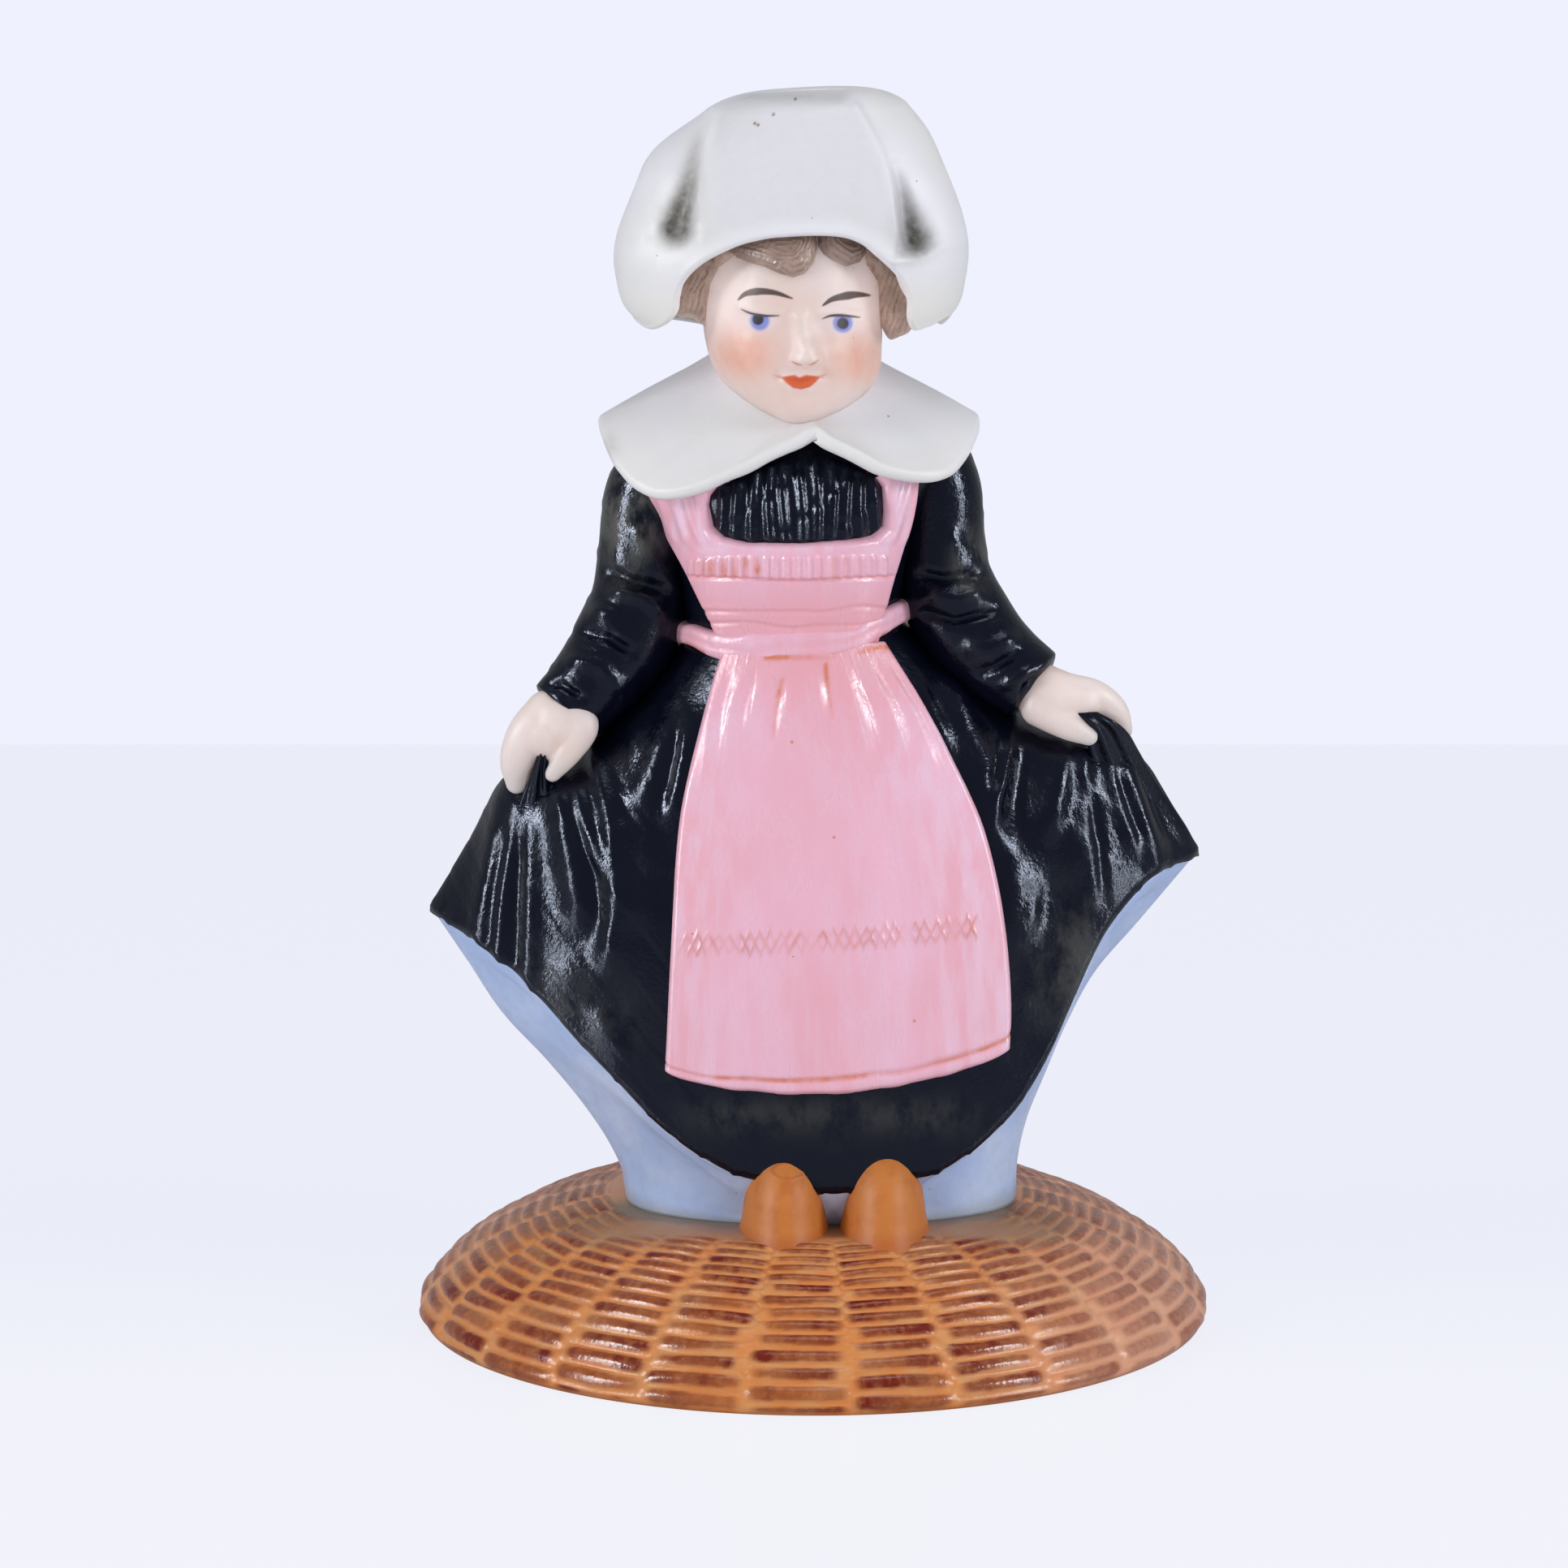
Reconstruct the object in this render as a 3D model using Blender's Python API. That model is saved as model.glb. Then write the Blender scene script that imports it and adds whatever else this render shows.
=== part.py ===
"""Bisque figurine of a girl in regional dress on a basket-moulded base.

Metres, +Z up, the girl faces -Y. Left and right are her own, so her left is +X.
Every piece is a closed solid, and neighbours are parted by a thin slip joint.
Where two pieces meet, one is cut with a slightly grown copy of the other.
"""
import math

import bmesh
import bpy
import numpy as np

MM = 0.001

# Casting
JOINT_GAP = 0.35 * MM
CAST_WALL = 3.0 * MM
SIDE_WALL_FACTOR = 1.4

# Base
BASE_DIAMETER = 97.0 * MM
SEAT_HEIGHT = 15.0 * MM
DOME_CROWN = 2.0 * MM
DOME_FULLNESS = 2.5
DOME_ROUNDING = 1.6
BASE_WALL = 4.0 * MM
FOOT_WIDTH = 4.0 * MM
FOOT_ROUND = 0.7 * MM
VENT_DIAMETER = 8.0 * MM
KEY_HEIGHT = 2.0 * MM

# Overskirt, from the waist to the hem and its two tips
BODY_OFFSET = -2.5 * MM
SKIRT_HEIGHT = 70.0 * MM
WAIST_TILT = 1.0 * MM
WAIST_HALF = 13.0 * MM
WAIST_FRONT = 11.5 * MM
WAIST_BACK = 9.5 * MM
HEM_RISE = 5.0 * MM
SKIRT_FRONT = 22.5 * MM
SKIRT_BACK = 17.5 * MM
RIGHT_TIP_REACH = 47.0 * MM
RIGHT_TIP_RISE = 35.0 * MM
LEFT_TIP_REACH = 47.1 * MM
LEFT_TIP_RISE = 42.0 * MM
PLEAT_COUNT = 8
PLEAT_HEIGHT = 0.6 * MM

# Petticoat, from under the hem to the seat
HEM_STEP = 0.7 * MM
STEM_RIGHT = 23.0 * MM
STEM_LEFT = 24.8 * MM
STEM_FRONT = 17.5 * MM
STEM_BACK = 14.5 * MM

# Bodice
BODICE_HEIGHT = 26.0 * MM
CHEST_HALF = 15.2 * MM
SHOULDER_HALF = 17.2 * MM
CHEST_FRONT = 13.6 * MM
CHEST_BACK = 11.5 * MM
TENON_DEPTH = 4.0 * MM

# Apron
BAND_HEIGHT = 2.8 * MM
APRON_THICK = 1.3 * MM
APRON_LENGTH = 50.0 * MM
APRON_WIDTH = 41.0 * MM
BIB_TOP = 12.5 * MM

# Arms
SLEEVE_RADIUS = 5.6 * MM
CUFF_RADIUS = 4.9 * MM
HAND_WIDTH = 3.9 * MM
HAND_DEPTH = 2.9 * MM
WRIST_RADIUS = 3.0 * MM
GRIP_FACTOR = 0.62

# Clogs
CLOG_WIDTH = 10.4 * MM
CLOG_HEIGHT = 9.6 * MM
CLOG_REACH = 6.5 * MM
CLOG_SPACING = 12.0 * MM
CLOG_OFFSET = 2.4 * MM

# Collar
COLLAR_REACH = 22.4 * MM
COLLAR_FRONT = 15.8 * MM
COLLAR_BACK = 15.0 * MM
COLLAR_THICK = 1.9 * MM
COLLAR_HOLE = 8.6 * MM
COLLAR_FALL = 8.8 * MM

# Head
HEAD_RISE = 12.0 * MM
HEAD_WIDTH = 21.8 * MM
HEAD_FRONT = 13.6 * MM
HEAD_BACK = 11.5 * MM
HEAD_TOP = 15.5 * MM
JAW_DROP = 11.0 * MM
NECK_RADIUS = 5.6 * MM
NECK_PLUG = 6.0 * MM

# Hair and bonnet
HAIR_RELIEF = 2.1 * MM
CROWN_HEIGHT = 28.0 * MM
CROWN_HALF = 14.6 * MM
CROWN_FRONT = 15.2 * MM
CROWN_BACK = 16.0 * MM
WING_REACH = 21.0 * MM
WING_DEPTH = 12.0 * MM

WAIST_Z = SEAT_HEIGHT + SKIRT_HEIGHT
HEM_Z = SEAT_HEIGHT + HEM_RISE
NECK_Z = WAIST_Z + BODICE_HEIGHT
EYE_Z = NECK_Z + HEAD_RISE

WELD = 0.001 * MM
RING_POINTS = 48
ANGLES = np.linspace(0.0, 2.0 * math.pi, RING_POINTS, endpoint=False)
SIDE = np.sin(ANGLES)
AHEAD = np.cos(ANGLES)
PLEAT_ANGLES = np.linspace(0.0, 2.0 * math.pi, 2 * RING_POINTS, endpoint=False)

# How far down the ridge of the spread skirt has come, from the waist to the tip
RIDGE_STATIONS = (0.0, 0.15, 0.3, 0.45, 0.6, 0.72, 0.82, 0.91, 1.0)
RIDGE_DROP = (0.0, 0.16, 0.29, 0.42, 0.48, 0.52, 0.66, 0.83, 1.0)

CLAY = {
    "basket_ochre": (0.56, 0.23, 0.05, 0.45),
    "petticoat_blue": (0.38, 0.50, 0.76, 0.5),
    "dress_black": (0.012, 0.014, 0.02, 0.3),
    "apron_pink": (0.83, 0.36, 0.42, 0.45),
    "bisque_white": (0.78, 0.78, 0.76, 0.6),
    "bisque_skin": (0.85, 0.60, 0.50, 0.6),
    "hair_brown": (0.25, 0.16, 0.12, 0.5),
    "clog_ochre": (0.62, 0.27, 0.06, 0.4),
}


def clear_scene():
    """Remove whatever the scene starts with."""
    for item in list(bpy.data.objects):
        bpy.data.objects.remove(item, do_unlink=True)


def clay(name):
    """Material of one fired and painted finish."""
    found = bpy.data.materials.get(name)
    if found:
        return found
    red, green, blue, rough = CLAY[name]
    made = bpy.data.materials.new(name)
    made.use_nodes = True
    shader = made.node_tree.nodes["Principled BSDF"]
    shader.inputs["Base Color"].default_value = (red, green, blue, 1.0)
    shader.inputs["Roughness"].default_value = rough
    return made


def mesh_object(name, points, faces, finish=None):
    """Object from points and faces, its faces turned outwards."""
    mesh = bpy.data.meshes.new(name)
    mesh.from_pydata([tuple(p) for p in points], [], faces)
    work = bmesh.new()
    work.from_mesh(mesh)
    bmesh.ops.recalc_face_normals(work, faces=work.faces)
    bmesh.ops.triangulate(work, faces=work.faces)
    work.to_mesh(mesh)
    work.free()
    made = bpy.data.objects.new(name, mesh)
    bpy.context.collection.objects.link(made)
    if finish:
        mesh.materials.append(clay(finish))
    else:
        made.hide_render = True
        made.display_type = 'WIRE'
    return made


def loft(name, rings, finish=None, closed=False):
    """Skin over rings of equal count; closed joins the last ring to the first, else both ends are capped."""
    rings = [np.asarray(ring) for ring in rings]
    count = len(rings[0])
    points = np.concatenate(rings)
    faces = []
    last = len(rings) if closed else len(rings) - 1
    for i in range(last):
        near = i * count
        far = ((i + 1) % len(rings)) * count
        for j in range(count):
            k = (j + 1) % count
            faces.append((near + j, near + k, far + k, far + j))
    if not closed:
        faces += cap_faces(0, count)
        faces += cap_faces((len(rings) - 1) * count, count)
    return mesh_object(name, points, faces, finish)


def cap_faces(start, count):
    """Faces that span a ring from front to back, in strips of equal x; count is a multiple of four."""
    quarter = count // 4
    faces = []
    for k in range(2 * quarter):
        strip = [quarter - k, quarter + k, quarter + k + 1, quarter - k - 1]
        corners = []
        for index in strip:
            corner = start + index % count
            if corner not in corners:
                corners.append(corner)
        faces.append(tuple(corners))
    return faces


def slab(name, inner, outer, finish=None):
    """Closed panel between two grids of the same shape."""
    rows, columns = inner.shape[:2]
    points = np.concatenate([inner.reshape(-1, 3), outer.reshape(-1, 3)])
    shift = rows * columns
    faces = []
    for i in range(rows - 1):
        for j in range(columns - 1):
            a = i * columns + j
            quad = (a, a + 1, a + columns + 1, a + columns)
            faces.append(quad)
            faces.append(tuple(shift + p for p in reversed(quad)))
    border = [(0, j) for j in range(columns - 1)]
    border += [(i, columns - 1) for i in range(rows - 1)]
    border += [(rows - 1, j) for j in range(columns - 1, 0, -1)]
    border += [(i, 0) for i in range(rows - 1, 0, -1)]
    flat = [i * columns + j for i, j in border]
    for here, there in zip(flat, flat[1:] + flat[:1]):
        faces.append((there, here, shift + here, shift + there))
    return mesh_object(name, points, faces, finish)


def carve(target, *cutters, operation='DIFFERENCE'):
    """Boolean the cutters into the target one after another and keep the result as its mesh."""
    for cutter in cutters:
        step = target.modifiers.new("carve", 'BOOLEAN')
        step.operation = operation
        step.solver = 'MANIFOLD'
        step.object = cutter
        view = bpy.context.evaluated_depsgraph_get()
        result = bpy.data.meshes.new_from_object(target.evaluated_get(view))
        target.modifiers.clear()
        target.data = result
        work = bmesh.new()
        work.from_mesh(result)
        bmesh.ops.remove_doubles(work, verts=work.verts, dist=WELD)
        bmesh.ops.dissolve_degenerate(work, edges=work.edges, dist=WELD)
        bmesh.ops.triangulate(work, faces=work.faces)
        keep_largest(work)
        work.to_mesh(result)
        work.free()
    return target


def keep_largest(work):
    """Drop the crumbs a cut leaves beside the main body."""
    seen = set()
    bodies = []
    for start in work.verts:
        if start in seen:
            continue
        body = []
        queue = [start]
        seen.add(start)
        while queue:
            vert = queue.pop()
            body.append(vert)
            for edge in vert.link_edges:
                other = edge.other_vert(vert)
                if other not in seen:
                    seen.add(other)
                    queue.append(other)
        bodies.append(body)
    bodies.sort(key=len)
    for body in bodies[:-1]:
        bmesh.ops.delete(work, geom=body, context='VERTS')


def blend(start, end, part):
    """Value part of the way from start to end."""
    return start + (end - start) * part


def outline(right, left, front, back, point, turn=ANGLES):
    """Plan outline about the axis: an ellipse at point 1, a pointed lens at 2."""
    side = np.sin(turn)
    ahead = np.cos(turn)
    x = np.where(side < 0.0, right, left) * side
    y = -np.where(ahead > 0.0, front, back) * np.sign(ahead) * np.abs(ahead) ** point
    return x, y


def ease(value, start, end):
    """Smooth step from 0 at start to 1 at end."""
    part = np.clip((value - start) / (end - start), 0.0, 1.0)
    return part * part * (3.0 - 2.0 * part)


def pleat(t, turn):
    """Height of the pleats behind: waves that fan out from the waist and die away at tips and hem."""
    wave = np.cos(2.0 * PLEAT_COUNT * (turn - math.pi) + 0.8 * np.sin(3.0 * turn))
    fall = ease(t, 0.05, 0.35) * (1.0 - ease(t, 0.84, 1.0))
    return PLEAT_HEIGHT * wave * fall * ease(-np.cos(turn), 0.08, 0.4)


def ring(x, y, z):
    """Ring of points from its coordinates."""
    return np.stack([x, y, np.broadcast_to(z, x.shape)], axis=-1)


def side_lift(x, right, left):
    """How much of the way a point has risen from the front height to the side height, by its x."""
    reach = np.where(x < 0.0, right, left)
    start = np.where(x < 0.0, 0.15, 0.3)
    finish = np.where(x < 0.0, 0.98, 0.96)
    part = np.clip((np.abs(x) / reach - start) / (finish - start), 0.0, 1.0)
    return part * part * (3.0 - 2.0 * part)


def skirt_station(t):
    """Half widths, depths, tip heights and front height of the overskirt at t."""
    t = np.asarray(t, dtype=float)
    swell = np.sin(1.85 * t)
    drop = np.interp(t, RIDGE_STATIONS, RIDGE_DROP)
    return {
        "centre": BODY_OFFSET * (1.0 - t),
        "right": blend(WAIST_HALF, RIGHT_TIP_REACH, t),
        "left": blend(WAIST_HALF, LEFT_TIP_REACH, t),
        "front": blend(WAIST_FRONT, SKIRT_FRONT, swell),
        "back": blend(WAIST_BACK, SKIRT_BACK, swell),
        "point": 1.0 + 0.5 * t,
        "right_z": blend(WAIST_Z - WAIST_TILT, SEAT_HEIGHT + RIGHT_TIP_RISE, drop),
        "left_z": blend(WAIST_Z + WAIST_TILT, SEAT_HEIGHT + LEFT_TIP_RISE, drop),
        "front_z": blend(WAIST_Z, HEM_Z, t),
    }


def skirt_ring(t, grow=0.0, lift=0.0, turn=ANGLES):
    """Overskirt ring, 0 at the waist and 1 at the hem, tipped up towards its sides."""
    at = skirt_station(t)
    side = grow * (SIDE_WALL_FACTOR if grow < 0.0 else 1.0)
    front = at["front"] + grow
    back = at["back"] + grow
    x, y = outline(at["right"] + side, at["left"] + side, front, back, at["point"], turn)
    rise = side_lift(x, at["right"], at["left"])
    z = at["front_z"] + (np.where(x < 0.0, at["right_z"], at["left_z"]) - at["front_z"]) * rise
    return ring(x + at["centre"], y, z + lift)


def skirt_front(x, z, grow=0.0):
    """Points on the front of the overskirt, pushed out by grow, at given x and z."""
    low = np.zeros_like(x)
    high = np.ones_like(x)
    for _ in range(40):
        middle = 0.5 * (low + high)
        at = skirt_station(middle)
        across = x - at["centre"]
        rise = side_lift(across, at["right"], at["left"])
        side_z = np.where(across < 0.0, at["right_z"], at["left_z"])
        here = at["front_z"] + (side_z - at["front_z"]) * rise
        low = np.where(here > z, middle, low)
        high = np.where(here > z, high, middle)
    at = skirt_station(0.5 * (low + high))
    across = x - at["centre"]
    reach = np.where(across < 0.0, at["right"], at["left"]) + grow
    ahead = np.sqrt(np.clip(1.0 - (across / reach) ** 2, 0.0, 1.0))
    y = -(at["front"] + grow) * ahead ** at["point"]
    return np.stack([x, y, z], axis=-1)


def petticoat_ring(q, grow=0.0, lift=0.0):
    """Petticoat ring, 0 just under the hem and 1 on the seat of the base."""
    hem = skirt_station(1.0)
    side = grow * (SIDE_WALL_FACTOR if grow < 0.0 else 1.0)
    right = blend(RIGHT_TIP_REACH - HEM_STEP, STEM_RIGHT, 1.0 - (1.0 - q) ** 1.45)
    left = blend(LEFT_TIP_REACH - HEM_STEP, STEM_LEFT, 1.0 - (1.0 - q) ** 2.5)
    front = blend(hem["front"] - HEM_STEP, STEM_FRONT, q)
    back = blend(hem["back"] - HEM_STEP, STEM_BACK, q)
    x, y = outline(right + side, left + side, front + grow, back + grow, blend(1.5, 1.0, q))
    rise = side_lift(x, blend(RIGHT_TIP_REACH, right, q), blend(LEFT_TIP_REACH, left, q))
    foot = SEAT_HEIGHT + JOINT_GAP
    front_z = blend(HEM_Z, foot, q)
    right_z = blend(SEAT_HEIGHT + RIGHT_TIP_RISE, foot, q)
    left_z = blend(SEAT_HEIGHT + LEFT_TIP_RISE, foot, q)
    z = front_z + (np.where(x < 0.0, right_z, left_z) - front_z) * rise
    return ring(x, y, z + lift)


def bodice_ring(v, grow=0.0, lift=0.0):
    """Bodice ring, 0 at the waist and 1 at the neck."""
    halves = (WAIST_HALF, CHEST_HALF, SHOULDER_HALF, 0.756 * SHOULDER_HALF, 0.494 * SHOULDER_HALF)
    fronts = (WAIST_FRONT, CHEST_FRONT, CHEST_FRONT, 0.772 * CHEST_FRONT, 0.515 * CHEST_FRONT)
    backs = (WAIST_BACK, CHEST_BACK, 0.87 * CHEST_BACK, 0.609 * CHEST_BACK)
    half = np.interp(v, (0.0, 0.5, 0.74, 0.9, 1.0), halves)
    front = np.interp(v, (0.0, 0.35, 0.6, 0.85, 1.0), fronts)
    back = np.interp(v, (0.0, 0.5, 0.85, 1.0), backs)
    x, y = outline(half + grow, half + grow, front + grow, back + grow, 0.9)
    z = WAIST_Z + JOINT_GAP + v * BODICE_HEIGHT + WAIST_TILT * (1.0 - v) * SIDE
    return ring(x + BODY_OFFSET, y, z + lift)


def bodice_patch(rows, first, last, columns, grow):
    """Grid on the bodice between two angles that change from row to row, in degrees from the front."""
    grid = []
    for v, start, end in zip(rows, first, last):
        angles = np.radians(np.linspace(start, end, columns))
        full = bodice_ring(v, grow)
        closed = np.concatenate([full, full[:1]])
        turns = np.append(ANGLES, 2.0 * math.pi)
        wrapped = np.mod(angles, 2.0 * math.pi)
        grid.append(np.stack([np.interp(wrapped, turns, closed[:, k]) for k in range(3)], axis=-1))
    return np.array(grid)


def tube_rings(path, side, depth, grow=0.0, count=16):
    """Rings along a path, flattened by side and depth radii, the ends pushed out by grow."""
    path = np.array(path, dtype=float)
    tangents = np.gradient(path, axis=0)
    tangents /= np.linalg.norm(tangents, axis=1, keepdims=True)
    path[0] -= tangents[0] * grow
    path[-1] += tangents[-1] * grow
    turn = np.linspace(0.0, 2.0 * math.pi, count, endpoint=False)
    rings = []
    for place, along, wide, deep in zip(path, tangents, side, depth):
        back = np.array([0.0, 1.0, 0.0])
        back = back - along * back.dot(along)
        back /= np.linalg.norm(back)
        across = np.cross(along, back)
        offset = np.outer(np.cos(turn) * (wide + grow), across) + np.outer(np.sin(turn) * (deep + grow), back)
        rings.append(place + offset)
    return rings


def ball_rings(centre, radii, rows=10, count=24):
    """Rings of an ellipsoid; radii are x, front, back, up and down."""
    half, front, back, up, down = radii
    turn = np.linspace(0.0, 2.0 * math.pi, count, endpoint=False)
    rings = []
    for lift in np.linspace(-0.5 * math.pi, 0.5 * math.pi, rows + 2)[1:-1]:
        wide = math.cos(lift)
        rise = math.sin(lift)
        x = half * wide * np.sin(turn)
        y = -np.where(np.cos(turn) > 0.0, front, back) * np.cos(turn) * wide
        z = np.full(count, rise * (up if rise > 0.0 else down))
        rings.append(np.asarray(centre) + np.stack([x, y, z], axis=-1))
    return rings


def dome_profile(radius, top, levels):
    """Dome points from the seat edge out to the rim, as radius and height."""
    crown = top + DOME_CROWN
    seat = radius * (1.0 - (top / crown) ** DOME_ROUNDING) ** (1.0 / DOME_FULLNESS)
    lowest = FOOT_ROUND / crown
    rim = radius * (1.0 - lowest ** DOME_ROUNDING) ** (1.0 / DOME_FULLNESS)
    reach = blend(seat, rim, np.sin(np.linspace(0.0, 0.5 * math.pi, levels)))
    height = crown * (1.0 - (reach / radius) ** DOME_FULLNESS) ** (1.0 / DOME_ROUNDING)
    return reach, height


def circle(radius, z, count=48):
    """Level ring around the base axis."""
    turn = np.linspace(0.0, 2.0 * math.pi, count, endpoint=False)
    return np.stack([radius * np.cos(turn), radius * np.sin(turn), np.full(count, z)], axis=-1)


def build_base():
    """Hollow dome on a flat foot ring, with a vent and a raised key that locates the petticoat."""
    radius = 0.5 * BASE_DIAMETER
    vent = 0.5 * VENT_DIAMETER
    reach, height = dome_profile(radius, SEAT_HEIGHT, 12)
    rings = [circle(vent, SEAT_HEIGHT)]
    rings += [circle(r, z) for r, z in zip(reach, height)]
    rings += [circle(radius - FOOT_ROUND, 0.0), circle(radius - FOOT_WIDTH, 0.0)]
    reach, height = dome_profile(radius - FOOT_WIDTH, SEAT_HEIGHT - BASE_WALL, 8)
    rings += [circle(r - FOOT_ROUND, z) for r, z in zip(reach[::-1], height[::-1])]
    rings.append(circle(vent, SEAT_HEIGHT - BASE_WALL))
    base = loft("wicker_base", rings, "basket_ochre", closed=True)
    inset = -(CAST_WALL + JOINT_GAP)
    foot = petticoat_ring(1.0, inset)
    under = foot.copy()
    under[:, 2] = SEAT_HEIGHT - 0.5 * BASE_WALL
    top = foot.copy()
    top[:, 2] = SEAT_HEIGHT + KEY_HEIGHT
    hole = np.stack([vent * SIDE, -vent * AHEAD, np.zeros(RING_POINTS)], axis=-1)
    hole_top = hole + np.array([0.0, 0.0, SEAT_HEIGHT + KEY_HEIGHT])
    hole_low = hole + np.array([0.0, 0.0, SEAT_HEIGHT - 0.5 * BASE_WALL])
    wider = (1.12, 1.12, 1.0)
    key = loft("key_tool", [under, top, hole_top * wider, hole_low * wider], closed=True)
    return carve(base, key, operation='UNION')


def dome_tool(grow):
    """Solid dome used to cut what stands on it."""
    reach, height = dome_profile(0.5 * BASE_DIAMETER, SEAT_HEIGHT, 12)
    rings = [circle(r + grow, z + grow) for r, z in zip(reach[::-1], height[::-1])]
    rings.insert(0, circle(reach[-1] + grow, -DOME_CROWN))
    return loft("dome_tool", rings)


def build_petticoat():
    """Hollow flared stem around the key of the base, trimmed to lie just under the hem."""
    steps = np.linspace(0.0, 1.0, 8)
    below = 1.6 * JOINT_GAP
    rings = [petticoat_ring(0.0, 0.0, below)]
    rings += [petticoat_ring(q) for q in steps]
    rings += [petticoat_ring(q, -CAST_WALL) for q in steps[::-1]]
    rings.append(petticoat_ring(0.0, -CAST_WALL, below))
    petticoat = loft("petticoat", rings, "petticoat_blue", closed=True)
    rings = []
    for lift in (-below, 2.0 * HEM_RISE):
        insets = (JOINT_GAP, 0.0, -CAST_WALL, -2.0 * CAST_WALL)
        edge = [skirt_ring(1.0, inset, lift, PLEAT_ANGLES) for inset in insets]
        rings += edge if lift < 0.0 else edge[::-1]
    return carve(petticoat, loft("hem_tool", rings, closed=True))


def build_overskirt():
    """Hollow spread skirt, pleated behind; its waist opening takes the tenon of the bodice."""
    steps = np.array([0.0, 0.08, 0.18, 0.3, 0.42, 0.54, 0.66, 0.76, 0.86, 0.94, 1.0])
    rings = []
    for t in steps:
        wall = skirt_ring(t, turn=PLEAT_ANGLES)
        wall[:, 1] += pleat(t, PLEAT_ANGLES)
        rings.append(wall)
    rings += [skirt_ring(t, -CAST_WALL, turn=PLEAT_ANGLES) for t in steps[::-1]]
    return loft("overskirt", rings, "dress_black", closed=True)


def skirt_tool(grow):
    """Solid overskirt used to cut hands, sleeves and clogs."""
    steps = np.linspace(0.0, 1.0, 14)
    rings = [skirt_ring(t, grow, grow) for t in steps]
    rings.append(skirt_ring(1.0, grow, -grow))
    return loft("skirt_tool", rings)


def petticoat_tool(grow):
    """Solid petticoat used to cut the clogs."""
    rings = [petticoat_ring(0.0, grow, 2.0 * grow)]
    rings += [petticoat_ring(q, grow) for q in np.linspace(0.0, 1.0, 8)]
    return loft("petticoat_tool", rings)


def band_ring(height, grow):
    """Ring close around the waist, at a height above or below it."""
    if height < 0.0:
        return skirt_ring(-height / SKIRT_HEIGHT * 1.6, grow)
    return bodice_ring(height / BODICE_HEIGHT, grow)


def build_waistband():
    """Band that covers the joint of bodice and overskirt."""
    levels = (-0.25 * BAND_HEIGHT, 0.0, 0.45 * BAND_HEIGHT, 0.8 * BAND_HEIGHT)
    rings = [band_ring(h, JOINT_GAP) for h in levels]
    rings += [band_ring(h, JOINT_GAP + APRON_THICK) for h in reversed(levels)]
    return loft("apron_waistband", rings, "apron_pink", closed=True)


def waistband_tool(grow):
    """Solid waistband used to cut sleeves and apron."""
    levels = (-0.25 * BAND_HEIGHT, 0.0, 0.45 * BAND_HEIGHT, 0.8 * BAND_HEIGHT)
    rings = [band_ring(h, JOINT_GAP + APRON_THICK + grow) for h in reversed(levels)]
    rings[0] = rings[0] + np.array([0.0, 0.0, grow])
    rings[-1] = rings[-1] - np.array([0.0, 0.0, grow])
    return loft("waistband_tool", rings)


def apron_edges(part):
    """Right and left edge of the apron skirt from its top to its bottom, as x and z."""
    top = WAIST_Z - JOINT_GAP
    fall = (0.0, 0.18, 0.37, 0.56, 0.76, 1.0)
    right_x = np.interp(part, fall, (-0.263, -0.332, -0.383, -0.402, -0.412, -0.427)) * APRON_WIDTH
    left_x = np.interp(part, fall, (0.18, 0.32, 0.429, 0.498, 0.541, 0.571)) * APRON_WIDTH
    right_z = top - part * APRON_LENGTH
    left_z = top - part * 0.94 * APRON_LENGTH
    return right_x, right_z, left_x, left_z


def build_apron_skirt():
    """Gathered panel laid on the front of the overskirt."""
    rows = []
    for part in np.linspace(0.0, 1.0, 12):
        right_x, right_z, left_x, left_z = apron_edges(part)
        across = np.linspace(0.0, 1.0, 17)
        sag = 0.07 * APRON_LENGTH * np.sin(math.pi * across) * part
        rows.append((blend(right_x, left_x, across), blend(right_z, left_z, across) - sag))
    grids = []
    for grow in (JOINT_GAP, JOINT_GAP + APRON_THICK):
        grids.append(np.array([skirt_front(x, z, grow) for x, z in rows]))
    apron = slab("apron_skirt", grids[0], grids[1], "apron_pink")
    return carve(apron, waistband_tool(JOINT_GAP))


def bib_patch(grow):
    """Grid of the bib on the bodice."""
    rows = np.linspace(BAND_HEIGHT / BODICE_HEIGHT, BIB_TOP / BODICE_HEIGHT, 6)
    first = np.linspace(-50.0, -60.0, 6)
    return bodice_patch(rows, first, -first, 15, grow)


def strap_patch(side, grow):
    """Grid of one strap, from just above the bib to under the collar."""
    rows = np.linspace((BIB_TOP + 1.2 * JOINT_GAP) / BODICE_HEIGHT, 0.86, 5)
    outer = np.linspace(60.0, 62.0, 5)
    inner = np.linspace(36.0, 38.0, 5)
    return bodice_patch(rows, side * inner, side * outer, 6, grow)


def build_bodice():
    """Hollow torso with a tenon in the skirt below and a socket for the neck above."""
    waist = skirt_ring(0.0, -(CAST_WALL + JOINT_GAP))
    low = waist - np.array([0.0, 0.0, TENON_DEPTH])
    high = waist + np.array([0.0, 0.0, JOINT_GAP])
    rings = [low, high]
    rings += [bodice_ring(v) for v in np.linspace(0.0, 1.0, 12)]
    bodice = loft("bodice", rings, "dress_black")
    middle = low.mean(axis=0)
    plan = np.array([0.7, 0.7, 1.0])
    bore = [(low - middle) * plan + middle - np.array([0.0, 0.0, 0.25 * TENON_DEPTH])]
    bore.append((high - middle) * plan + middle)
    bore += [bodice_ring(v, -1.3 * CAST_WALL) for v in (0.2, 0.4, 0.6, 0.72)]
    bore.append(bodice_ring(0.8, -2.0 * CAST_WALL))
    return carve(bodice, loft("bodice_bore", bore))


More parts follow.
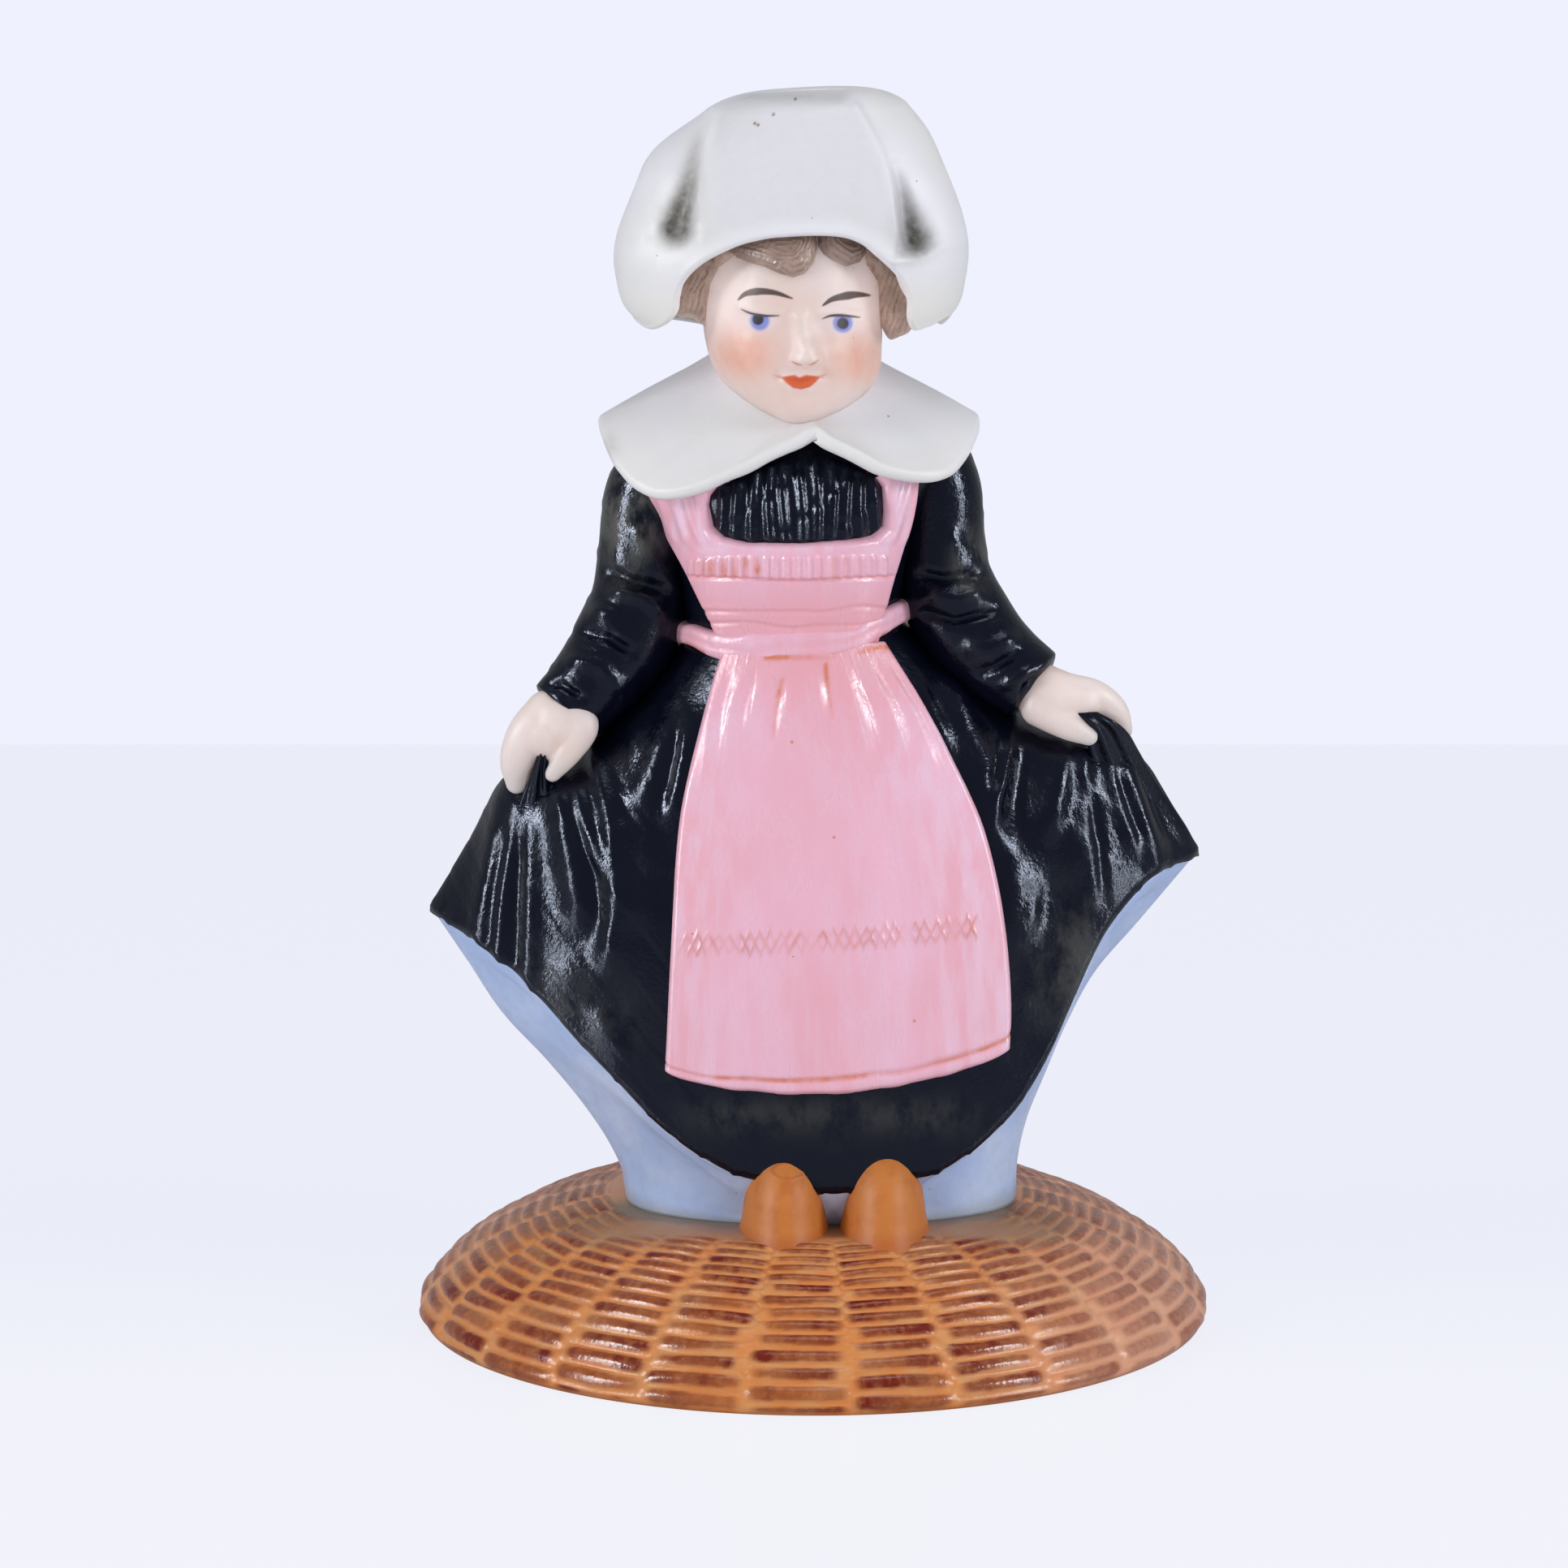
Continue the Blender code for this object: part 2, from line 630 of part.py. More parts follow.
def collar_ring(u, under=0.0):
    """Collar ring, 0 at the neck and 1 at its edge; under lowers it to the underside."""
    hole = COLLAR_HOLE
    front = blend(hole, COLLAR_FRONT, u)
    back = blend(hole, COLLAR_BACK, u)
    half = blend(hole, COLLAR_REACH, u)
    x, y = outline(half, half, front, back, 0.8)
    turn = np.degrees(np.abs(np.mod(ANGLES + math.pi, 2.0 * math.pi) - math.pi))
    stations = (0, 10, 22, 38, 60, 80, 95, 130, 180)
    edge = np.interp(turn, stations, (-0.31, -0.51, -0.83, -1.0, -0.77, -0.25, -0.14, -0.57, -0.8))
    root = np.interp(turn, (0, 30, 70, 180), (0.11, 0.28, 0.63, 0.74))
    z = NECK_Z + COLLAR_FALL * blend(root, edge, u ** 1.25)
    return ring(x + BODY_OFFSET, y, z - under)


def build_collar(head_cut):
    """Wide collar that lies over the shoulders, cut clear of neck and chin."""
    spread = (0.0, 0.3, 0.6, 0.85, 0.97, 1.0)
    rings = [collar_ring(u) for u in spread]
    rings[-1] = collar_ring(1.0, 0.45 * COLLAR_THICK)
    rings += [collar_ring(u, COLLAR_THICK) for u in (0.97, 0.85, 0.6, 0.3, 0.0)]
    return carve(loft("collar", rings, "bisque_white", closed=True), head_cut)


def collar_tool():
    """Everything above the underside of the collar, used to cut what lies below it."""
    low = [collar_ring(u, COLLAR_THICK + JOINT_GAP) for u in (1.03, 0.85, 0.6, 0.3, 0.0)]
    above = np.array([0.0, 0.0, 0.8 * BODICE_HEIGHT])
    high = [low[-1] + above, low[0] + above]
    return loft("collar_tool", low + high, closed=True)


def head_centre():
    """Middle of the face at eye height."""
    return np.array([0.92 * BODY_OFFSET, -0.147 * HEAD_FRONT, EYE_Z])


def head_solid(name, finish=None, grow=0.0):
    """Rounded head with its nose, and the neck that plugs into the bodice."""
    radii = np.array([0.5 * HEAD_WIDTH, HEAD_FRONT, HEAD_BACK, HEAD_TOP, JAW_DROP]) + grow
    head = loft(name, ball_rings(head_centre(), radii, 14, 28), finish)
    x = head_centre()[0]
    low = NECK_Z - NECK_PLUG - grow
    high = EYE_Z - 0.4 * JAW_DROP
    thick = NECK_RADIUS + grow
    path = [(x, 0.0, low), (x, 0.0, high)]
    neck = loft("neck_tool", tube_rings(path, (thick, thick), (thick, thick), count=24))
    tip = head_centre() + np.array([0.055 * HEAD_WIDTH, -0.93 * HEAD_FRONT, -0.32 * JAW_DROP])
    size = 0.069 * HEAD_WIDTH + grow
    nose = loft("nose_tool", ball_rings(tip, (size, size, size, 1.6 * size, size), 6, 12))
    return carve(head, neck, nose, operation='UNION')


def fringe_rings(grow=0.0):
    """Locks that lie across the forehead under the brim."""
    middle = head_centre()
    turns = np.radians(np.linspace(-52.0, 52.0, 9))
    lift = np.radians(np.array([22.0, 27.0, 26.0, 24.0, 27.0, 29.0, 26.0, 26.0, 21.0]))
    half = 0.5 * HEAD_WIDTH
    path = []
    for turn, rise in zip(turns, lift):
        wide = math.cos(rise)
        x = half * wide * math.sin(turn)
        y = -HEAD_FRONT * wide * math.cos(turn)
        path.append(middle + np.array([x, y, HEAD_TOP * math.sin(rise)]))
    thick = np.array([0.6, 0.9, 1.0, 1.1, 0.8, 1.0, 1.0, 0.9, 0.6]) * HAIR_RELIEF
    return tube_rings(path, thick, thick * 0.8, grow, 12)


def curl_rings(side, grow=0.0):
    """Curls that hang beside one cheek."""
    place = head_centre() + np.array([side * 0.5 * HEAD_WIDTH, -0.42 * HEAD_FRONT, 0.24 * HAIR_RELIEF])
    wide = 1.1 * HAIR_RELIEF + grow
    deep = 1.7 * HAIR_RELIEF + grow
    return ball_rings(place, (wide, deep, deep, 2.3 * HAIR_RELIEF + grow, 2.1 * HAIR_RELIEF + grow), 8, 16)


def crown_rings(grow=0.0):
    """Cap over the head, open below the brim in front."""
    part = np.array([-0.16, 0.0, 0.15, 0.3, 0.38, 0.52, 0.68, 0.84, 0.94, 0.99])
    half = np.array([0.82, 0.92, 0.98, 1.0, 1.0, 0.97, 0.9, 0.76, 0.54, 0.3]) * CROWN_HALF
    front = np.array([0.06, 0.12, 0.4, 0.86, 1.02, 1.0, 0.92, 0.74, 0.5, 0.25]) * CROWN_FRONT
    back = np.array([0.76, 0.88, 0.97, 1.0, 1.0, 0.97, 0.88, 0.7, 0.46, 0.22]) * CROWN_BACK
    rings = []
    for p, h, f, b in zip(part, half, front, back):
        x, y = outline(h + grow, h + grow, f + grow, b + grow, 0.9)
        rings.append(ring(x + BODY_OFFSET, y, EYE_Z + (p - 0.036) * CROWN_HEIGHT))
    return rings


def wing_rings(side, grow=0.0):
    """One turned-out flap beside the cap, with a rounded lobe below."""
    part = np.array([-0.1, -0.04, 0.05, 0.2, 0.36, 0.55, 0.74, 0.88, 0.95])
    reach = np.array([0.84, 0.92, 0.98, 1.0, 0.97, 0.86, 0.7, 0.52, 0.4]) * WING_REACH
    inner = np.array([0.66, 0.6, 0.56, 0.52, 0.5, 0.46, 0.4, 0.32, 0.28]) * WING_REACH
    depth = np.array([0.35, 0.6, 0.85, 1.0, 1.02, 1.0, 0.86, 0.6, 0.36]) * WING_DEPTH
    rings = []
    for p, r, i, d in zip(part, reach, inner, depth):
        half = 0.5 * (r - i) + grow
        x, y = outline(half, half, d + grow, d + grow, 1.0)
        x = x + BODY_OFFSET + side * 0.5 * (r + i)
        rings.append(ring(x, y + 0.042 * WING_DEPTH, EYE_Z + p * CROWN_HEIGHT))
    return rings


def arm_path(side, across, ahead, rise):
    """Path of an arm: across from shoulder to grip, ahead in sleeve radii, rise in bodice heights."""
    tip = RIGHT_TIP_REACH if side < 0 else LEFT_TIP_REACH
    grip = blend(WAIST_HALF, tip, GRIP_FACTOR)
    x = BODY_OFFSET + side * blend(SHOULDER_HALF, grip, np.array(across))
    y = -SLEEVE_RADIUS * np.array(ahead)
    z = WAIST_Z + BODICE_HEIGHT * np.array(rise)
    return np.stack([x, y, z], axis=-1)


def sleeve_rings(side, grow=0.0):
    """One arm from the shoulder past the elbow to the cuff."""
    ahead = (-0.18, -0.09, 0.0, 0.18, 0.45, 0.71, 0.86)
    if side < 0:
        across = (-0.13, 0.018, 0.059, 0.077, 0.225, 0.432, 0.569)
        rise = (0.808, 0.615, 0.346, 0.115, -0.096, -0.258, -0.35)
    else:
        across = (-0.13, 0.006, 0.03, 0.065, 0.23, 0.455, 0.632)
        rise = (0.846, 0.654, 0.404, 0.192, 0.008, -0.142, -0.223)
    fullness = np.array([0.85, 1.0, 0.97, 1.05, 1.05, 0.0, 0.0]) * SLEEVE_RADIUS
    fullness[5:] = CUFF_RADIUS
    return tube_rings(arm_path(side, across, ahead, rise), fullness, fullness * 1.05, grow)


def hand_rings(side, grow=0.0):
    """Hand from the wrist plug inside the cuff to the bent finger tips."""
    if side < 0:
        across = (0.409, 0.569, 0.681, 0.812, 0.924, 0.989)
        ahead = (0.68, 0.86, 0.93, 0.93, 0.86, 0.75)
        rise = (-0.238, -0.35, -0.438, -0.515, -0.592, -0.669)
    else:
        across = (0.431, 0.632, 0.809, 1.01, 1.19, 1.305)
        ahead = (0.68, 0.86, 0.96, 1.0, 0.93, 0.79)
        rise = (-0.131, -0.223, -0.277, -0.319, -0.369, -0.438)
    wide = np.array([0.0, 0.0, 0.95, 1.0, 0.85, 0.45]) * HAND_WIDTH
    deep = np.array([0.0, 0.0, 1.0, 1.0, 0.9, 0.5]) * HAND_DEPTH
    wide[:2] = WRIST_RADIUS
    deep[:2] = WRIST_RADIUS
    return tube_rings(arm_path(side, across, ahead, rise), wide, deep, grow, 12)


def clog_rings(side):
    """Rounded toe of one clog."""
    x = CLOG_OFFSET + side * 0.5 * CLOG_SPACING
    nose = SKIRT_FRONT - 1.4 * HEM_STEP + CLOG_REACH
    sole = CLOG_HEIGHT / 3.0
    toe = 0.72 * CLOG_WIDTH
    middle = (x, toe - nose, SEAT_HEIGHT + sole)
    radii = (0.5 * CLOG_WIDTH, toe, 0.58 * CLOG_WIDTH, CLOG_HEIGHT - sole, 0.52 * CLOG_HEIGHT)
    return ball_rings(middle, radii, 9, 20)


def build():
    """Make every piece and cut the joints, the inner piece of each pair first."""
    clear_scene()
    build_base()
    build_petticoat()
    build_overskirt()
    skirt_cut = skirt_tool(JOINT_GAP)
    for side, name in ((-1, "right_clog"), (1, "left_clog")):
        clog = loft(name, clog_rings(side), "clog_ochre")
        carve(clog, dome_tool(JOINT_GAP), petticoat_tool(JOINT_GAP), skirt_cut)
    build_waistband()
    build_apron_skirt()
    under_collar = collar_tool()
    head_cut = head_solid("head_tool", grow=JOINT_GAP)
    carve(build_bodice(), head_cut, under_collar)
    grown = [bodice_ring(v, JOINT_GAP, JOINT_GAP) for v in np.linspace(0.0, 1.0, 12)]
    bodice_cut = loft("bodice_tool", grown)
    band_cut = waistband_tool(JOINT_GAP)
    lining = JOINT_GAP
    face = JOINT_GAP + APRON_THICK
    bib = slab("apron_bib", bib_patch(lining), bib_patch(face), "apron_pink")
    for side, name in ((-1, "right"), (1, "left")):
        hand = loft(name + "_hand", hand_rings(side), "bisque_skin")
        carve(hand, skirt_cut)
        hand_cut = loft("hand_tool", hand_rings(side, JOINT_GAP))
        sleeve = loft(name + "_sleeve", sleeve_rings(side), "dress_black")
        carve(sleeve, bodice_cut, under_collar, band_cut, skirt_cut, hand_cut)
        sleeve_cut = loft("sleeve_tool", sleeve_rings(side, JOINT_GAP))
        strap = slab(name + "_apron_strap", strap_patch(side, lining), strap_patch(side, face), "apron_pink")
        carve(strap, under_collar, sleeve_cut)
        carve(bib, sleeve_cut)
    build_collar(head_cut)
    head_solid("head", "bisque_skin")
    hair_cuts = [loft("fringe_tool", fringe_rings(JOINT_GAP))]
    carve(loft("hair_fringe", fringe_rings(), "hair_brown"), head_cut)
    for side, name in ((-1, "right_side_curls"), (1, "left_side_curls")):
        curls = loft(name, curl_rings(side), "hair_brown")
        carve(curls, head_cut, hair_cuts[0])
        hair_cuts.append(loft("curl_tool", curl_rings(side, JOINT_GAP)))
    crown = loft("bonnet_crown", crown_rings(), "bisque_white")
    carve(crown, head_cut, *hair_cuts)
    crown_cut = loft("crown_tool", crown_rings(JOINT_GAP))
    for side, name in ((-1, "right_bonnet_wing"), (1, "left_bonnet_wing")):
        wing = loft(name, wing_rings(side), "bisque_white")
        carve(wing, crown_cut, head_cut, *hair_cuts)


build()
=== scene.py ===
"""Looks of the bisque figurine: a girl in regional dress on a basket-moulded base.

Every piece is a surface S(u, v) on a numpy grid, in millimetres until its mesh is made.
The girl faces -Y and stands on z = 0; left and right are her own, so her left is +X.
Creases and painted lines are drawn where the photograph's camera sees them, and stay on the surface.
"""
import logging
import math
from dataclasses import dataclass, field
from enum import Enum
from typing import Callable, Dict, List, Sequence, Tuple

import bpy
import numpy as np
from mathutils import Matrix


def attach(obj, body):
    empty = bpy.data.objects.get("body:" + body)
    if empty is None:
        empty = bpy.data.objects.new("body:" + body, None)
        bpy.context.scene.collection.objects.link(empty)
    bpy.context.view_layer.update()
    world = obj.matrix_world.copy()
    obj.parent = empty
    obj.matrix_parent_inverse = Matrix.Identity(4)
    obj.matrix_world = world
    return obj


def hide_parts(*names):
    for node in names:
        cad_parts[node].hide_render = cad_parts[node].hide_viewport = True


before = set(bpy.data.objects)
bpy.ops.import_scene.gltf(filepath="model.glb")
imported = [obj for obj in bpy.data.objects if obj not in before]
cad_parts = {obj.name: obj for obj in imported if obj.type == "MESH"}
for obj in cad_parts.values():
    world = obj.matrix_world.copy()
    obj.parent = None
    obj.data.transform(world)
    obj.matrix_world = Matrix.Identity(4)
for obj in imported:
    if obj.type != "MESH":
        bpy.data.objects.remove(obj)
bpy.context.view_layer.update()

MM = 0.001
LOG = logging.getLogger("figurine")

Array = np.ndarray
Points = Sequence[Tuple[float, float]]
Triple = Tuple[float, float, float]
Colour = Triple
Row = Tuple[float, ...]
Pair = Tuple[Array, Array]
Trio = Tuple[Array, Array, Array]
Piece = bpy.types.Object
Paint = bpy.types.Material
Socket = bpy.types.NodeSocket


# Numbers and curves


def smooth(value: Array, start: float, end: float) -> Array:
    """Smoothstep of value, 0 at start and 1 at end."""
    part = np.clip((value - start) / (end - start), 0.0, 1.0)
    return part * part * (3.0 - 2.0 * part)


def fall(value: Array, start: float, end: float) -> Array:
    """Smoothstep of value downwards, 1 at start and 0 at end."""
    return 1.0 - smooth(value, start, end)


def hump(value: Array, centre: float, width: float) -> Array:
    """Bell of height 1 about centre."""
    return np.exp(-((value - centre) / width) ** 2)


def blend(start: Array, end: Array, part: Array) -> Array:
    """Value part of the way from start to end."""
    return start + (end - start) * part


def spline(value: Array, stations: Sequence[float], heights: Sequence[float]) -> Array:
    """Smooth curve through given points: cubic Hermite pieces with slopes from the neighbours.

    Args:
        value: where to read the curve; outside the stations it stays level.
        stations: rising places of the points.
        heights: heights of the points.
    Returns:
        Heights at value.
    """
    xs = np.asarray(stations, dtype=float)
    ys = np.asarray(heights, dtype=float)
    slopes = np.gradient(ys, xs)
    at = np.clip(np.asarray(value, dtype=float), xs[0], xs[-1])
    k = np.clip(np.searchsorted(xs, at, side="right") - 1, 0, len(xs) - 2)
    gap = xs[k + 1] - xs[k]
    t = (at - xs[k]) / gap
    rise = (2 * t - 3) * t * t
    near = ((t - 2) * t + 1) * t * gap * slopes[k]
    far = (t - 1) * t * t * gap * slopes[k + 1]
    return ys[k] * (1 + rise) - ys[k + 1] * rise + near + far


def shares(count: int) -> Array:
    """Column of even shares from 0 to 1."""
    return np.linspace(0.0, 1.0, count)[:, None]


def path_through(points: Sequence[Sequence[float]], count: int) -> Array:
    """Evenly read smooth path through points in the plane or in space.

    Args:
        points: corners of the path.
        count: number of places to read.
    Returns:
        Places along the path.
    """
    knots = np.asarray(points, dtype=float)
    along = np.linspace(0.0, len(knots) - 1.0, count)
    stations = np.arange(len(knots), dtype=float)
    return np.stack([spline(along, stations, knots[:, k]) for k in range(knots.shape[1])], axis=-1)


def run_of(first: Array, second: Array) -> Array:
    """Length of a flat line up to each of its points."""
    return np.concatenate([[0.0], np.cumsum(np.hypot(np.diff(first), np.diff(second)))])


def ripple(value: Array, seed: float) -> Array:
    """Uneven hand-made wave between about -1 and 1: four sines of unlike lengths.

    Args:
        value: where to read the wave.
        seed: shift that makes each wave its own.
    Returns:
        The wave at value.
    """
    total = np.zeros_like(np.asarray(value, dtype=float))
    for k, weight in enumerate((0.4, 0.3, 0.2, 0.1)):
        total = total + weight * np.sin(value * (1.0 + 1.37 * k) + seed * (2.1 + 1.7 * k) + k)
    return total


def scatter(first: Array, second: Array) -> Array:
    """Repeatable spread of values from 0 to 1 for pairs of whole numbers."""
    mixed = np.sin(first * 12.9898 + second * 78.233) * 43758.5453
    return mixed - np.floor(mixed)


def srgb(red: float, green: float, blue: float) -> Tuple[float, float, float, float]:
    """Linear colour of a screen colour given from 0 to 255.

    Args:
        red: level of red.
        green: level of green.
        blue: level of blue.
    Returns:
        Red, green, blue and full alpha, from 0 to 1.
    """
    levels = []
    for level in (red / 255.0, green / 255.0, blue / 255.0):
        levels.append(level / 12.92 if level <= 0.04045 else ((level + 0.055) / 1.055) ** 2.4)
    return (levels[0], levels[1], levels[2], 1.0)


# Where the photograph's camera sees a point


@dataclass(frozen=True)
class Lens:
    """Camera of the photograph, in millimetres and picture units of 1932 across."""

    x: float = -3.6
    y: float = -815.7
    z: float = 221.6
    pitch: float = 10.83
    focal: float = 157.34
    sensor: float = 36.0
    across: float = 1932.0

    @property
    def reach(self) -> float:
        """Focal length in picture units."""
        return self.focal / self.sensor * self.across

    def sees(self, points: Array) -> Pair:
        """Picture place of points: offset over depth, from the picture's centre.

        Args:
            points: array whose last axis is x, y, z in millimetres.
        Returns:
            Picture columns and rows.
        """
        c, s = math.cos(math.radians(self.pitch)), math.sin(math.radians(self.pitch))
        dx, dy, dz = points[..., 0] - self.x, points[..., 1] - self.y, points[..., 2] - self.z
        depth = dy * c - dz * s
        half = 0.5 * self.across
        return half + self.reach * dx / depth, half - self.reach * (dy * s + dz * c) / depth

    def place(self, column: Array, row: Array, y: Array) -> Array:
        """Point on the ray through a picture place, at depth y.

        Args:
            column: picture columns.
            row: picture rows.
            y: depth of each point in millimetres.
        Returns:
            Points in millimetres.
        """
        c, s = math.cos(math.radians(self.pitch)), math.sin(math.radians(self.pitch))
        half = 0.5 * self.across
        side = (np.asarray(column, dtype=float) - half) / self.reach
        lift = (half - np.asarray(row, dtype=float)) / self.reach
        far = (y - self.y) / (c + lift * s)
        return np.stack([self.x + side * far, y + 0.0 * far, self.z + (lift * c - s) * far], axis=-1)

    def camera(self) -> Piece:
        """Blender camera at the same place and angle.

        Returns:
            The camera, which is now the scene's.
        """
        data = bpy.data.cameras.new("view")
        data.lens = self.focal
        data.sensor_width = self.sensor
        made = bpy.data.objects.new("view", data)
        made.location = (self.x * MM, self.y * MM, self.z * MM)
        made.rotation_euler = (math.radians(90.0 - self.pitch), 0.0, 0.0)
        bpy.context.collection.objects.link(made)
        bpy.context.scene.camera = made
        return made


LENS = Lens()


def line_gap(column: Array, row: Array, points: Points) -> Pair:
    """Distance to a bent line and how far along it the nearest place is.

    Args:
        column: picture columns.
        row: picture rows.
        points: corners of the line.
    Returns:
        Distances, and shares of the line's length from 0 to 1.
    """
    knots = np.asarray(points, dtype=float)
    lengths = np.hypot(*(knots[1:] - knots[:-1]).T)
    before = np.concatenate([[0.0], np.cumsum(lengths)])
    best = np.full(column.shape, 1e9)
    share = np.zeros(column.shape)
    for k, (a, b) in enumerate(zip(knots[:-1], knots[1:])):
        d = b - a
        t = np.clip(((column - a[0]) * d[0] + (row - a[1]) * d[1]) / (d @ d), 0.0, 1.0)
        gap = np.hypot(column - a[0] - t * d[0], row - a[1] - t * d[1])
        closer = gap < best
        best = np.where(closer, gap, best)
        share = np.where(closer, (before[k] + t * lengths[k]) / before[-1], share)
    return best, share


def inside(column: Array, row: Array, points: Points) -> Array:
    """Signed distance to a closed outline, positive inside, by crossings of a level line.

    Args:
        column: picture columns.
        row: picture rows.
        points: corners of the outline.
    Returns:
        Distances in picture units.
    """
    knots = np.asarray(list(points) + [points[0]], dtype=float)
    gap, _ = line_gap(column, row, [tuple(p) for p in knots])
    crossed = np.zeros(column.shape, dtype=bool)
    for (ax, ay), (bx, by) in zip(knots[:-1], knots[1:]):
        spans = (ay > row) != (by > row)
        at = ax + (row - ay) * (bx - ax) / (by - ay if by != ay else 1e-9)
        crossed ^= spans & (column < at)
    return np.where(crossed, gap, -gap)


@dataclass(frozen=True)
class Fold:
    """Ridge or crease pressed along a line: a bell across it, fading past its ends.

    Attributes:
        points: corners of the line in the picture.
        near: half width at its start.
        far: half width at its end.
        height: relief in millimetres, negative for a crease.
        fade: shares of the height that the start and the end keep.
    """

    points: Points
    near: float
    far: float
    height: float
    fade: Tuple[float, float] = (1.0, 1.0)

    def relief(self, column: Array, row: Array, soft: float = 0.0) -> Array:
        """Relief of this fold at picture places, dying away over a soft stretch at both ends.

        Args:
            column: picture columns.
            row: picture rows.
            soft: length of that stretch in picture units.
        Returns:
            Relief in millimetres.
        """
        gap, share = line_gap(column, row, self.points)
        bell = np.exp(-(gap / blend(self.near, self.far, share)) ** 2)
        bell = self.height * blend(*self.fade, share) * bell
        if soft:
            length = sum(math.dist(start, end) for start, end in zip(self.points, self.points[1:]))
            to_end = np.minimum(share, 1.0 - share) * length
            bell = bell * smooth(to_end, 0.0, min(soft, 0.5 * length))
        return bell


def relief_of(folds: Sequence[Fold], points: Array, soft: float = 0.0) -> Array:
    """Sum of the folds at the picture places of points.

    Args:
        folds: folds to add up.
        points: grid of points in millimetres.
        soft: length over which their ends die away.
    Returns:
        Relief in millimetres.
    """
    column, row = LENS.sees(points)
    total = np.zeros(column.shape)
    for fold in folds:
        total = total + fold.relief(column, row, soft)
    return total


# Meshes


class Ends(Enum):
    """How the first and last row of a skin are closed."""

    POLE = "pole"
    ZIP = "zip"
    LOOP = "loop"


@dataclass
class Skin:
    """Closed surface over a grid whose columns wrap round.

    Attributes:
        rows: grid of points, rows by columns by three, in millimetres.
        ends: how the open rows are closed.
        marks: values on the grid that the finish reads, by name.
    """

    rows: Array
    ends: Ends = Ends.POLE
    marks: Dict[str, Array] = field(default_factory=dict)

    def faces(self) -> Pair:
        """Quads of the grid and triangles of its ends, as point numbers.

        Returns:
            Point numbers of the quads, and of the triangles.
        """
        count, around = self.rows.shape[:2]
        j = np.arange(around)
        k = (j + 1) % around
        last = count if self.ends is Ends.LOOP else count - 1
        near = (np.arange(last) * around)[:, None]
        far = ((np.arange(1, last + 1) % count) * around)[:, None]
        quads = np.stack([near + j, near + k, far + k, far + j], axis=-1).reshape(-1, 4)
        tris = np.zeros((0, 3), dtype=int)
        if self.ends is Ends.POLE:
            low, high = count * around, count * around + 1
            first = np.stack([np.full(around, low), k, j], axis=-1)
            top = (count - 1) * around
            tris = np.concatenate([first, np.stack([np.full(around, high), top + j, top + k], axis=-1)])
        if self.ends is Ends.ZIP:
            m = np.arange(around // 2 - 1)
            flap = np.stack([m, around - 1 - m, around - 2 - m, m + 1], axis=-1)
            quads = np.concatenate([quads, flap, flap[:, ::-1] + (count - 1) * around])
        return quads, tris

    def points(self) -> Array:
        """All points, with the two poles last.

        Returns:
            Points in rows of three.
        """
        flat = self.rows.reshape(-1, 3)
        if self.ends is Ends.POLE:
            return np.concatenate([flat, self.rows[0].mean(0)[None], self.rows[-1].mean(0)[None]])
        return flat

    def values(self, name: str) -> Array:
        """One mark on all points, zero where the skin lacks it.

        Args:
            name: name of the mark.
        Returns:
            One value for each point.
        """
        grid = np.broadcast_to(self.marks.get(name, 0.0), self.rows.shape[:2])
        if self.ends is Ends.POLE:
            return np.concatenate([grid.reshape(-1), [grid[0].mean(), grid[-1].mean()]])
        return grid.reshape(-1)


def both_sides(ahead: int, behind: int) -> Array:
    """Row of turns in radians, 0 at the front, with its own count of columns ahead and behind.

    Args:
        ahead: columns in front.
        behind: columns behind.
    Returns:
        The turns as one row.
    """
    front = np.linspace(-0.5 * math.pi, 0.5 * math.pi, ahead, endpoint=False)
    rear = np.linspace(0.5 * math.pi, 1.5 * math.pi, behind, endpoint=False)
    return np.concatenate([front, rear])[None, :]


def full_turn(count: int) -> Array:
    """Row of even turns in radians from behind, round by the front."""
    return np.linspace(-math.pi, math.pi, count, endpoint=False)[None, :]


def signed_power(value: Array, power: Array) -> Array:
    """Power of the size of value with the sign of value."""
    return np.sign(value) * np.abs(value) ** power


def normals_of(rows: Array) -> Array:
    """Unit normals of a grid that wraps in its columns: cross product of its two slopes.

    Args:
        rows: grid of points.
    Returns:
        Normals on the same grid.
    """
    across = np.roll(rows, -1, axis=1) - np.roll(rows, 1, axis=1)
    along = np.gradient(rows, axis=0)
    flat = np.cross(across, along)
    return flat / np.maximum(np.linalg.norm(flat, axis=-1, keepdims=True), 1e-9)


def turned_out(rows: Array) -> Array:
    """Normals of a closed grid, turned to point away from its middle.

    Args:
        rows: grid of points.
    Returns:
        Normals on the same grid.
    """
    normals = normals_of(rows)
    away = ((rows - rows.mean(axis=(0, 1))) * normals).sum(-1).mean()
    return normals if away > 0.0 else -normals


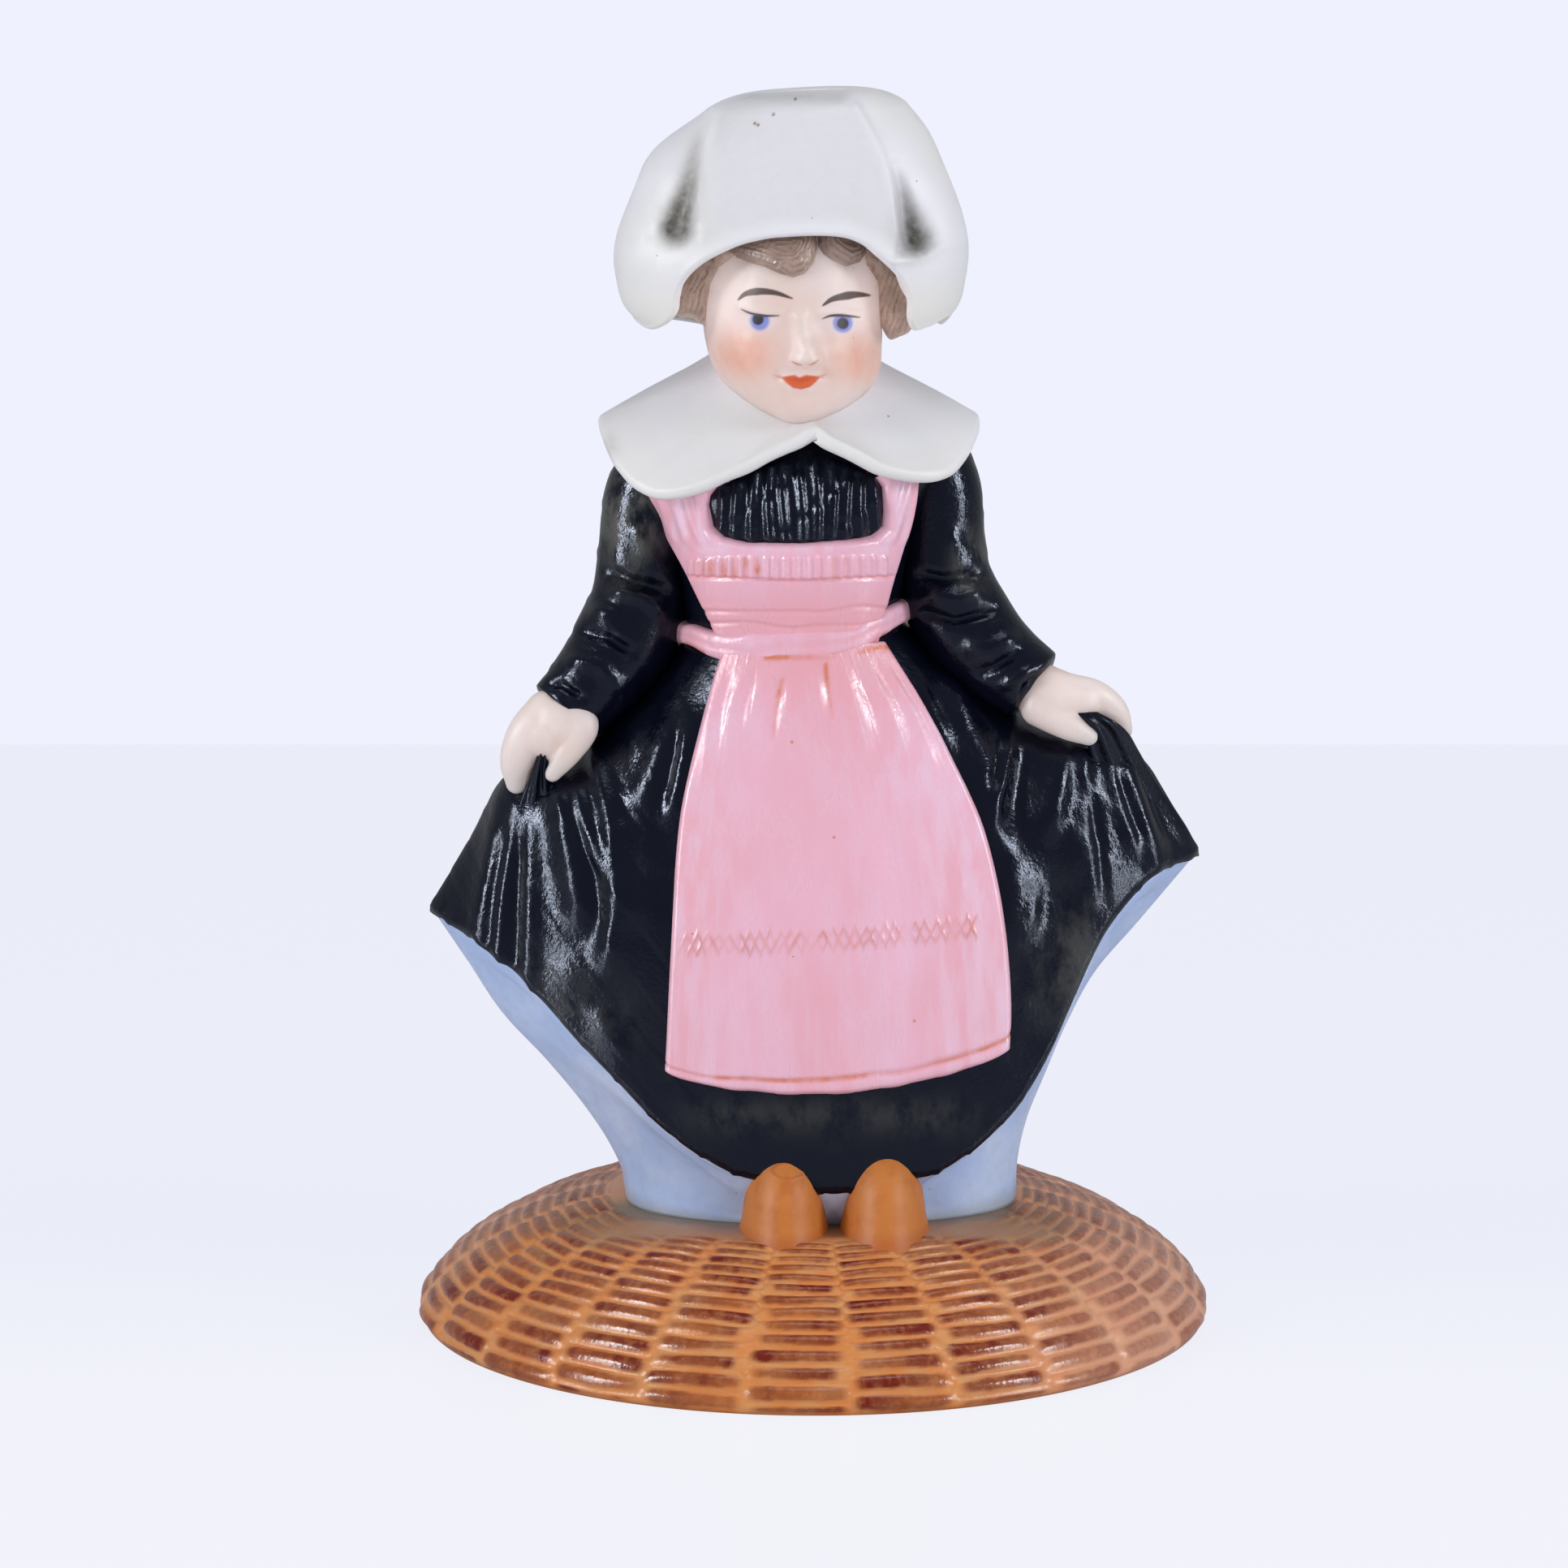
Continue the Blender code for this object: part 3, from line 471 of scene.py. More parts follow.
def mesh_of(name: str, skins: Sequence[Skin]) -> Piece:
    """One object from closed skins, each turned outwards by the sign of its volume.

    Args:
        name: name of the piece.
        skins: surfaces that belong to the piece.
    Returns:
        The linked object, smooth shaded, at the origin.
    """
    points: List[Array] = []
    quads: List[Array] = []
    tris: List[Array] = []
    shift = 0
    for skin in skins:
        here = skin.points()
        four, three = skin.faces()
        fans = np.concatenate([four[:, [0, 1, 2]], four[:, [0, 2, 3]], three])
        centred = here - here.mean(0)
        a, b, c = centred[fans[:, 0]], centred[fans[:, 1]], centred[fans[:, 2]]
        if (a * np.cross(b, c)).sum() < 0.0:
            four, three = four[:, ::-1], three[:, ::-1]
        points.append(here)
        quads.append(four + shift)
        tris.append(three + shift)
        shift += len(here)
    place = np.concatenate(points) * MM
    four, three = np.concatenate(quads), np.concatenate(tris)
    mesh = bpy.data.meshes.new(name)
    mesh.vertices.add(len(place))
    mesh.vertices.foreach_set("co", place.astype(np.float32).ravel())
    corners = np.concatenate([four.ravel(), three.ravel()]).astype(np.int32)
    sizes = np.concatenate([np.full(len(four), 4), np.full(len(three), 3)]).astype(np.int32)
    starts = np.concatenate([[0], np.cumsum(sizes)[:-1]]).astype(np.int32)
    mesh.loops.add(len(corners))
    mesh.loops.foreach_set("vertex_index", corners)
    mesh.polygons.add(len(sizes))
    mesh.polygons.foreach_set("loop_start", starts)
    mesh.polygons.foreach_set("loop_total", sizes)
    mesh.polygons.foreach_set("use_smooth", np.ones(len(sizes), dtype=bool))
    for mark in sorted({key for skin in skins for key in skin.marks}):
        values = np.concatenate([skin.values(mark) for skin in skins]).astype(np.float32)
        mesh.attributes.new(mark, 'FLOAT', 'POINT').data.foreach_set("value", values)
    mesh.update(calc_edges=True)
    mesh.validate()
    made = bpy.data.objects.new(name, mesh)
    bpy.context.collection.objects.link(made)
    return made


def tube(path: Array, wide: Array, deep: Array, around: int = 48, cap: float = 1.0) -> Skin:
    """Tube of oval rings square to a path, with rounded ends.

    Args:
        path: points of the path.
        wide: radius across the view at each point.
        deep: radius along the view at each point.
        around: points in each ring.
        cap: length of the rounded ends in radii.
    Returns:
        The closed skin.
    """
    ahead = np.gradient(path, axis=0)
    ahead /= np.linalg.norm(ahead, axis=1, keepdims=True)
    steps = np.radians(np.linspace(10.0, 80.0, 6))
    out = cap * np.cos(steps)[:, None]
    first = path[0] - ahead[0] * wide[0] * out
    final = path[-1] + ahead[-1] * wide[-1] * out[::-1]
    places = np.concatenate([first, path, final])
    turns = np.concatenate([np.tile(ahead[0], (6, 1)), ahead, np.tile(ahead[-1], (6, 1))])
    shrink = np.sin(steps)
    width = np.concatenate([shrink * wide[0], wide, shrink[::-1] * wide[-1]])
    depth = np.concatenate([shrink * deep[0], deep, shrink[::-1] * deep[-1]])
    back = np.array([0.0, 1.0, 0.0]) - turns * turns[:, 1:2]
    back /= np.linalg.norm(back, axis=1, keepdims=True)
    across = np.cross(turns, back)
    angle = np.linspace(0.0, 2.0 * math.pi, around, endpoint=False)
    ring = np.cos(angle)[None, :, None] * (across * width[:, None])[:, None, :]
    ring = ring + np.sin(angle)[None, :, None] * (back * depth[:, None])[:, None, :]
    return Skin(places[:, None, :] + ring)


def dress(piece: Piece, material: Paint, slot: str, *nodes: str) -> Piece:
    """Give a piece its finish, let it ride on the figurine and stand for its CAD nodes.

    Args:
        piece: object with its mesh.
        material: what it is painted with.
        slot: name of the material slot; not used.
        nodes: CAD nodes that it stands for.
    Returns:
        The same piece.
    """
    piece.data.materials.append(material)
    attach(piece, "root")
    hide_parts(*nodes)
    return piece


# Finishes


class Recipe:
    """Material under construction, with short calls for the nodes that the finishes share."""

    def __init__(self, name: str) -> None:
        """Start a material with its shader.

        Args:
            name: name of the material.
        """
        self.material = bpy.data.materials.new(name)
        self.material.use_nodes = True
        self.tree = self.material.node_tree
        self.shader = self.tree.nodes["Principled BSDF"]
        self.coordinates = self.tree.nodes.new("ShaderNodeTexCoord").outputs["Object"]

    def set(self, socket: Socket, value: object) -> None:
        """Link a socket or write a plain value.

        Args:
            socket: input to fill.
            value: socket to link, or a plain value.
        """
        if isinstance(value, Socket):
            self.tree.links.new(value, socket)
        else:
            socket.default_value = value

    def shade(self, **values: object) -> None:
        """Set sockets of the shader; underscores stand for spaces."""
        for name, value in values.items():
            self.set(self.shader.inputs[name.replace("_", " ")], value)

    def mark(self, name: str) -> Socket:
        """A value that the mesh carries.

        Args:
            name: name of the mark.
        Returns:
            The value at each place.
        """
        node = self.tree.nodes.new("ShaderNodeAttribute")
        node.attribute_name = name
        return node.outputs["Fac"]

    def noise(self, scale: float, detail: float, rough: float = 0.55,
              stretch: Triple = (1.0, 1.0, 1.0)) -> Socket:
        """Soft noise on the object, scale in bumps per millimetre.

        Args:
            scale: bumps in a millimetre.
            detail: octaves of finer bumps.
            rough: weight of the finer bumps.
            stretch: factors on the scale along x, y and z.
        Returns:
            Noise from 0 to 1.
        """
        turn = self.tree.nodes.new("ShaderNodeMapping")
        self.set(turn.inputs["Vector"], self.coordinates)
        turn.inputs["Scale"].default_value = tuple(scale * s / MM for s in stretch)
        node = self.tree.nodes.new("ShaderNodeTexNoise")
        self.set(node.inputs["Vector"], turn.outputs["Vector"])
        node.inputs["Scale"].default_value = 1.0
        node.inputs["Detail"].default_value = detail
        node.inputs["Roughness"].default_value = rough
        return node.outputs["Fac"]

    def span(self, value: object, start: float, end: float, low: float = 0.0, high: float = 1.0) -> Socket:
        """Smooth step of a value from start to end, between low and high.

        Args:
            value: value to read.
            start: where the step begins.
            end: where it ends.
            low: result before it.
            high: result past it.
        Returns:
            The stepped value.
        """
        node = self.tree.nodes.new("ShaderNodeMapRange")
        node.interpolation_type = 'SMOOTHSTEP'
        for name, number in (("From Min", start), ("From Max", end), ("To Min", low), ("To Max", high)):
            node.inputs[name].default_value = number
        self.set(node.inputs["Value"], value)
        return node.outputs["Result"]

    def math(self, operation: str, first: object, second: object) -> Socket:
        """Two values worked together.

        Args:
            operation: what is done with them.
            first: first value.
            second: second value.
        Returns:
            The result.
        """
        node = self.tree.nodes.new("ShaderNodeMath")
        node.operation = operation
        self.set(node.inputs[0], first)
        self.set(node.inputs[1], second)
        return node.outputs["Value"]

    def mix(self, mask: object, under: object, over: object) -> Socket:
        """Colour over laid on colour under by a mask.

        Args:
            mask: share of the upper colour.
            under: lower colour.
            over: upper colour.
        Returns:
            The mixed colour.
        """
        node = self.tree.nodes.new("ShaderNodeMix")
        node.data_type = 'RGBA'
        self.set(node.inputs["Factor"], mask)
        self.set(node.inputs[6], under)
        self.set(node.inputs[7], over)
        return node.outputs[2]

    def group(self, tree: bpy.types.NodeTree, output: str, **values: object) -> Socket:
        """A shared effect with its inputs set.

        Args:
            tree: group to place.
            output: name of the output to read.
            values: inputs by name.
        Returns:
            That output.
        """
        node = self.tree.nodes.new("ShaderNodeGroup")
        node.node_tree = tree
        for name, value in values.items():
            self.set(node.inputs[name], value)
        return node.outputs[output]

    def lay(self, under: object, paint: Colour, mask: object, share: object = None) -> Socket:
        """Paint laid on a colour by a mask, or by a share of the mask."""
        both = mask if share is None else self.math('MULTIPLY', mask, share)
        return self.mix(both, under, srgb(*paint))

    def specks(self, scale: float, size: float) -> Socket:
        """Mask of kiln specks."""
        return self.group(EFFECTS.specks, "Mask", Scale=scale, Size=size)

    def paint_glow(self, colour: object, strength: float) -> None:
        """Painted light: emission by the mark glow, standing in for light that seeps through the bisque into
        shaded places.
        """
        lit = self.mix(self.mark("glow"), srgb(0, 0, 0), colour)
        self.shade(Emission_Color=lit, Emission_Strength=strength)

    def grain(self, strength: float, scale: float) -> None:
        """Press the grain of fired paint into the surface."""
        self.shade(Normal=self.group(EFFECTS.grain, "Normal", Strength=strength, Scale=scale))


class Effects:
    """Effects that several finishes share, each built once as a node group."""

    def __init__(self) -> None:
        """Build the groups."""
        self.specks = self._specks()
        self.grain = self._grain()

    @staticmethod
    def _start(name: str, inputs: Dict[str, float], output: str, kind: str) -> bpy.types.NodeTree:
        """New group with its sockets.

        Args:
            name: name of the group.
            inputs: defaults of its inputs by name.
            output: name of its output.
            kind: type of its output.
        Returns:
            The group with its two end nodes.
        """
        tree = bpy.data.node_groups.new(name, "ShaderNodeTree")
        for key, default in inputs.items():
            socket = tree.interface.new_socket(key, in_out='INPUT', socket_type="NodeSocketFloat")
            socket.default_value = default
        tree.interface.new_socket(output, in_out='OUTPUT', socket_type=kind)
        tree.nodes.new("NodeGroupInput")
        tree.nodes.new("NodeGroupOutput")
        return tree

    def _specks(self) -> bpy.types.NodeTree:
        """Kiln specks: small round cells, of which only a few are kept.

        Returns:
            The group, which puts out a mask.
        """
        tree = self._start("kiln_specks", {"Scale": 900.0, "Size": 0.12}, "Mask", "NodeSocketFloat")
        source, drain = tree.nodes["Group Input"], tree.nodes["Group Output"]
        place = tree.nodes.new("ShaderNodeTexCoord")
        cells = tree.nodes.new("ShaderNodeTexVoronoi")
        pick = tree.nodes.new("ShaderNodeSeparateColor")
        near, few, both = (tree.nodes.new("ShaderNodeMath") for _ in range(3))
        for node, operation in ((near, 'LESS_THAN'), (few, 'GREATER_THAN'), (both, 'MULTIPLY')):
            node.operation = operation
        few.inputs[1].default_value = 0.86
        for output, socket in (
            (place.outputs["Object"], cells.inputs["Vector"]),
            (source.outputs["Scale"], cells.inputs["Scale"]),
            (cells.outputs["Distance"], near.inputs[0]),
            (source.outputs["Size"], near.inputs[1]),
            (cells.outputs["Color"], pick.inputs["Color"]),
            (pick.outputs["Red"], few.inputs[0]),
            (near.outputs["Value"], both.inputs[0]),
            (few.outputs["Value"], both.inputs[1]),
            (both.outputs["Value"], drain.inputs["Mask"]),
        ):
            tree.links.new(output, socket)
        return tree

    def _grain(self) -> bpy.types.NodeTree:
        """Grain of fired paint: noise pressed into the normal.

        Returns:
            The group, which puts out a normal.
        """
        tree = self._start("fired_grain", {"Strength": 0.2, "Scale": 2500.0}, "Normal", "NodeSocketVector")
        source, drain = tree.nodes["Group Input"], tree.nodes["Group Output"]
        place = tree.nodes.new("ShaderNodeTexCoord")
        noise = tree.nodes.new("ShaderNodeTexNoise")
        noise.inputs["Detail"].default_value = 2.0
        noise.inputs["Roughness"].default_value = 0.6
        bump = tree.nodes.new("ShaderNodeBump")
        bump.inputs["Distance"].default_value = 0.0002
        for output, socket in (
            (place.outputs["Object"], noise.inputs["Vector"]),
            (source.outputs["Scale"], noise.inputs["Scale"]),
            (noise.outputs["Fac"], bump.inputs["Height"]),
            (source.outputs["Strength"], bump.inputs["Strength"]),
            (bump.outputs["Normal"], drain.inputs["Normal"]),
        ):
            tree.links.new(output, socket)
        return tree


EFFECTS = Effects()


@dataclass(frozen=True)
class Finish:
    """Painted or bare bisque: the name of its slot and the colours its material is mixed from."""

    slot: str

    def start(self) -> Recipe:
        """New material for this finish."""
        return Recipe(self.slot + "_look")

    def material(self) -> Paint:
        """Mix the material."""
        return self.start().material


def finished(name: str, skins: Sequence[Skin], finish: Finish, *nodes: str) -> Piece:
    """Piece of closed skins in a finish.

    Args:
        name: name of the piece.
        skins: surfaces that belong to it.
        finish: what it is painted with.
        nodes: CAD nodes that it stands for.
    Returns:
        The dressed piece.
    """
    return dress(mesh_of(name, skins), finish.material(), finish.slot, *nodes)


@dataclass(frozen=True)
class WhiteBisque(Finish):
    """Unpainted white bisque with painted shade and grime in its hollows, a painted warm glow low on the
    bonnet and a few kiln specks.
    """

    slot: str = "bisque_white"
    base: Colour = (230, 230, 236)
    # warm tint: a random drift, and low on the bonnet a painted glow
    warm: Colour = (226, 225, 216)
    # colour of the painted shade and grime
    grime: Colour = (86, 82, 74)
    speck: Colour = (132, 98, 78)

    def material(self) -> Paint:
        """White with a faint warm drift, darker by the mark of painted shade and grime.

        Returns:
            The mixed material.
        """
        r = self.start()
        drift = r.span(r.noise(0.06, 2.0), 0.42, 0.62)
        # the greater of a random warm drift and the warm mark, which low on the bonnet is a painted glow
        warm = r.math('MAXIMUM', r.math('MULTIPLY', drift, 0.35), r.mark("warm"))
        colour = r.lay(srgb(*self.base), self.warm, warm)
        cloud = r.span(r.noise(0.9, 4.0), 0.25, 0.75, 0.85, 1.1)
        # painted shade in the hollows, with grime, by its mark
        colour = r.lay(colour, self.grime, r.mark("grime"), cloud)
        spots = r.math('MAXIMUM', r.math('MULTIPLY', r.specks(330.0, 0.06), 0.55), r.mark("spot"))
        colour = r.lay(colour, self.speck, spots)
        r.shade(Base_Color=colour, Roughness=r.span(r.noise(0.4, 3.0), 0.3, 0.7, 0.4, 0.55))
        r.shade(Subsurface_Weight=0.12, Subsurface_Scale=0.0015, Subsurface_Radius=(1.0, 0.9, 0.7))
        r.shade(Specular_IOR_Level=0.35)
        r.grain(0.12, 2600.0)
        return r.material


@dataclass(frozen=True)
class PaintedSkin(Finish):
    """Flesh-tinted bisque with the painted face laid on by marks."""

    slot: str = "bisque_skin"
    base: Colour = (234, 217, 213)
    shade: Colour = (230, 205, 193)
    blush: Colour = (228, 156, 128)
    brow: Colour = (92, 74, 70)
    lid: Colour = (84, 76, 84)
    white: Colour = (236, 228, 232)
    iris: Colour = (126, 138, 216)
    pupil: Colour = (40, 38, 52)
    lip: Colour = (216, 94, 42)
    line: Colour = (196, 130, 106)

    def material(self) -> Paint:
        """Flesh, then blush, eyes, brows and lips as painted; a painted glow lights the temples where the
        mark glow is high.

        Returns:
            The mixed material.
        """
        r = self.start()
        drift = r.span(r.noise(0.12, 3.0), 0.4, 0.65)
        colour = r.lay(srgb(*self.base), self.shade, drift, 0.5)
        cloud = r.span(r.noise(0.5, 4.0), 0.25, 0.75, 0.75, 1.1)
        colour = r.lay(colour, self.blush, r.mark("blush"), cloud)
        for name in ("white", "iris", "pupil", "lip", "line", "lid", "brow"):
            colour = r.lay(colour, getattr(self, name), r.mark(name))
        colour = r.lay(colour, self.line, r.specks(420.0, 0.06), 0.4)
        r.shade(Base_Color=colour, Roughness=r.span(r.noise(0.5, 3.0), 0.3, 0.7, 0.4, 0.52))
        r.shade(Subsurface_Weight=0.6, Subsurface_Scale=0.006, Subsurface_Radius=(1.0, 0.85, 0.8))
        r.shade(Specular_IOR_Level=0.35)
        # painted light: the temples glow where the bonnet shades them
        r.paint_glow(colour, 0.24)
        r.grain(0.1, 2600.0)
        return r.material


@dataclass(frozen=True)
class PaintedHair(Finish):
    """Brown painted hair, darker between its strands."""

    slot: str = "hair_brown"
    base: Colour = (170, 146, 134)
    deep: Colour = (104, 76, 64)

    def material(self) -> Paint:
        """Brown by strand, with uneven brush cover; a painted glow lights the hair where the mark glow is
        high.

        Returns:
            The mixed material.
        """
        r = self.start()
        cover = r.span(r.noise(0.7, 4.0), 0.3, 0.7)
        lump = r.span(r.noise(0.35, 3.0), 0.42, 0.64, 0.0, 0.4)
        line = r.math('MULTIPLY', r.mark("strand"), r.span(cover, 0.0, 1.0, 0.1, 0.75))
        colour = r.lay(srgb(*self.base), self.deep, r.math('MAXIMUM', lump, line))
        r.shade(Base_Color=colour, Roughness=r.span(cover, 0.0, 1.0, 0.2, 0.36))
        # painted light: the hair glows where the bonnet shades it
        r.paint_glow(colour, 0.34)
        r.grain(0.5, 1100.0)
        return r.material


@dataclass(frozen=True)
class BlackDress(Finish):
    """Bluish black painted bisque, thin and grey where the brush ran dry, sparkling on its folds."""

    slot: str = "dress_black"
    base: Colour = (7, 10, 24)
    thin: Colour = (100, 100, 94)
    sheen: Colour = (220, 232, 255)

    def material(self) -> Paint:
        """Black with thin patches by noise and by the mark thin.

        Returns:
            The mixed material.
        """
        r = self.start()
        patch = r.span(r.noise(0.11, 4.0, 0.6), 0.56, 0.78)
        thin = r.math('MAXIMUM', r.math('MULTIPLY', patch, 0.12), r.mark("thin"))
        streak = r.span(r.noise(0.3, 4.0, 0.62, (1.0, 1.0, 0.6)), 0.36, 0.6)
        colour = r.lay(srgb(*self.base), self.thin, thin, streak)
        r.shade(Base_Color=colour, Roughness=r.span(r.noise(0.35, 4.0), 0.3, 0.7, 0.13, 0.27))
        r.shade(Specular_IOR_Level=0.3, Specular_Tint=srgb(*self.sheen))
        r.grain(0.36, 1800.0)
        return r.material


@dataclass(frozen=True)
class PinkApron(Finish):
    """Pink painted bisque: streaked downwards, salmon painted shade in the creases and under the waistband,
    orange on the stitches.
    """

    slot: str = "apron_pink"
    base: Colour = (238, 184, 206)
    pale: Colour = (238, 206, 228)
    salmon: Colour = (234, 164, 174)
    accent: Colour = (212, 116, 58)

    def material(self) -> Paint:
        """Pink washed in upright streaks, salmon by the mark deep, which holds painted shade and the
        stitches' salmon, and orange by the mark accent.

        Returns:
            The mixed material.
        """
        r = self.start()
        streak = r.span(r.noise(0.55, 3.0, 0.55, (1.0, 1.0, 0.08)), 0.36, 0.68)
        wash = r.span(r.noise(0.09, 3.0, 0.5, (1.0, 1.0, 0.45)), 0.36, 0.66)
        colour = r.lay(srgb(*self.base), self.salmon, wash, 0.5)
        colour = r.lay(colour, self.pale, streak, r.mark("pale"))
        # painted shade in creases and under the waistband, with the stitches' salmon, by the mark deep
        colour = r.lay(colour, self.salmon, r.mark("deep"))
        broken = r.span(r.noise(0.45, 4.0), 0.36, 0.62, 0.45, 1.0)
        colour = r.lay(colour, self.accent, r.mark("accent"), broken)
        colour = r.lay(colour, self.accent, r.specks(420.0, 0.09), 0.7)
        r.shade(Base_Color=colour, Roughness=r.span(streak, 0.0, 1.0, 0.36, 0.26))
        r.grain(0.3, 1400.0)
        return r.material


@dataclass(frozen=True)
class BluePetticoat(Finish):
    """Pale blue painted bisque, lighter where the wash ran thin."""

    slot: str = "petticoat_blue"
    base: Colour = (166, 188, 230)
    pale: Colour = (202, 215, 240)
    soil: Colour = (150, 154, 160)
    speck: Colour = (70, 70, 80)

    def material(self) -> Paint:
        """Blue wash with soft drift, grey mottling, and darker grey towards the foot by its mark.

        Returns:
            The mixed material.
        """
        r = self.start()
        drift = r.span(r.noise(0.08, 3.0), 0.38, 0.68)
        colour = r.lay(srgb(*self.base), self.pale, drift, 0.6)
        colour = r.lay(colour, self.soil, r.span(r.noise(0.7, 4.0), 0.4, 0.75), 0.18)
        colour = r.lay(colour, self.soil, r.mark("soil"))
        colour = r.lay(colour, self.speck, r.specks(430.0, 0.06), 0.5)
        r.shade(Base_Color=colour, Roughness=0.42)
        r.grain(0.14, 2200.0)
        return r.material


@dataclass(frozen=True)
class PaintedBasket(Finish):
    """Ochre basket-moulded bisque with a brown dash brushed along every bar."""

    slot: str = "basket_ochre"
    base: Colour = (213, 133, 70)
    light: Colour = (212, 148, 92)
    brown: Colour = (112, 24, 3)
    ledge: Colour = (138, 114, 88)
    # paler tint of the painted sheen
    sheen_colour: Colour = (228, 180, 160)

    def material(self) -> Paint:
        """Ochre with a painted sheen at the back and on her left, then brown dashes with broken edges, and a
        grey-brown ledge round the foot.

        Returns:
            The mixed material.
        """
        r = self.start()
        drift = r.span(r.noise(0.25, 4.0), 0.36, 0.66)
        colour = r.lay(srgb(*self.base), self.light, drift)
        # painted sheen: paler at the back and on her left, where light glances off the glaze
        colour = r.lay(colour, self.sheen_colour, r.mark("veil"), 0.66)
        colour = r.lay(colour, self.ledge, r.mark("ledge"))
        broken = r.span(r.noise(1.0, 4.0), 0.25, 0.6, 0.7, 1.0)
        dash = r.math('MULTIPLY', r.mark("dash"), broken)
        colour = r.lay(colour, self.brown, dash)
        r.shade(Base_Color=colour, Roughness=r.span(dash, 0.0, 0.8, 0.36, 0.22), Specular_IOR_Level=0.4)
        r.grain(0.28, 1600.0)
        return r.material


@dataclass(frozen=True)
class ClogPaint(Finish):
    """Ochre painted clog with a redder sole line."""

    slot: str = "clog_ochre"
    base: Colour = (199, 121, 54)
    red: Colour = (174, 86, 34)

    def material(self) -> Paint:
        """Ochre with blotches and a warm rim by the mark rim.

        Returns:
            The mixed material.
        """
        r = self.start()
        blotch = r.math('MULTIPLY', r.span(r.noise(0.35, 4.0), 0.45, 0.72), 0.5)
        colour = r.lay(srgb(*self.base), self.red, r.math('MAXIMUM', blotch, r.mark("rim")))
        r.shade(Base_Color=colour, Roughness=0.52, Specular_IOR_Level=0.3)
        r.grain(0.22, 1600.0)
        return r.material


# Base


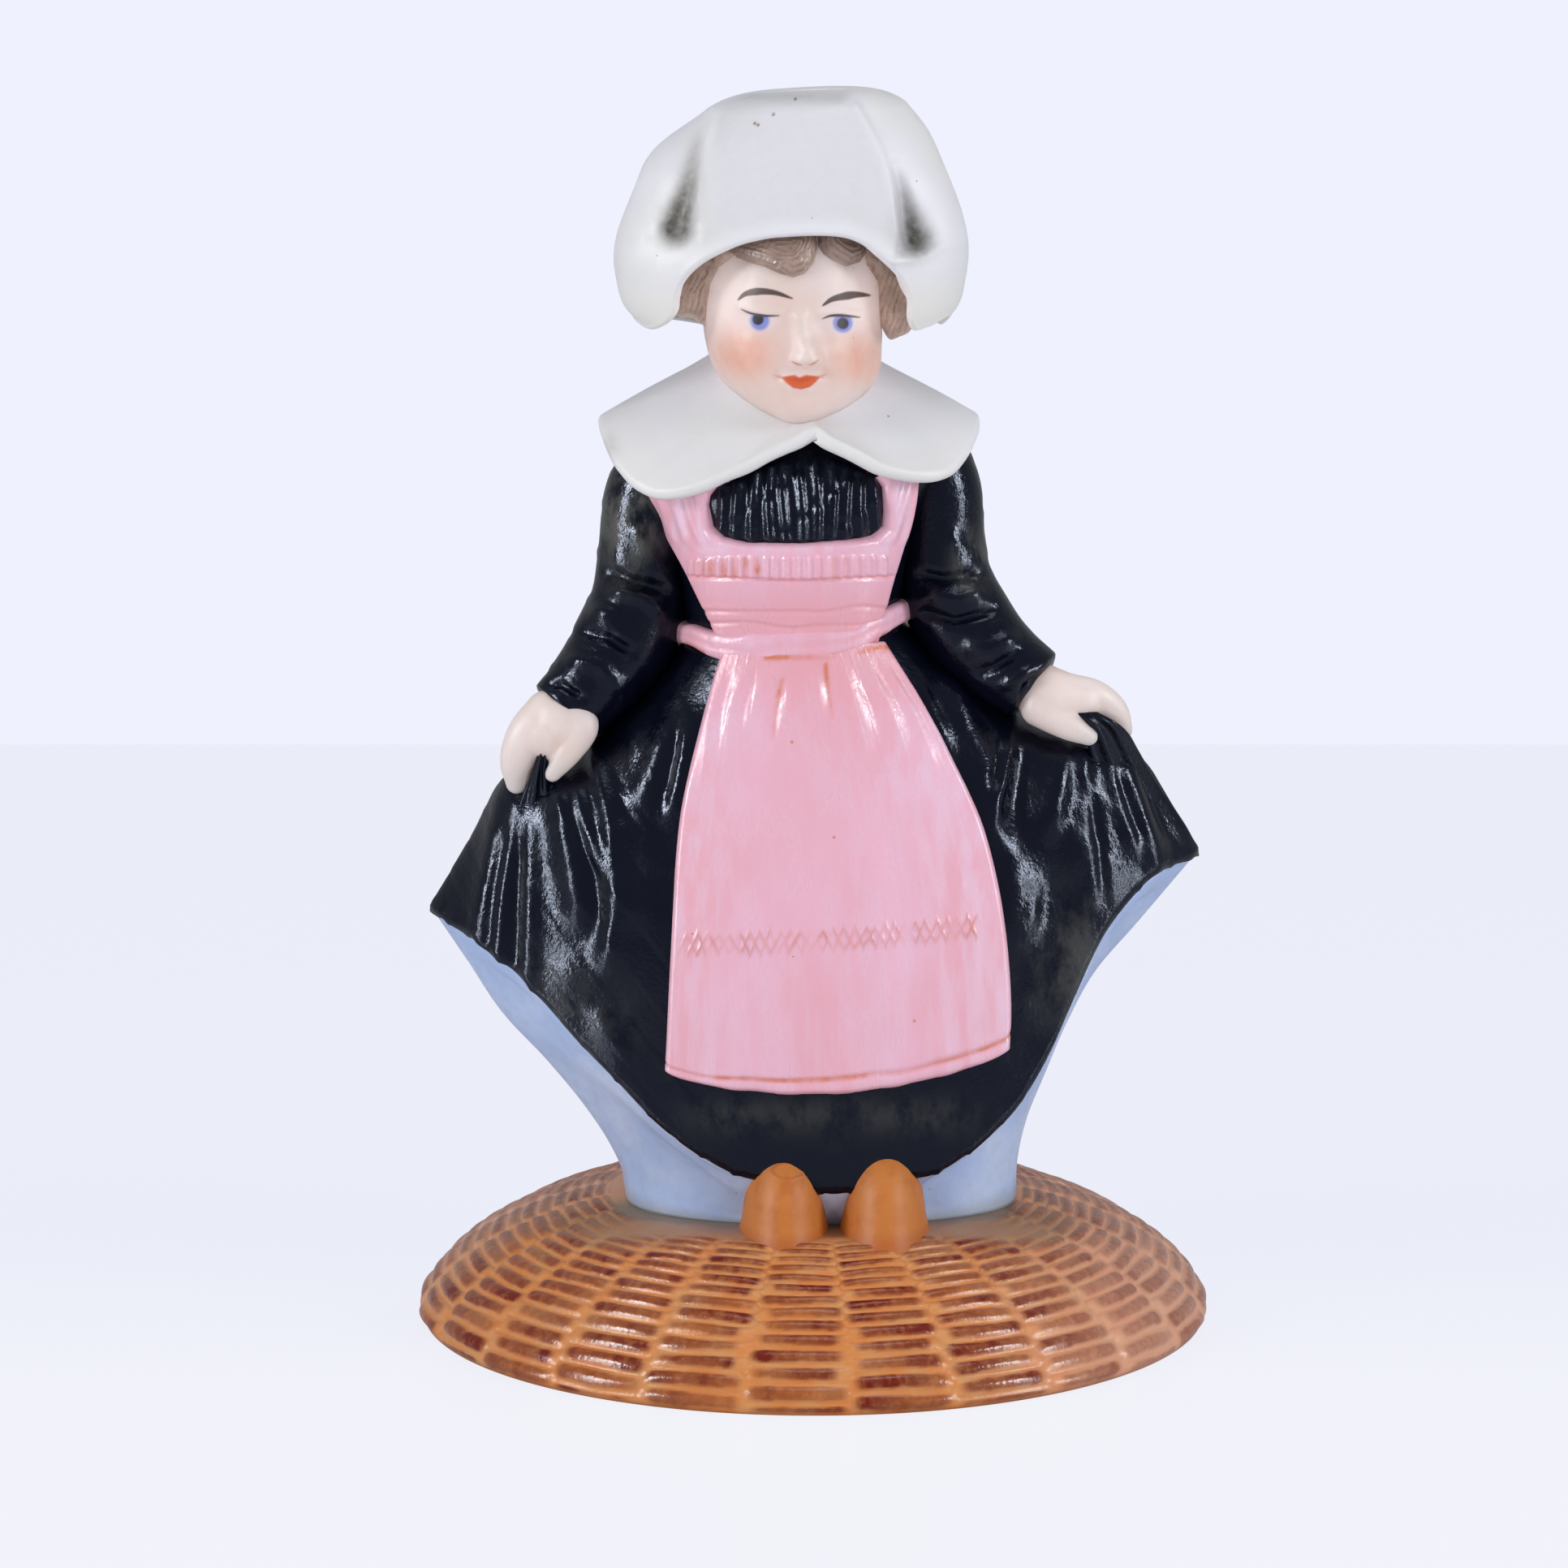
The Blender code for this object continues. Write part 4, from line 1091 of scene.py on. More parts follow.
@dataclass
class BasketBase:
    """Domed base moulded as coiled basketwork: bars between upright ribs."""

    finish: PaintedBasket = PaintedBasket()
    radius: float = 48.5
    seat: float = 15.0
    crown: float = 17.0
    ribs: int = 24
    first_rib: float = 5.0
    bars: float = 13.8
    weave_start: float = 25.0
    bar_height: float = 0.72
    foot_half: float = 24.4
    foot_deep: float = 17.6
    rim: float = 0.7
    wall: float = 4.0
    top_rings: Row = (4.0, 12.0, 20.0, 23.0)
    around: int = 600

    def profile(self, count: int) -> Pair:
        """Dome from the seat edge to the rim: height is a superellipse of the radius.

        Args:
            count: number of rings.
        Returns:
            Radius and height of each ring.
        """
        top = self.radius * (1.0 - (self.seat / self.crown) ** 1.6) ** 0.4
        rim = self.radius * (1.0 - (self.rim / self.crown) ** 1.6) ** 0.4
        reach = blend(top, rim, np.sin(np.linspace(0.0, 0.5 * math.pi, 4000)))
        height = self.crown * (1.0 - (reach / self.radius) ** 2.5) ** 0.625
        length = run_of(reach, height)
        even = np.linspace(0.0, length[-1], count)
        return np.interp(even, length, reach), np.interp(even, length, height)

    def off_foot(self, x: Array, y: Array) -> Array:
        """Distance from the petticoat's foot, 1 at its edge: a superellipse of power 3."""
        return (np.abs(x / self.foot_half) ** 3.0 + np.abs(y / self.foot_deep) ** 3.0) ** (1.0 / 3.0)

    def weave(self, reach: Array, along: Array, angle: Array) -> Pair:
        """Bars of the weave, and the dashes brushed along them.

        Args:
            reach: radius of each ring.
            along: length of the profile down to each ring.
            angle: turn of each column in degrees.
        Returns:
            Relief in millimetres, and cover of the brown paint.
        """
        turn = (angle - self.first_rib) / (360.0 / self.ribs)
        sector = np.floor(turn)
        part = turn - sector
        start = np.interp(self.weave_start, reach, along)
        reach, along = reach[:, None], along[:, None]
        outward = np.clip((along - start) / (along[-1] - start), 0.0, 1.0) ** 0.84
        level = self.bars * outward + 0.5 * np.mod(sector, 2.0)
        level = level + 0.10 * ripple(angle * 0.11 + along * 0.2, 1.3)
        bar = np.floor(level)
        cross = level - bar
        ahead = reach * np.cos(np.radians(angle))
        foot = self.off_foot(reach * np.sin(np.radians(angle)), ahead)
        plain = smooth(ahead / self.foot_deep, 0.5, 1.0) * fall(foot, 1.2, 1.36)
        woven = smooth(along, start - 0.4, start + 1.6) * (1.0 - plain)
        hollow = np.abs(np.sin(np.pi * cross)) ** 0.7
        bulge = np.clip(np.sin(np.pi * part), 0.0, 1.0) ** 0.28
        edge = smooth(along[-1] - along, 0.0, 0.5)
        press = woven * edge * self.bar_height * hollow * bulge - 0.25 * woven
        chance = scatter(sector, bar)
        other = scatter(sector + 31.0, bar + 17.0)
        taper = 0.08 * np.abs(2.0 * cross - 1.0) ** 2
        first = 0.02 + 0.12 * chance ** 2 + taper
        final = 0.98 - 0.12 * other ** 2 - taper
        lean = np.where(chance > 0.5, part, 1.0 - part)
        ragged = 0.09 * ripple(part * 11.0 + bar * 3.7 + sector * 2.0, 0.4)
        thin = 0.54 + 0.32 * (1.0 - lean) * other + ragged
        dash = smooth(part, first - 0.05, first + 0.07) * fall(part, final - 0.07, final + 0.05)
        dash = dash * smooth(hollow, thin - 0.18, thin + 0.2) * woven
        dash = dash * (0.7 + 0.36 * scatter(bar, sector + 5.0))
        dash = dash * (0.7 + 0.38 * lean + 0.16 * ripple(part * 9.0 + bar * 2.3 + sector, 0.6))
        return press, dash

    def build(self) -> Piece:
        """Turn the profile, press the weave in along its normal and close it through the hollow.

        Returns:
            The dressed base.
        """
        reach, height = self.profile(132)
        angle = np.linspace(-180.0, 180.0, self.around, endpoint=False)[None, :]
        turn = np.radians(angle)
        press, dash = self.weave(reach, run_of(reach, height), angle)
        slope = np.stack([np.gradient(reach), np.gradient(height)], axis=-1)
        slope /= np.linalg.norm(slope, axis=1, keepdims=True)
        first = len(self.top_rings)
        level = np.ones((1, self.around))
        top = np.array(self.top_rings)[:, None] * level
        inner_reach, inner_height = (side[:, None] * level for side in self.hollow_profile())
        rings = np.concatenate([top, reach[:, None] - slope[:, 1:2] * press, inner_reach])
        flat = np.full(top.shape, self.seat)
        lifts = np.concatenate([flat, height[:, None] + slope[:, 0:1] * press, inner_height])
        rows = np.stack([rings * np.sin(turn), -rings * np.cos(turn), lifts], axis=-1)
        x, y, z = np.moveaxis(rows, -1, 0)
        foot = self.off_foot(x, y)
        # grey-brown ledge close round the petticoat's foot, in front
        ledge = 0.8 * fall(foot, 1.0, 1.08) + 0.6 * fall(foot, 1.2, 1.55)
        ledge = smooth(-y, 2.0, 12.0) * ledge * (z > 12.5)
        # painted sheen: paler towards the back and on her left
        veil = np.maximum(smooth(y, -14.0, 12.0), 0.9 * smooth(x, 16.0, 42.0))
        paint = np.zeros(rings.shape)
        paint[first:first + len(reach)] = dash
        # the dashes fade under the painted sheen
        marks = {"dash": paint * (1.0 - 0.34 * veil), "ledge": ledge, "veil": veil}
        return finished("basket_base", [Skin(rows, Ends.LOOP, marks)], self.finish, "wicker_base")

    def hollow_profile(self) -> Pair:
        """Foot ring, inner dome and vent, from the rim inwards.

        Returns:
            Radius and height of each ring.
        """
        outer = self.radius - self.wall
        roof = self.seat - self.wall
        reach = outer * np.sin(np.linspace(0.5 * math.pi, 0.55, 12))
        height = (self.crown - self.wall) * np.clip(1.0 - (reach / outer) ** 2.5, 0.0, 1.0) ** 0.625
        height = np.minimum(height, roof)
        reach = np.concatenate([[self.radius - self.rim, outer + 0.3], reach - 0.3, self.top_rings[:1]])
        height = np.concatenate([[0.0, 0.0], height + 0.1, [roof]])
        return reach, height


# Skirts


@dataclass
class SkirtForm:
    """Spread overskirt and the petticoat stem under it, as the CAD solids have them."""

    offset: float = -2.5
    waist: float = 85.0
    tilt: float = 1.0
    hem: float = 20.0
    waist_half: float = 13.0
    waist_front: float = 11.5
    waist_back: float = 9.5
    front: float = 22.5
    back: float = 17.5
    tips: Tuple[float, float] = (47.0, 47.1)
    tip_heights: Tuple[float, float] = (50.0, 57.0)
    stem: Tuple[float, float, float, float] = (23.0, 24.8, 17.5, 14.5)
    seat: float = 15.0
    tuck: float = 0.7
    wall: float = 2.6
    swell: float = 1.85

    @staticmethod
    def lift(x: Array, right: Array, left: Array) -> Array:
        """Share of the rise from front to tip: a smoothstep of x over the reach.

        Args:
            x: places across.
            right: reach on her right.
            left: reach on her left.
        Returns:
            Shares from 0 to 1.
        """
        reach = np.where(x < 0.0, right, left)
        start = np.where(x < 0.0, 0.15, 0.3)
        finish = np.where(x < 0.0, 0.98, 0.96)
        return smooth(np.abs(x) / reach, start, finish)

    @staticmethod
    def scallop(x: Array, ahead: Array) -> Array:
        """How far the painted hem swings above or below the plain one in front.

        Args:
            x: places across.
            ahead: cosines of the turns, 1 in front.
        Returns:
            Swing in millimetres.
        """
        stations = (-47, -41, -35, -28, -23.5, -19, -13, -8, -2.5, 2.5, 7.5,
                    13, 17.5, 21, 25, 28.5, 31, 35, 37, 41, 47)
        swing = (-0.5, -0.8, -0.3, 0.1, 1.0, 1.3, 1.9, 1.6, 0.5, -0.2, 0.6,
                 1.6, 2.3, 1.4, -0.2, -0.3, 0.8, 2.0, 1.5, 0.5, -0.7)
        return spline(x, stations, swing) * smooth(ahead, 0.0, 0.35)

    def station(self, t: Array) -> Dict[str, Array]:
        """Widths, depths and heights of the overskirt at t, 0 at the waist and 1 at the hem.

        Args:
            t: places down the skirt.
        Returns:
            Each measure by name.
        """
        swell = np.sin(self.swell * t)
        levels = (0.0, 0.15, 0.3, 0.45, 0.6, 0.72, 0.82, 0.91, 1.0)
        drop_right = spline(t, levels, (0.0, 0.16, 0.29, 0.42, 0.48, 0.54, 0.715, 0.86, 1.0))
        drop_left = spline(t, levels, (0.0, 0.16, 0.29, 0.42, 0.48, 0.51, 0.63, 0.82, 1.0))
        return {
            "centre": self.offset * (1.0 - t),
            "right": blend(self.waist_half, self.tips[0], t),
            "left": blend(self.waist_half, self.tips[1], t),
            "front": blend(self.waist_front, self.front, swell),
            "back": blend(self.waist_back, self.back, swell),
            "point": 1.0 + 0.5 * t,
            "right_z": blend(self.waist - self.tilt, self.tip_heights[0], drop_right),
            "left_z": blend(self.waist + self.tilt, self.tip_heights[1], drop_left),
            "front_z": blend(self.waist, self.hem, t),
        }

    def level(self, at: Dict[str, Array], x: Array) -> Array:
        """Height of a station at x, from its front up to its tips.

        Args:
            at: measures of the station.
            x: places across.
        Returns:
            Heights in millimetres.
        """
        rise = self.lift(x, at["right"], at["left"])
        side_z = np.where(x < 0.0, at["right_z"], at["left_z"])
        return at["front_z"] + (side_z - at["front_z"]) * rise

    def over(self, t: Array, angle: Array, grow: float = 0.0) -> Array:
        """Overskirt points: x is the half width times sin, y the depth times a power of cos.

        Args:
            t: column of stations.
            angle: row of turns in radians, 0 at the front.
            grow: offset outwards.
        Returns:
            Grid of points.
        """
        at = self.station(t)
        side, ahead = np.sin(angle), np.cos(angle)
        x = np.where(side < 0.0, at["right"] + grow, at["left"] + grow) * side
        depth = np.where(ahead > 0.0, at["front"], at["back"]) + grow
        y = -depth * signed_power(ahead, at["point"])
        return np.stack([x + at["centre"], y, self.level(at, x)], axis=-1)

    def front_y(self, x: Array, z: Array) -> Array:
        """Depth of the overskirt's front at x and z, by halving the span of stations.

        Args:
            x: places across.
            z: heights.
        Returns:
            Depths in millimetres.
        """
        low, high = np.zeros_like(x), np.ones_like(x)
        for _ in range(30):
            middle = 0.5 * (low + high)
            at = self.station(middle)
            below = self.level(at, x - at["centre"]) > z
            low, high = np.where(below, middle, low), np.where(below, high, middle)
        at = self.station(0.5 * (low + high))
        across = x - at["centre"]
        reach = np.where(across < 0.0, at["right"], at["left"])
        ahead = np.sqrt(np.clip(1.0 - (across / reach) ** 2, 0.0, 1.0))
        return -at["front"] * ahead ** at["point"]

    def under(self, q: Array, angle: Array, grow: float = 0.0) -> Array:
        """Petticoat points: x is a half width that follows a curve times sin, y a power of cos.

        Args:
            q: column of stations, 0 at the hem and 1 on the base.
            angle: row of turns in radians, 0 at the front.
            grow: offset outwards.
        Returns:
            Grid of points.
        """
        side, ahead = np.sin(angle), np.cos(angle)
        narrow_right = spline(q, (0.0, 0.17, 0.37, 0.52, 0.69, 0.81, 0.9, 1.0),
                              (0.0, 0.17, 0.37, 0.58, 0.79, 0.91, 0.975, 1.0))
        narrow_left = spline(q, (0.0, 0.21, 0.345, 0.49, 0.63, 0.77, 0.885, 1.0),
                             (0.0, 0.33, 0.55, 0.71, 0.83, 0.94, 0.99, 1.0))
        right = blend(self.tips[0] - self.tuck, self.stem[0], narrow_right)
        left = blend(self.tips[1] - self.tuck, self.stem[1], narrow_left)
        swell = math.sin(self.swell)
        front = blend(blend(self.waist_front, self.front, swell) - self.tuck, self.stem[2], q)
        back = blend(blend(self.waist_back, self.back, swell) - self.tuck, self.stem[3], q)
        x = np.where(side < 0.0, right + grow, left + grow) * side
        y = -(np.where(ahead > 0.0, front, back) + grow) * signed_power(ahead, blend(1.5, 0.65, q))
        own = smooth(q, 0.0, 0.15)
        rise = self.lift(x, blend(self.tips[0], right, own), blend(self.tips[1], left, own))
        front_z = blend(self.hem, self.seat, q)
        side_z = blend(np.where(x < 0.0, *self.tip_heights), self.seat, q)
        z = front_z + (side_z - front_z) * rise + self.scallop(x, ahead) * fall(q, 0.0, 0.95)
        return np.stack([x, y, z], axis=-1)


FORM = SkirtForm()


@dataclass
class Overskirt:
    """Black skirt spread by both hands, with the folds that run from the grips and the waist."""

    finish: BlackDress = BlackDress()
    folds: Tuple[Fold, ...] = (
        Fold(((632, 940), (610, 1050), (580, 1240)), 13.8, 25, 0.90),
        Fold(((646, 950), (624, 1090), (606, 1270)), 10, 18.8, 0.66),
        Fold(((632, 1000), (612, 1100), (600, 1200)), 6.6, 9.9, -0.60),
        Fold(((655, 980), (653, 1110), (650, 1290)), 10, 12.5, 0.42),
        Fold(((642, 1010), (636, 1110), (632, 1220)), 6.6, 9.9, -0.52),
        Fold(((680, 930), (698, 1024), (724, 1160)), 11.2, 21.2, 0.78),
        Fold(((704, 930), (720, 1011), (748, 1100)), 7.5, 12.5, 0.48),
        Fold(((724, 895), (750, 1000), (760, 1075), (758, 1225)), 10, 18.8, 0.84),
        Fold(((700, 985), (730, 1080), (742, 1180)), 6.6, 13.2, -0.60),
        Fold(((748, 1110), (742, 1240)), 17.5, 20, 0.42),
        Fold(((772, 1000), (768, 1060)), 18.8, 18.8, 0.54),
        Fold(((786, 1070), (780, 1160)), 21.2, 21.2, 0.66),
        Fold(((800, 1000), (797, 1080)), 13.8, 15, 0.36),
        Fold(((832, 870), (808, 945), (780, 1015)), 16.2, 22.5, 0.84),
        Fold(((856, 862), (843, 930), (824, 1030)), 13.8, 15, 0.72),
        Fold(((842, 880), (826, 950), (812, 1010)), 6.6, 9.9, -0.60),
        Fold(((790, 860), (783, 920), (772, 970)), 10, 12.5, 0.42),
        Fold(((704, 1150), (706, 1250)), 25, 30, 0.42),
        Fold(((722, 1235), (749, 1281), (792, 1340)), 13.8, 17.5, 0.54),
        Fold(((1150, 810), (1190, 880), (1224, 955)), 13.8, 18.8, 0.72),
        Fold(((1130, 822), (1150, 880), (1180, 940)), 7.5, 10, 0.42),
        Fold(((1216, 905), (1216, 960), (1212, 1030)), 21.2, 21.2, 0.78),
        Fold(((1253, 870), (1238, 955), (1214, 1050)), 10, 11.2, 0.72),
        Fold(((1232, 920), (1222, 990)), 6.6, 7.7, -0.52),
        Fold(((1272, 900), (1256, 980), (1250, 1050)), 11, 17.6, -0.75),
        Fold(((1236, 985), (1232, 1080)), 18.8, 18.8, 0.42),
        Fold(((1248, 1040), (1249, 1110), (1250, 1190)), 18.8, 23.8, 0.78),
        Fold(((1284, 1070), (1262, 1170)), 11.2, 12.5, 0.42),
        Fold(((1316, 880), (1304, 970), (1292, 1050)), 13.8, 15, 0.78),
        Fold(((1330, 890), (1340, 990)), 10, 11.2, 0.60),
        Fold(((1290, 960), (1276, 1060), (1266, 1140)), 16.2, 25, 0.36),
        Fold(((1354, 895), (1374, 965), (1406, 1085)), 8.8, 12.5, 0.60),
        Fold(((1372, 905), (1402, 997), (1434, 1100)), 10, 16.2, 0.90),
        Fold(((1366, 930), (1388, 1000), (1414, 1075)), 5.5, 8.8, -0.52),
        Fold(((1388, 895), (1434, 960), (1484, 1060)), 8.8, 13.8, 0.66),
        Fold(((1396, 930), (1424, 990), (1456, 1060)), 5.5, 11, -0.60),
        Fold(((1344, 970), (1354, 1050), (1362, 1150)), 6.6, 7.7, -0.45),
        Fold(((1322, 1010), (1346, 1080), (1356, 1160)), 16.2, 22.5, 0.36),
        Fold(((1190, 850), (1244, 940), (1278, 1040), (1292, 1150)), 26, 36, -0.7),
    )

    @staticmethod
    def pleats(t: Array, angle: Array) -> Array:
        """Pleats behind: waves that fan out from the waist and die away at tips and hem.

        Args:
            t: places down the skirt.
            angle: turns in radians, 0 at the front.
        Returns:
            Shift along y in millimetres.
        """
        wave = np.cos(16.0 * (angle - math.pi) + 0.8 * np.sin(3.0 * angle))
        fade = smooth(t, 0.05, 0.35) * fall(t, 0.84, 1.0)
        return 0.6 * wave * fade * smooth(-np.cos(angle), 0.08, 0.4)

    def build(self) -> Piece:
        """Press folds into the skirt along its normal, wave the hem and close it with a lining.

        Returns:
            The dressed skirt.
        """
        angle = both_sides(330, 130)
        t = shares(190)
        rows = FORM.over(t, angle)
        normals = turned_out(rows)
        ahead = np.cos(angle)
        press = relief_of(self.folds, rows, 55.0) * smooth(ahead, 0.0, 0.12)
        rows[..., 1] += self.pleats(t, angle)
        press = press + 0.05 * ripple(rows[..., 0] * 0.9 + rows[..., 2] * 0.7, 0.4)
        rows = rows + normals * press[..., None]
        rows[..., 2] += FORM.scallop(rows[..., 0], ahead) * smooth(t, 0.72, 1.0)
        rows[..., 2] += 0.25 * smooth(t, 0.94, 1.0) * ripple(rows[..., 0] * 1.3, 2.2)
        tuck = fall(1.0 - t, 0.0, 0.012)
        rows = rows - normals * (0.35 * tuck)[..., None]
        deep = np.linspace(1.0, 0.0, 9)[:, None]
        lining = FORM.over(deep, angle, -FORM.wall)
        lining[..., 2] += FORM.scallop(lining[..., 0], ahead) * smooth(deep, 0.72, 1.0)
        lining[0, :, 2] += 0.2
        grid = np.concatenate([rows, lining])
        column, row = LENS.sees(grid)
        thin = 0.4 * hump(column, 1335.0, 60.0) * hump(row, 1190.0, 70.0)
        thin = thin + 0.3 * hump(column, 690.0, 70.0) * hump(row, 1260.0, 60.0)
        lap = smooth(column, 800.0, 900.0) * fall(column, 1150.0, 1250.0)
        thin = thin + 0.2 * hump(row, 1375.0, 22.0) * lap
        skin = Skin(grid, Ends.LOOP, {"thin": thin})
        return finished("overskirt_folds", [skin, *self.bunches()], self.finish, "overskirt")

    @staticmethod
    def bunches() -> List[Skin]:
        """Cloth gathered at each grip: ovals strung along drawn stations, ridged in front.

        Each station gives column, row and depth of its two ends and half its thickness.

        Returns:
            One closed skin for each grip.
        """
        turn = np.linspace(0.0, 2.0 * math.pi, 64, endpoint=False)[None, :]
        share, ahead = 0.5 + 0.5 * np.cos(turn), np.sin(turn)
        made = []
        for stations in (
            ((666, 918, -9.2, 672, 918, -9.2, 0.3), (661, 932, -8.8, 675, 930, -8.8, 0.7),
             (655, 950, -7.8, 676, 950, -8.0, 1.0), (648, 968, -7.0, 680, 968, -7.4, 1.2),
             (640, 988, -7.0, 686, 988, -7.4, 0.9), (634, 1010, -7.0, 690, 1010, -7.4, 0.4)),
            ((1318, 879, -9.0, 1352, 877, -8.9, 0.35), (1322, 884, -8.9, 1376, 890, -8.2, 0.8),
             (1330, 894, -8.6, 1391, 904, -6.4, 1.1), (1338, 912, -8.0, 1402, 923, -4.4, 1.4),
             (1344, 935, -7.0, 1417, 949, -2.6, 1.5), (1350, 962, -6.6, 1433, 975, -1.2, 1.2),
             (1356, 990, -6.2, 1448, 1000, -0.4, 0.6)),
        ):
            at = path_through(stations, 48)[:, None, :]
            column, row, depth = (blend(at[..., k], at[..., 3 + k], share) for k in range(3))
            ridge = 0.25 * np.cos(5.0 * math.pi * share + 0.6) * np.clip(ahead, 0.0, 1.0)
            bulge = signed_power(ahead, 0.8) + ridge
            made.append(Skin(LENS.place(column, row, depth - at[..., 6] * bulge), Ends.POLE))
        return made


@dataclass
class Petticoat:
    """Blue stem that flares up under the hem."""

    finish: BluePetticoat = BluePetticoat()
    rings: int = 90
    lap: float = 0.4

    def build(self) -> Piece:
        """Flared wall with faint waves along its normal, darker grey where it meets the base.

        Returns:
            The dressed petticoat.
        """
        angle = full_turn(360)
        q = shares(self.rings)
        rows = FORM.under(q, angle)
        rows[..., 2] = np.minimum(rows[..., 2], self.hem_at(rows[..., 0], np.cos(angle)) + self.lap)
        normals = turned_out(rows)
        fade = smooth(q, 0.0, 0.2) * fall(q, 0.9, 1.0)
        wave = 0.18 * ripple(np.degrees(angle) * 0.09, 0.8) * fade
        rows = rows + normals * wave[..., None]
        inner = FORM.under(np.linspace(1.0, 0.0, 12)[:, None], angle, -FORM.wall)
        inner[..., 2] = np.minimum(inner[..., 2], self.hem_at(inner[..., 0], np.cos(angle)) + self.lap)
        grid = np.concatenate([rows, inner])
        soil = np.zeros(grid.shape[:2])
        # darker grey towards the foot, where it meets the base
        soil[:self.rings] = 0.7 * smooth(q, 0.93, 1.0)
        skin = Skin(grid, Ends.LOOP, {"soil": soil})
        return finished("petticoat_stem", [skin], self.finish, "petticoat")

    @staticmethod
    def hem_at(x: Array, ahead: Array) -> Array:
        """Height of the overskirt's hem above x.

        Args:
            x: places across.
            ahead: cosines of the turns, 1 in front.
        Returns:
            Heights in millimetres.
        """
        rise = SkirtForm.lift(x, np.full(x.shape, FORM.tips[0]), np.full(x.shape, FORM.tips[1]))
        tips = np.where(x < 0.0, *FORM.tip_heights)
        return FORM.hem + (tips - FORM.hem) * rise + FORM.scallop(x, ahead)


# Bodice and apron


@dataclass
class BodiceForm:
    """Torso as the CAD solid has it."""

    low: float = 85.35
    height: float = 26.0
    offset: float = -2.5

    def sizes(self, v: Array) -> Trio:
        """Half width, front and back depth at v, 0 at the waist and 1 at the neck.

        Args:
            v: places up the torso.
        Returns:
            The three measures.
        """
        half = spline(v, (0.0, 0.5, 0.74, 0.9, 1.0), (13.0, 15.2, 17.2, 13.0, 8.5))
        front = spline(v, (0.0, 0.35, 0.6, 0.85, 1.0), (11.5, 13.6, 13.6, 10.5, 7.0))
        back = spline(v, (0.0, 0.5, 0.85, 1.0), (9.5, 11.5, 10.0, 7.0))
        return half, front, back

    def rows(self, v: Array, angle: Array) -> Array:
        """Grid of the torso: an oval whose depth goes as a power of cos.

        Args:
            v: column of stations.
            angle: row of turns in radians, 0 at the front.
        Returns:
            Grid of points.
        """
        half, front, back = self.sizes(v)
        side, ahead = np.sin(angle), np.cos(angle)
        y = -np.where(ahead > 0.0, front, back) * signed_power(ahead, 0.9)
        z = self.low + v * self.height + (1.0 - v) * side
        return np.stack([half * side + self.offset, y, np.broadcast_to(z, y.shape)], axis=-1)

    def front_y(self, x: Array, z: Array) -> Array:
        """Depth of the torso's front at x and z.

        Args:
            x: places across.
            z: heights.
        Returns:
            Depths in millimetres.
        """
        v = np.clip((z - self.low) / self.height, -0.1, 1.0)
        half, front, _ = self.sizes(v)
        return -front * np.clip(1.0 - ((x - self.offset) / half) ** 2, 0.0, 1.0) ** 0.45


TORSO = BodiceForm()

YOKE: Points = (
    (874, 622), (876, 610), (884, 600), (920, 585), (955, 571), (994, 556), (1040, 572), (1076, 588),
    (1086, 600), (1088, 630), (1086, 648), (1072, 660), (1050, 664), (985, 669), (921, 668),
    (894, 661), (880, 648))


@dataclass
class Bodice:
    """Black torso with a gathered yoke in front."""

    finish: BlackDress = BlackDress()
    pleats: Row = (890, 908, 930, 950, 966, 986, 1004, 1024, 1042, 1060, 1078)

    def build(self) -> Piece:
        """Torso with upright gathers pressed into the yoke.

        Returns:
            The dressed torso.
        """
        angle = both_sides(300, 60)
        v = shares(160)
        rows = TORSO.rows(v, angle)
        normals = turned_out(rows)
        column, row = LENS.sees(rows)
        within = smooth(inside(column, row, YOKE), -3.0, 5.0) * (np.cos(angle) > 0.0)
        press = 0.25 * within
        for k, middle in enumerate(self.pleats):
            bend = middle + 5.0 * np.sin((row - 560.0) * 0.03 + k) * 0.6 + (row - 615.0) * 0.02
            press = press + within * 0.7 * hump(column, bend, 6.0) * (0.7 + 0.3 * ripple(row * 0.09, k))
        return finished("bodice_yoke", [Skin(rows + normals * press[..., None])], self.finish, "bodice")


def laid(column: Array, row: Array, front_y: Callable[[Array, Array], Array], start: float) -> Array:
    """Points on a front surface under picture places, by stepping the depth to the surface.

    Args:
        column: picture columns.
        row: picture rows.
        front_y: depth of the surface at x and z.
        start: first guess of the depth.
    Returns:
        Grid of points.
    """
    y = np.full(column.shape, start)
    for _ in range(8):
        at = LENS.place(column, row, y)
        y = front_y(at[..., 0], at[..., 2])
    return LENS.place(column, row, y)


def panel(points: Array, thick: Array) -> Array:
    """Closed loop grid of a panel: its face, then its lining read backwards.

    Args:
        points: grid on the surface that carries the panel.
        thick: height of the face over it.
    Returns:
        Grid whose columns run round the panel.
    """
    ahead = np.gradient(points, axis=1)
    down = np.gradient(points, axis=0)
    normals = np.cross(ahead, down)
    normals /= np.maximum(np.linalg.norm(normals, axis=-1, keepdims=True), 1e-9)
    normals *= np.where(normals[..., 1:2] > 0.0, -1.0, 1.0)
    face = points + normals * thick[..., None]
    lining = points - normals * 0.7
    return np.concatenate([face, lining[:, ::-1]], axis=1)


def rounded(rim: Array, width: float) -> Array:
    """Quarter round that rises from 0 at a rim to 1 at a width inside it."""
    return np.sqrt(np.clip(1.0 - (1.0 - np.clip(rim / width, 0.0, 1.0)) ** 2, 0.0, 1.0))


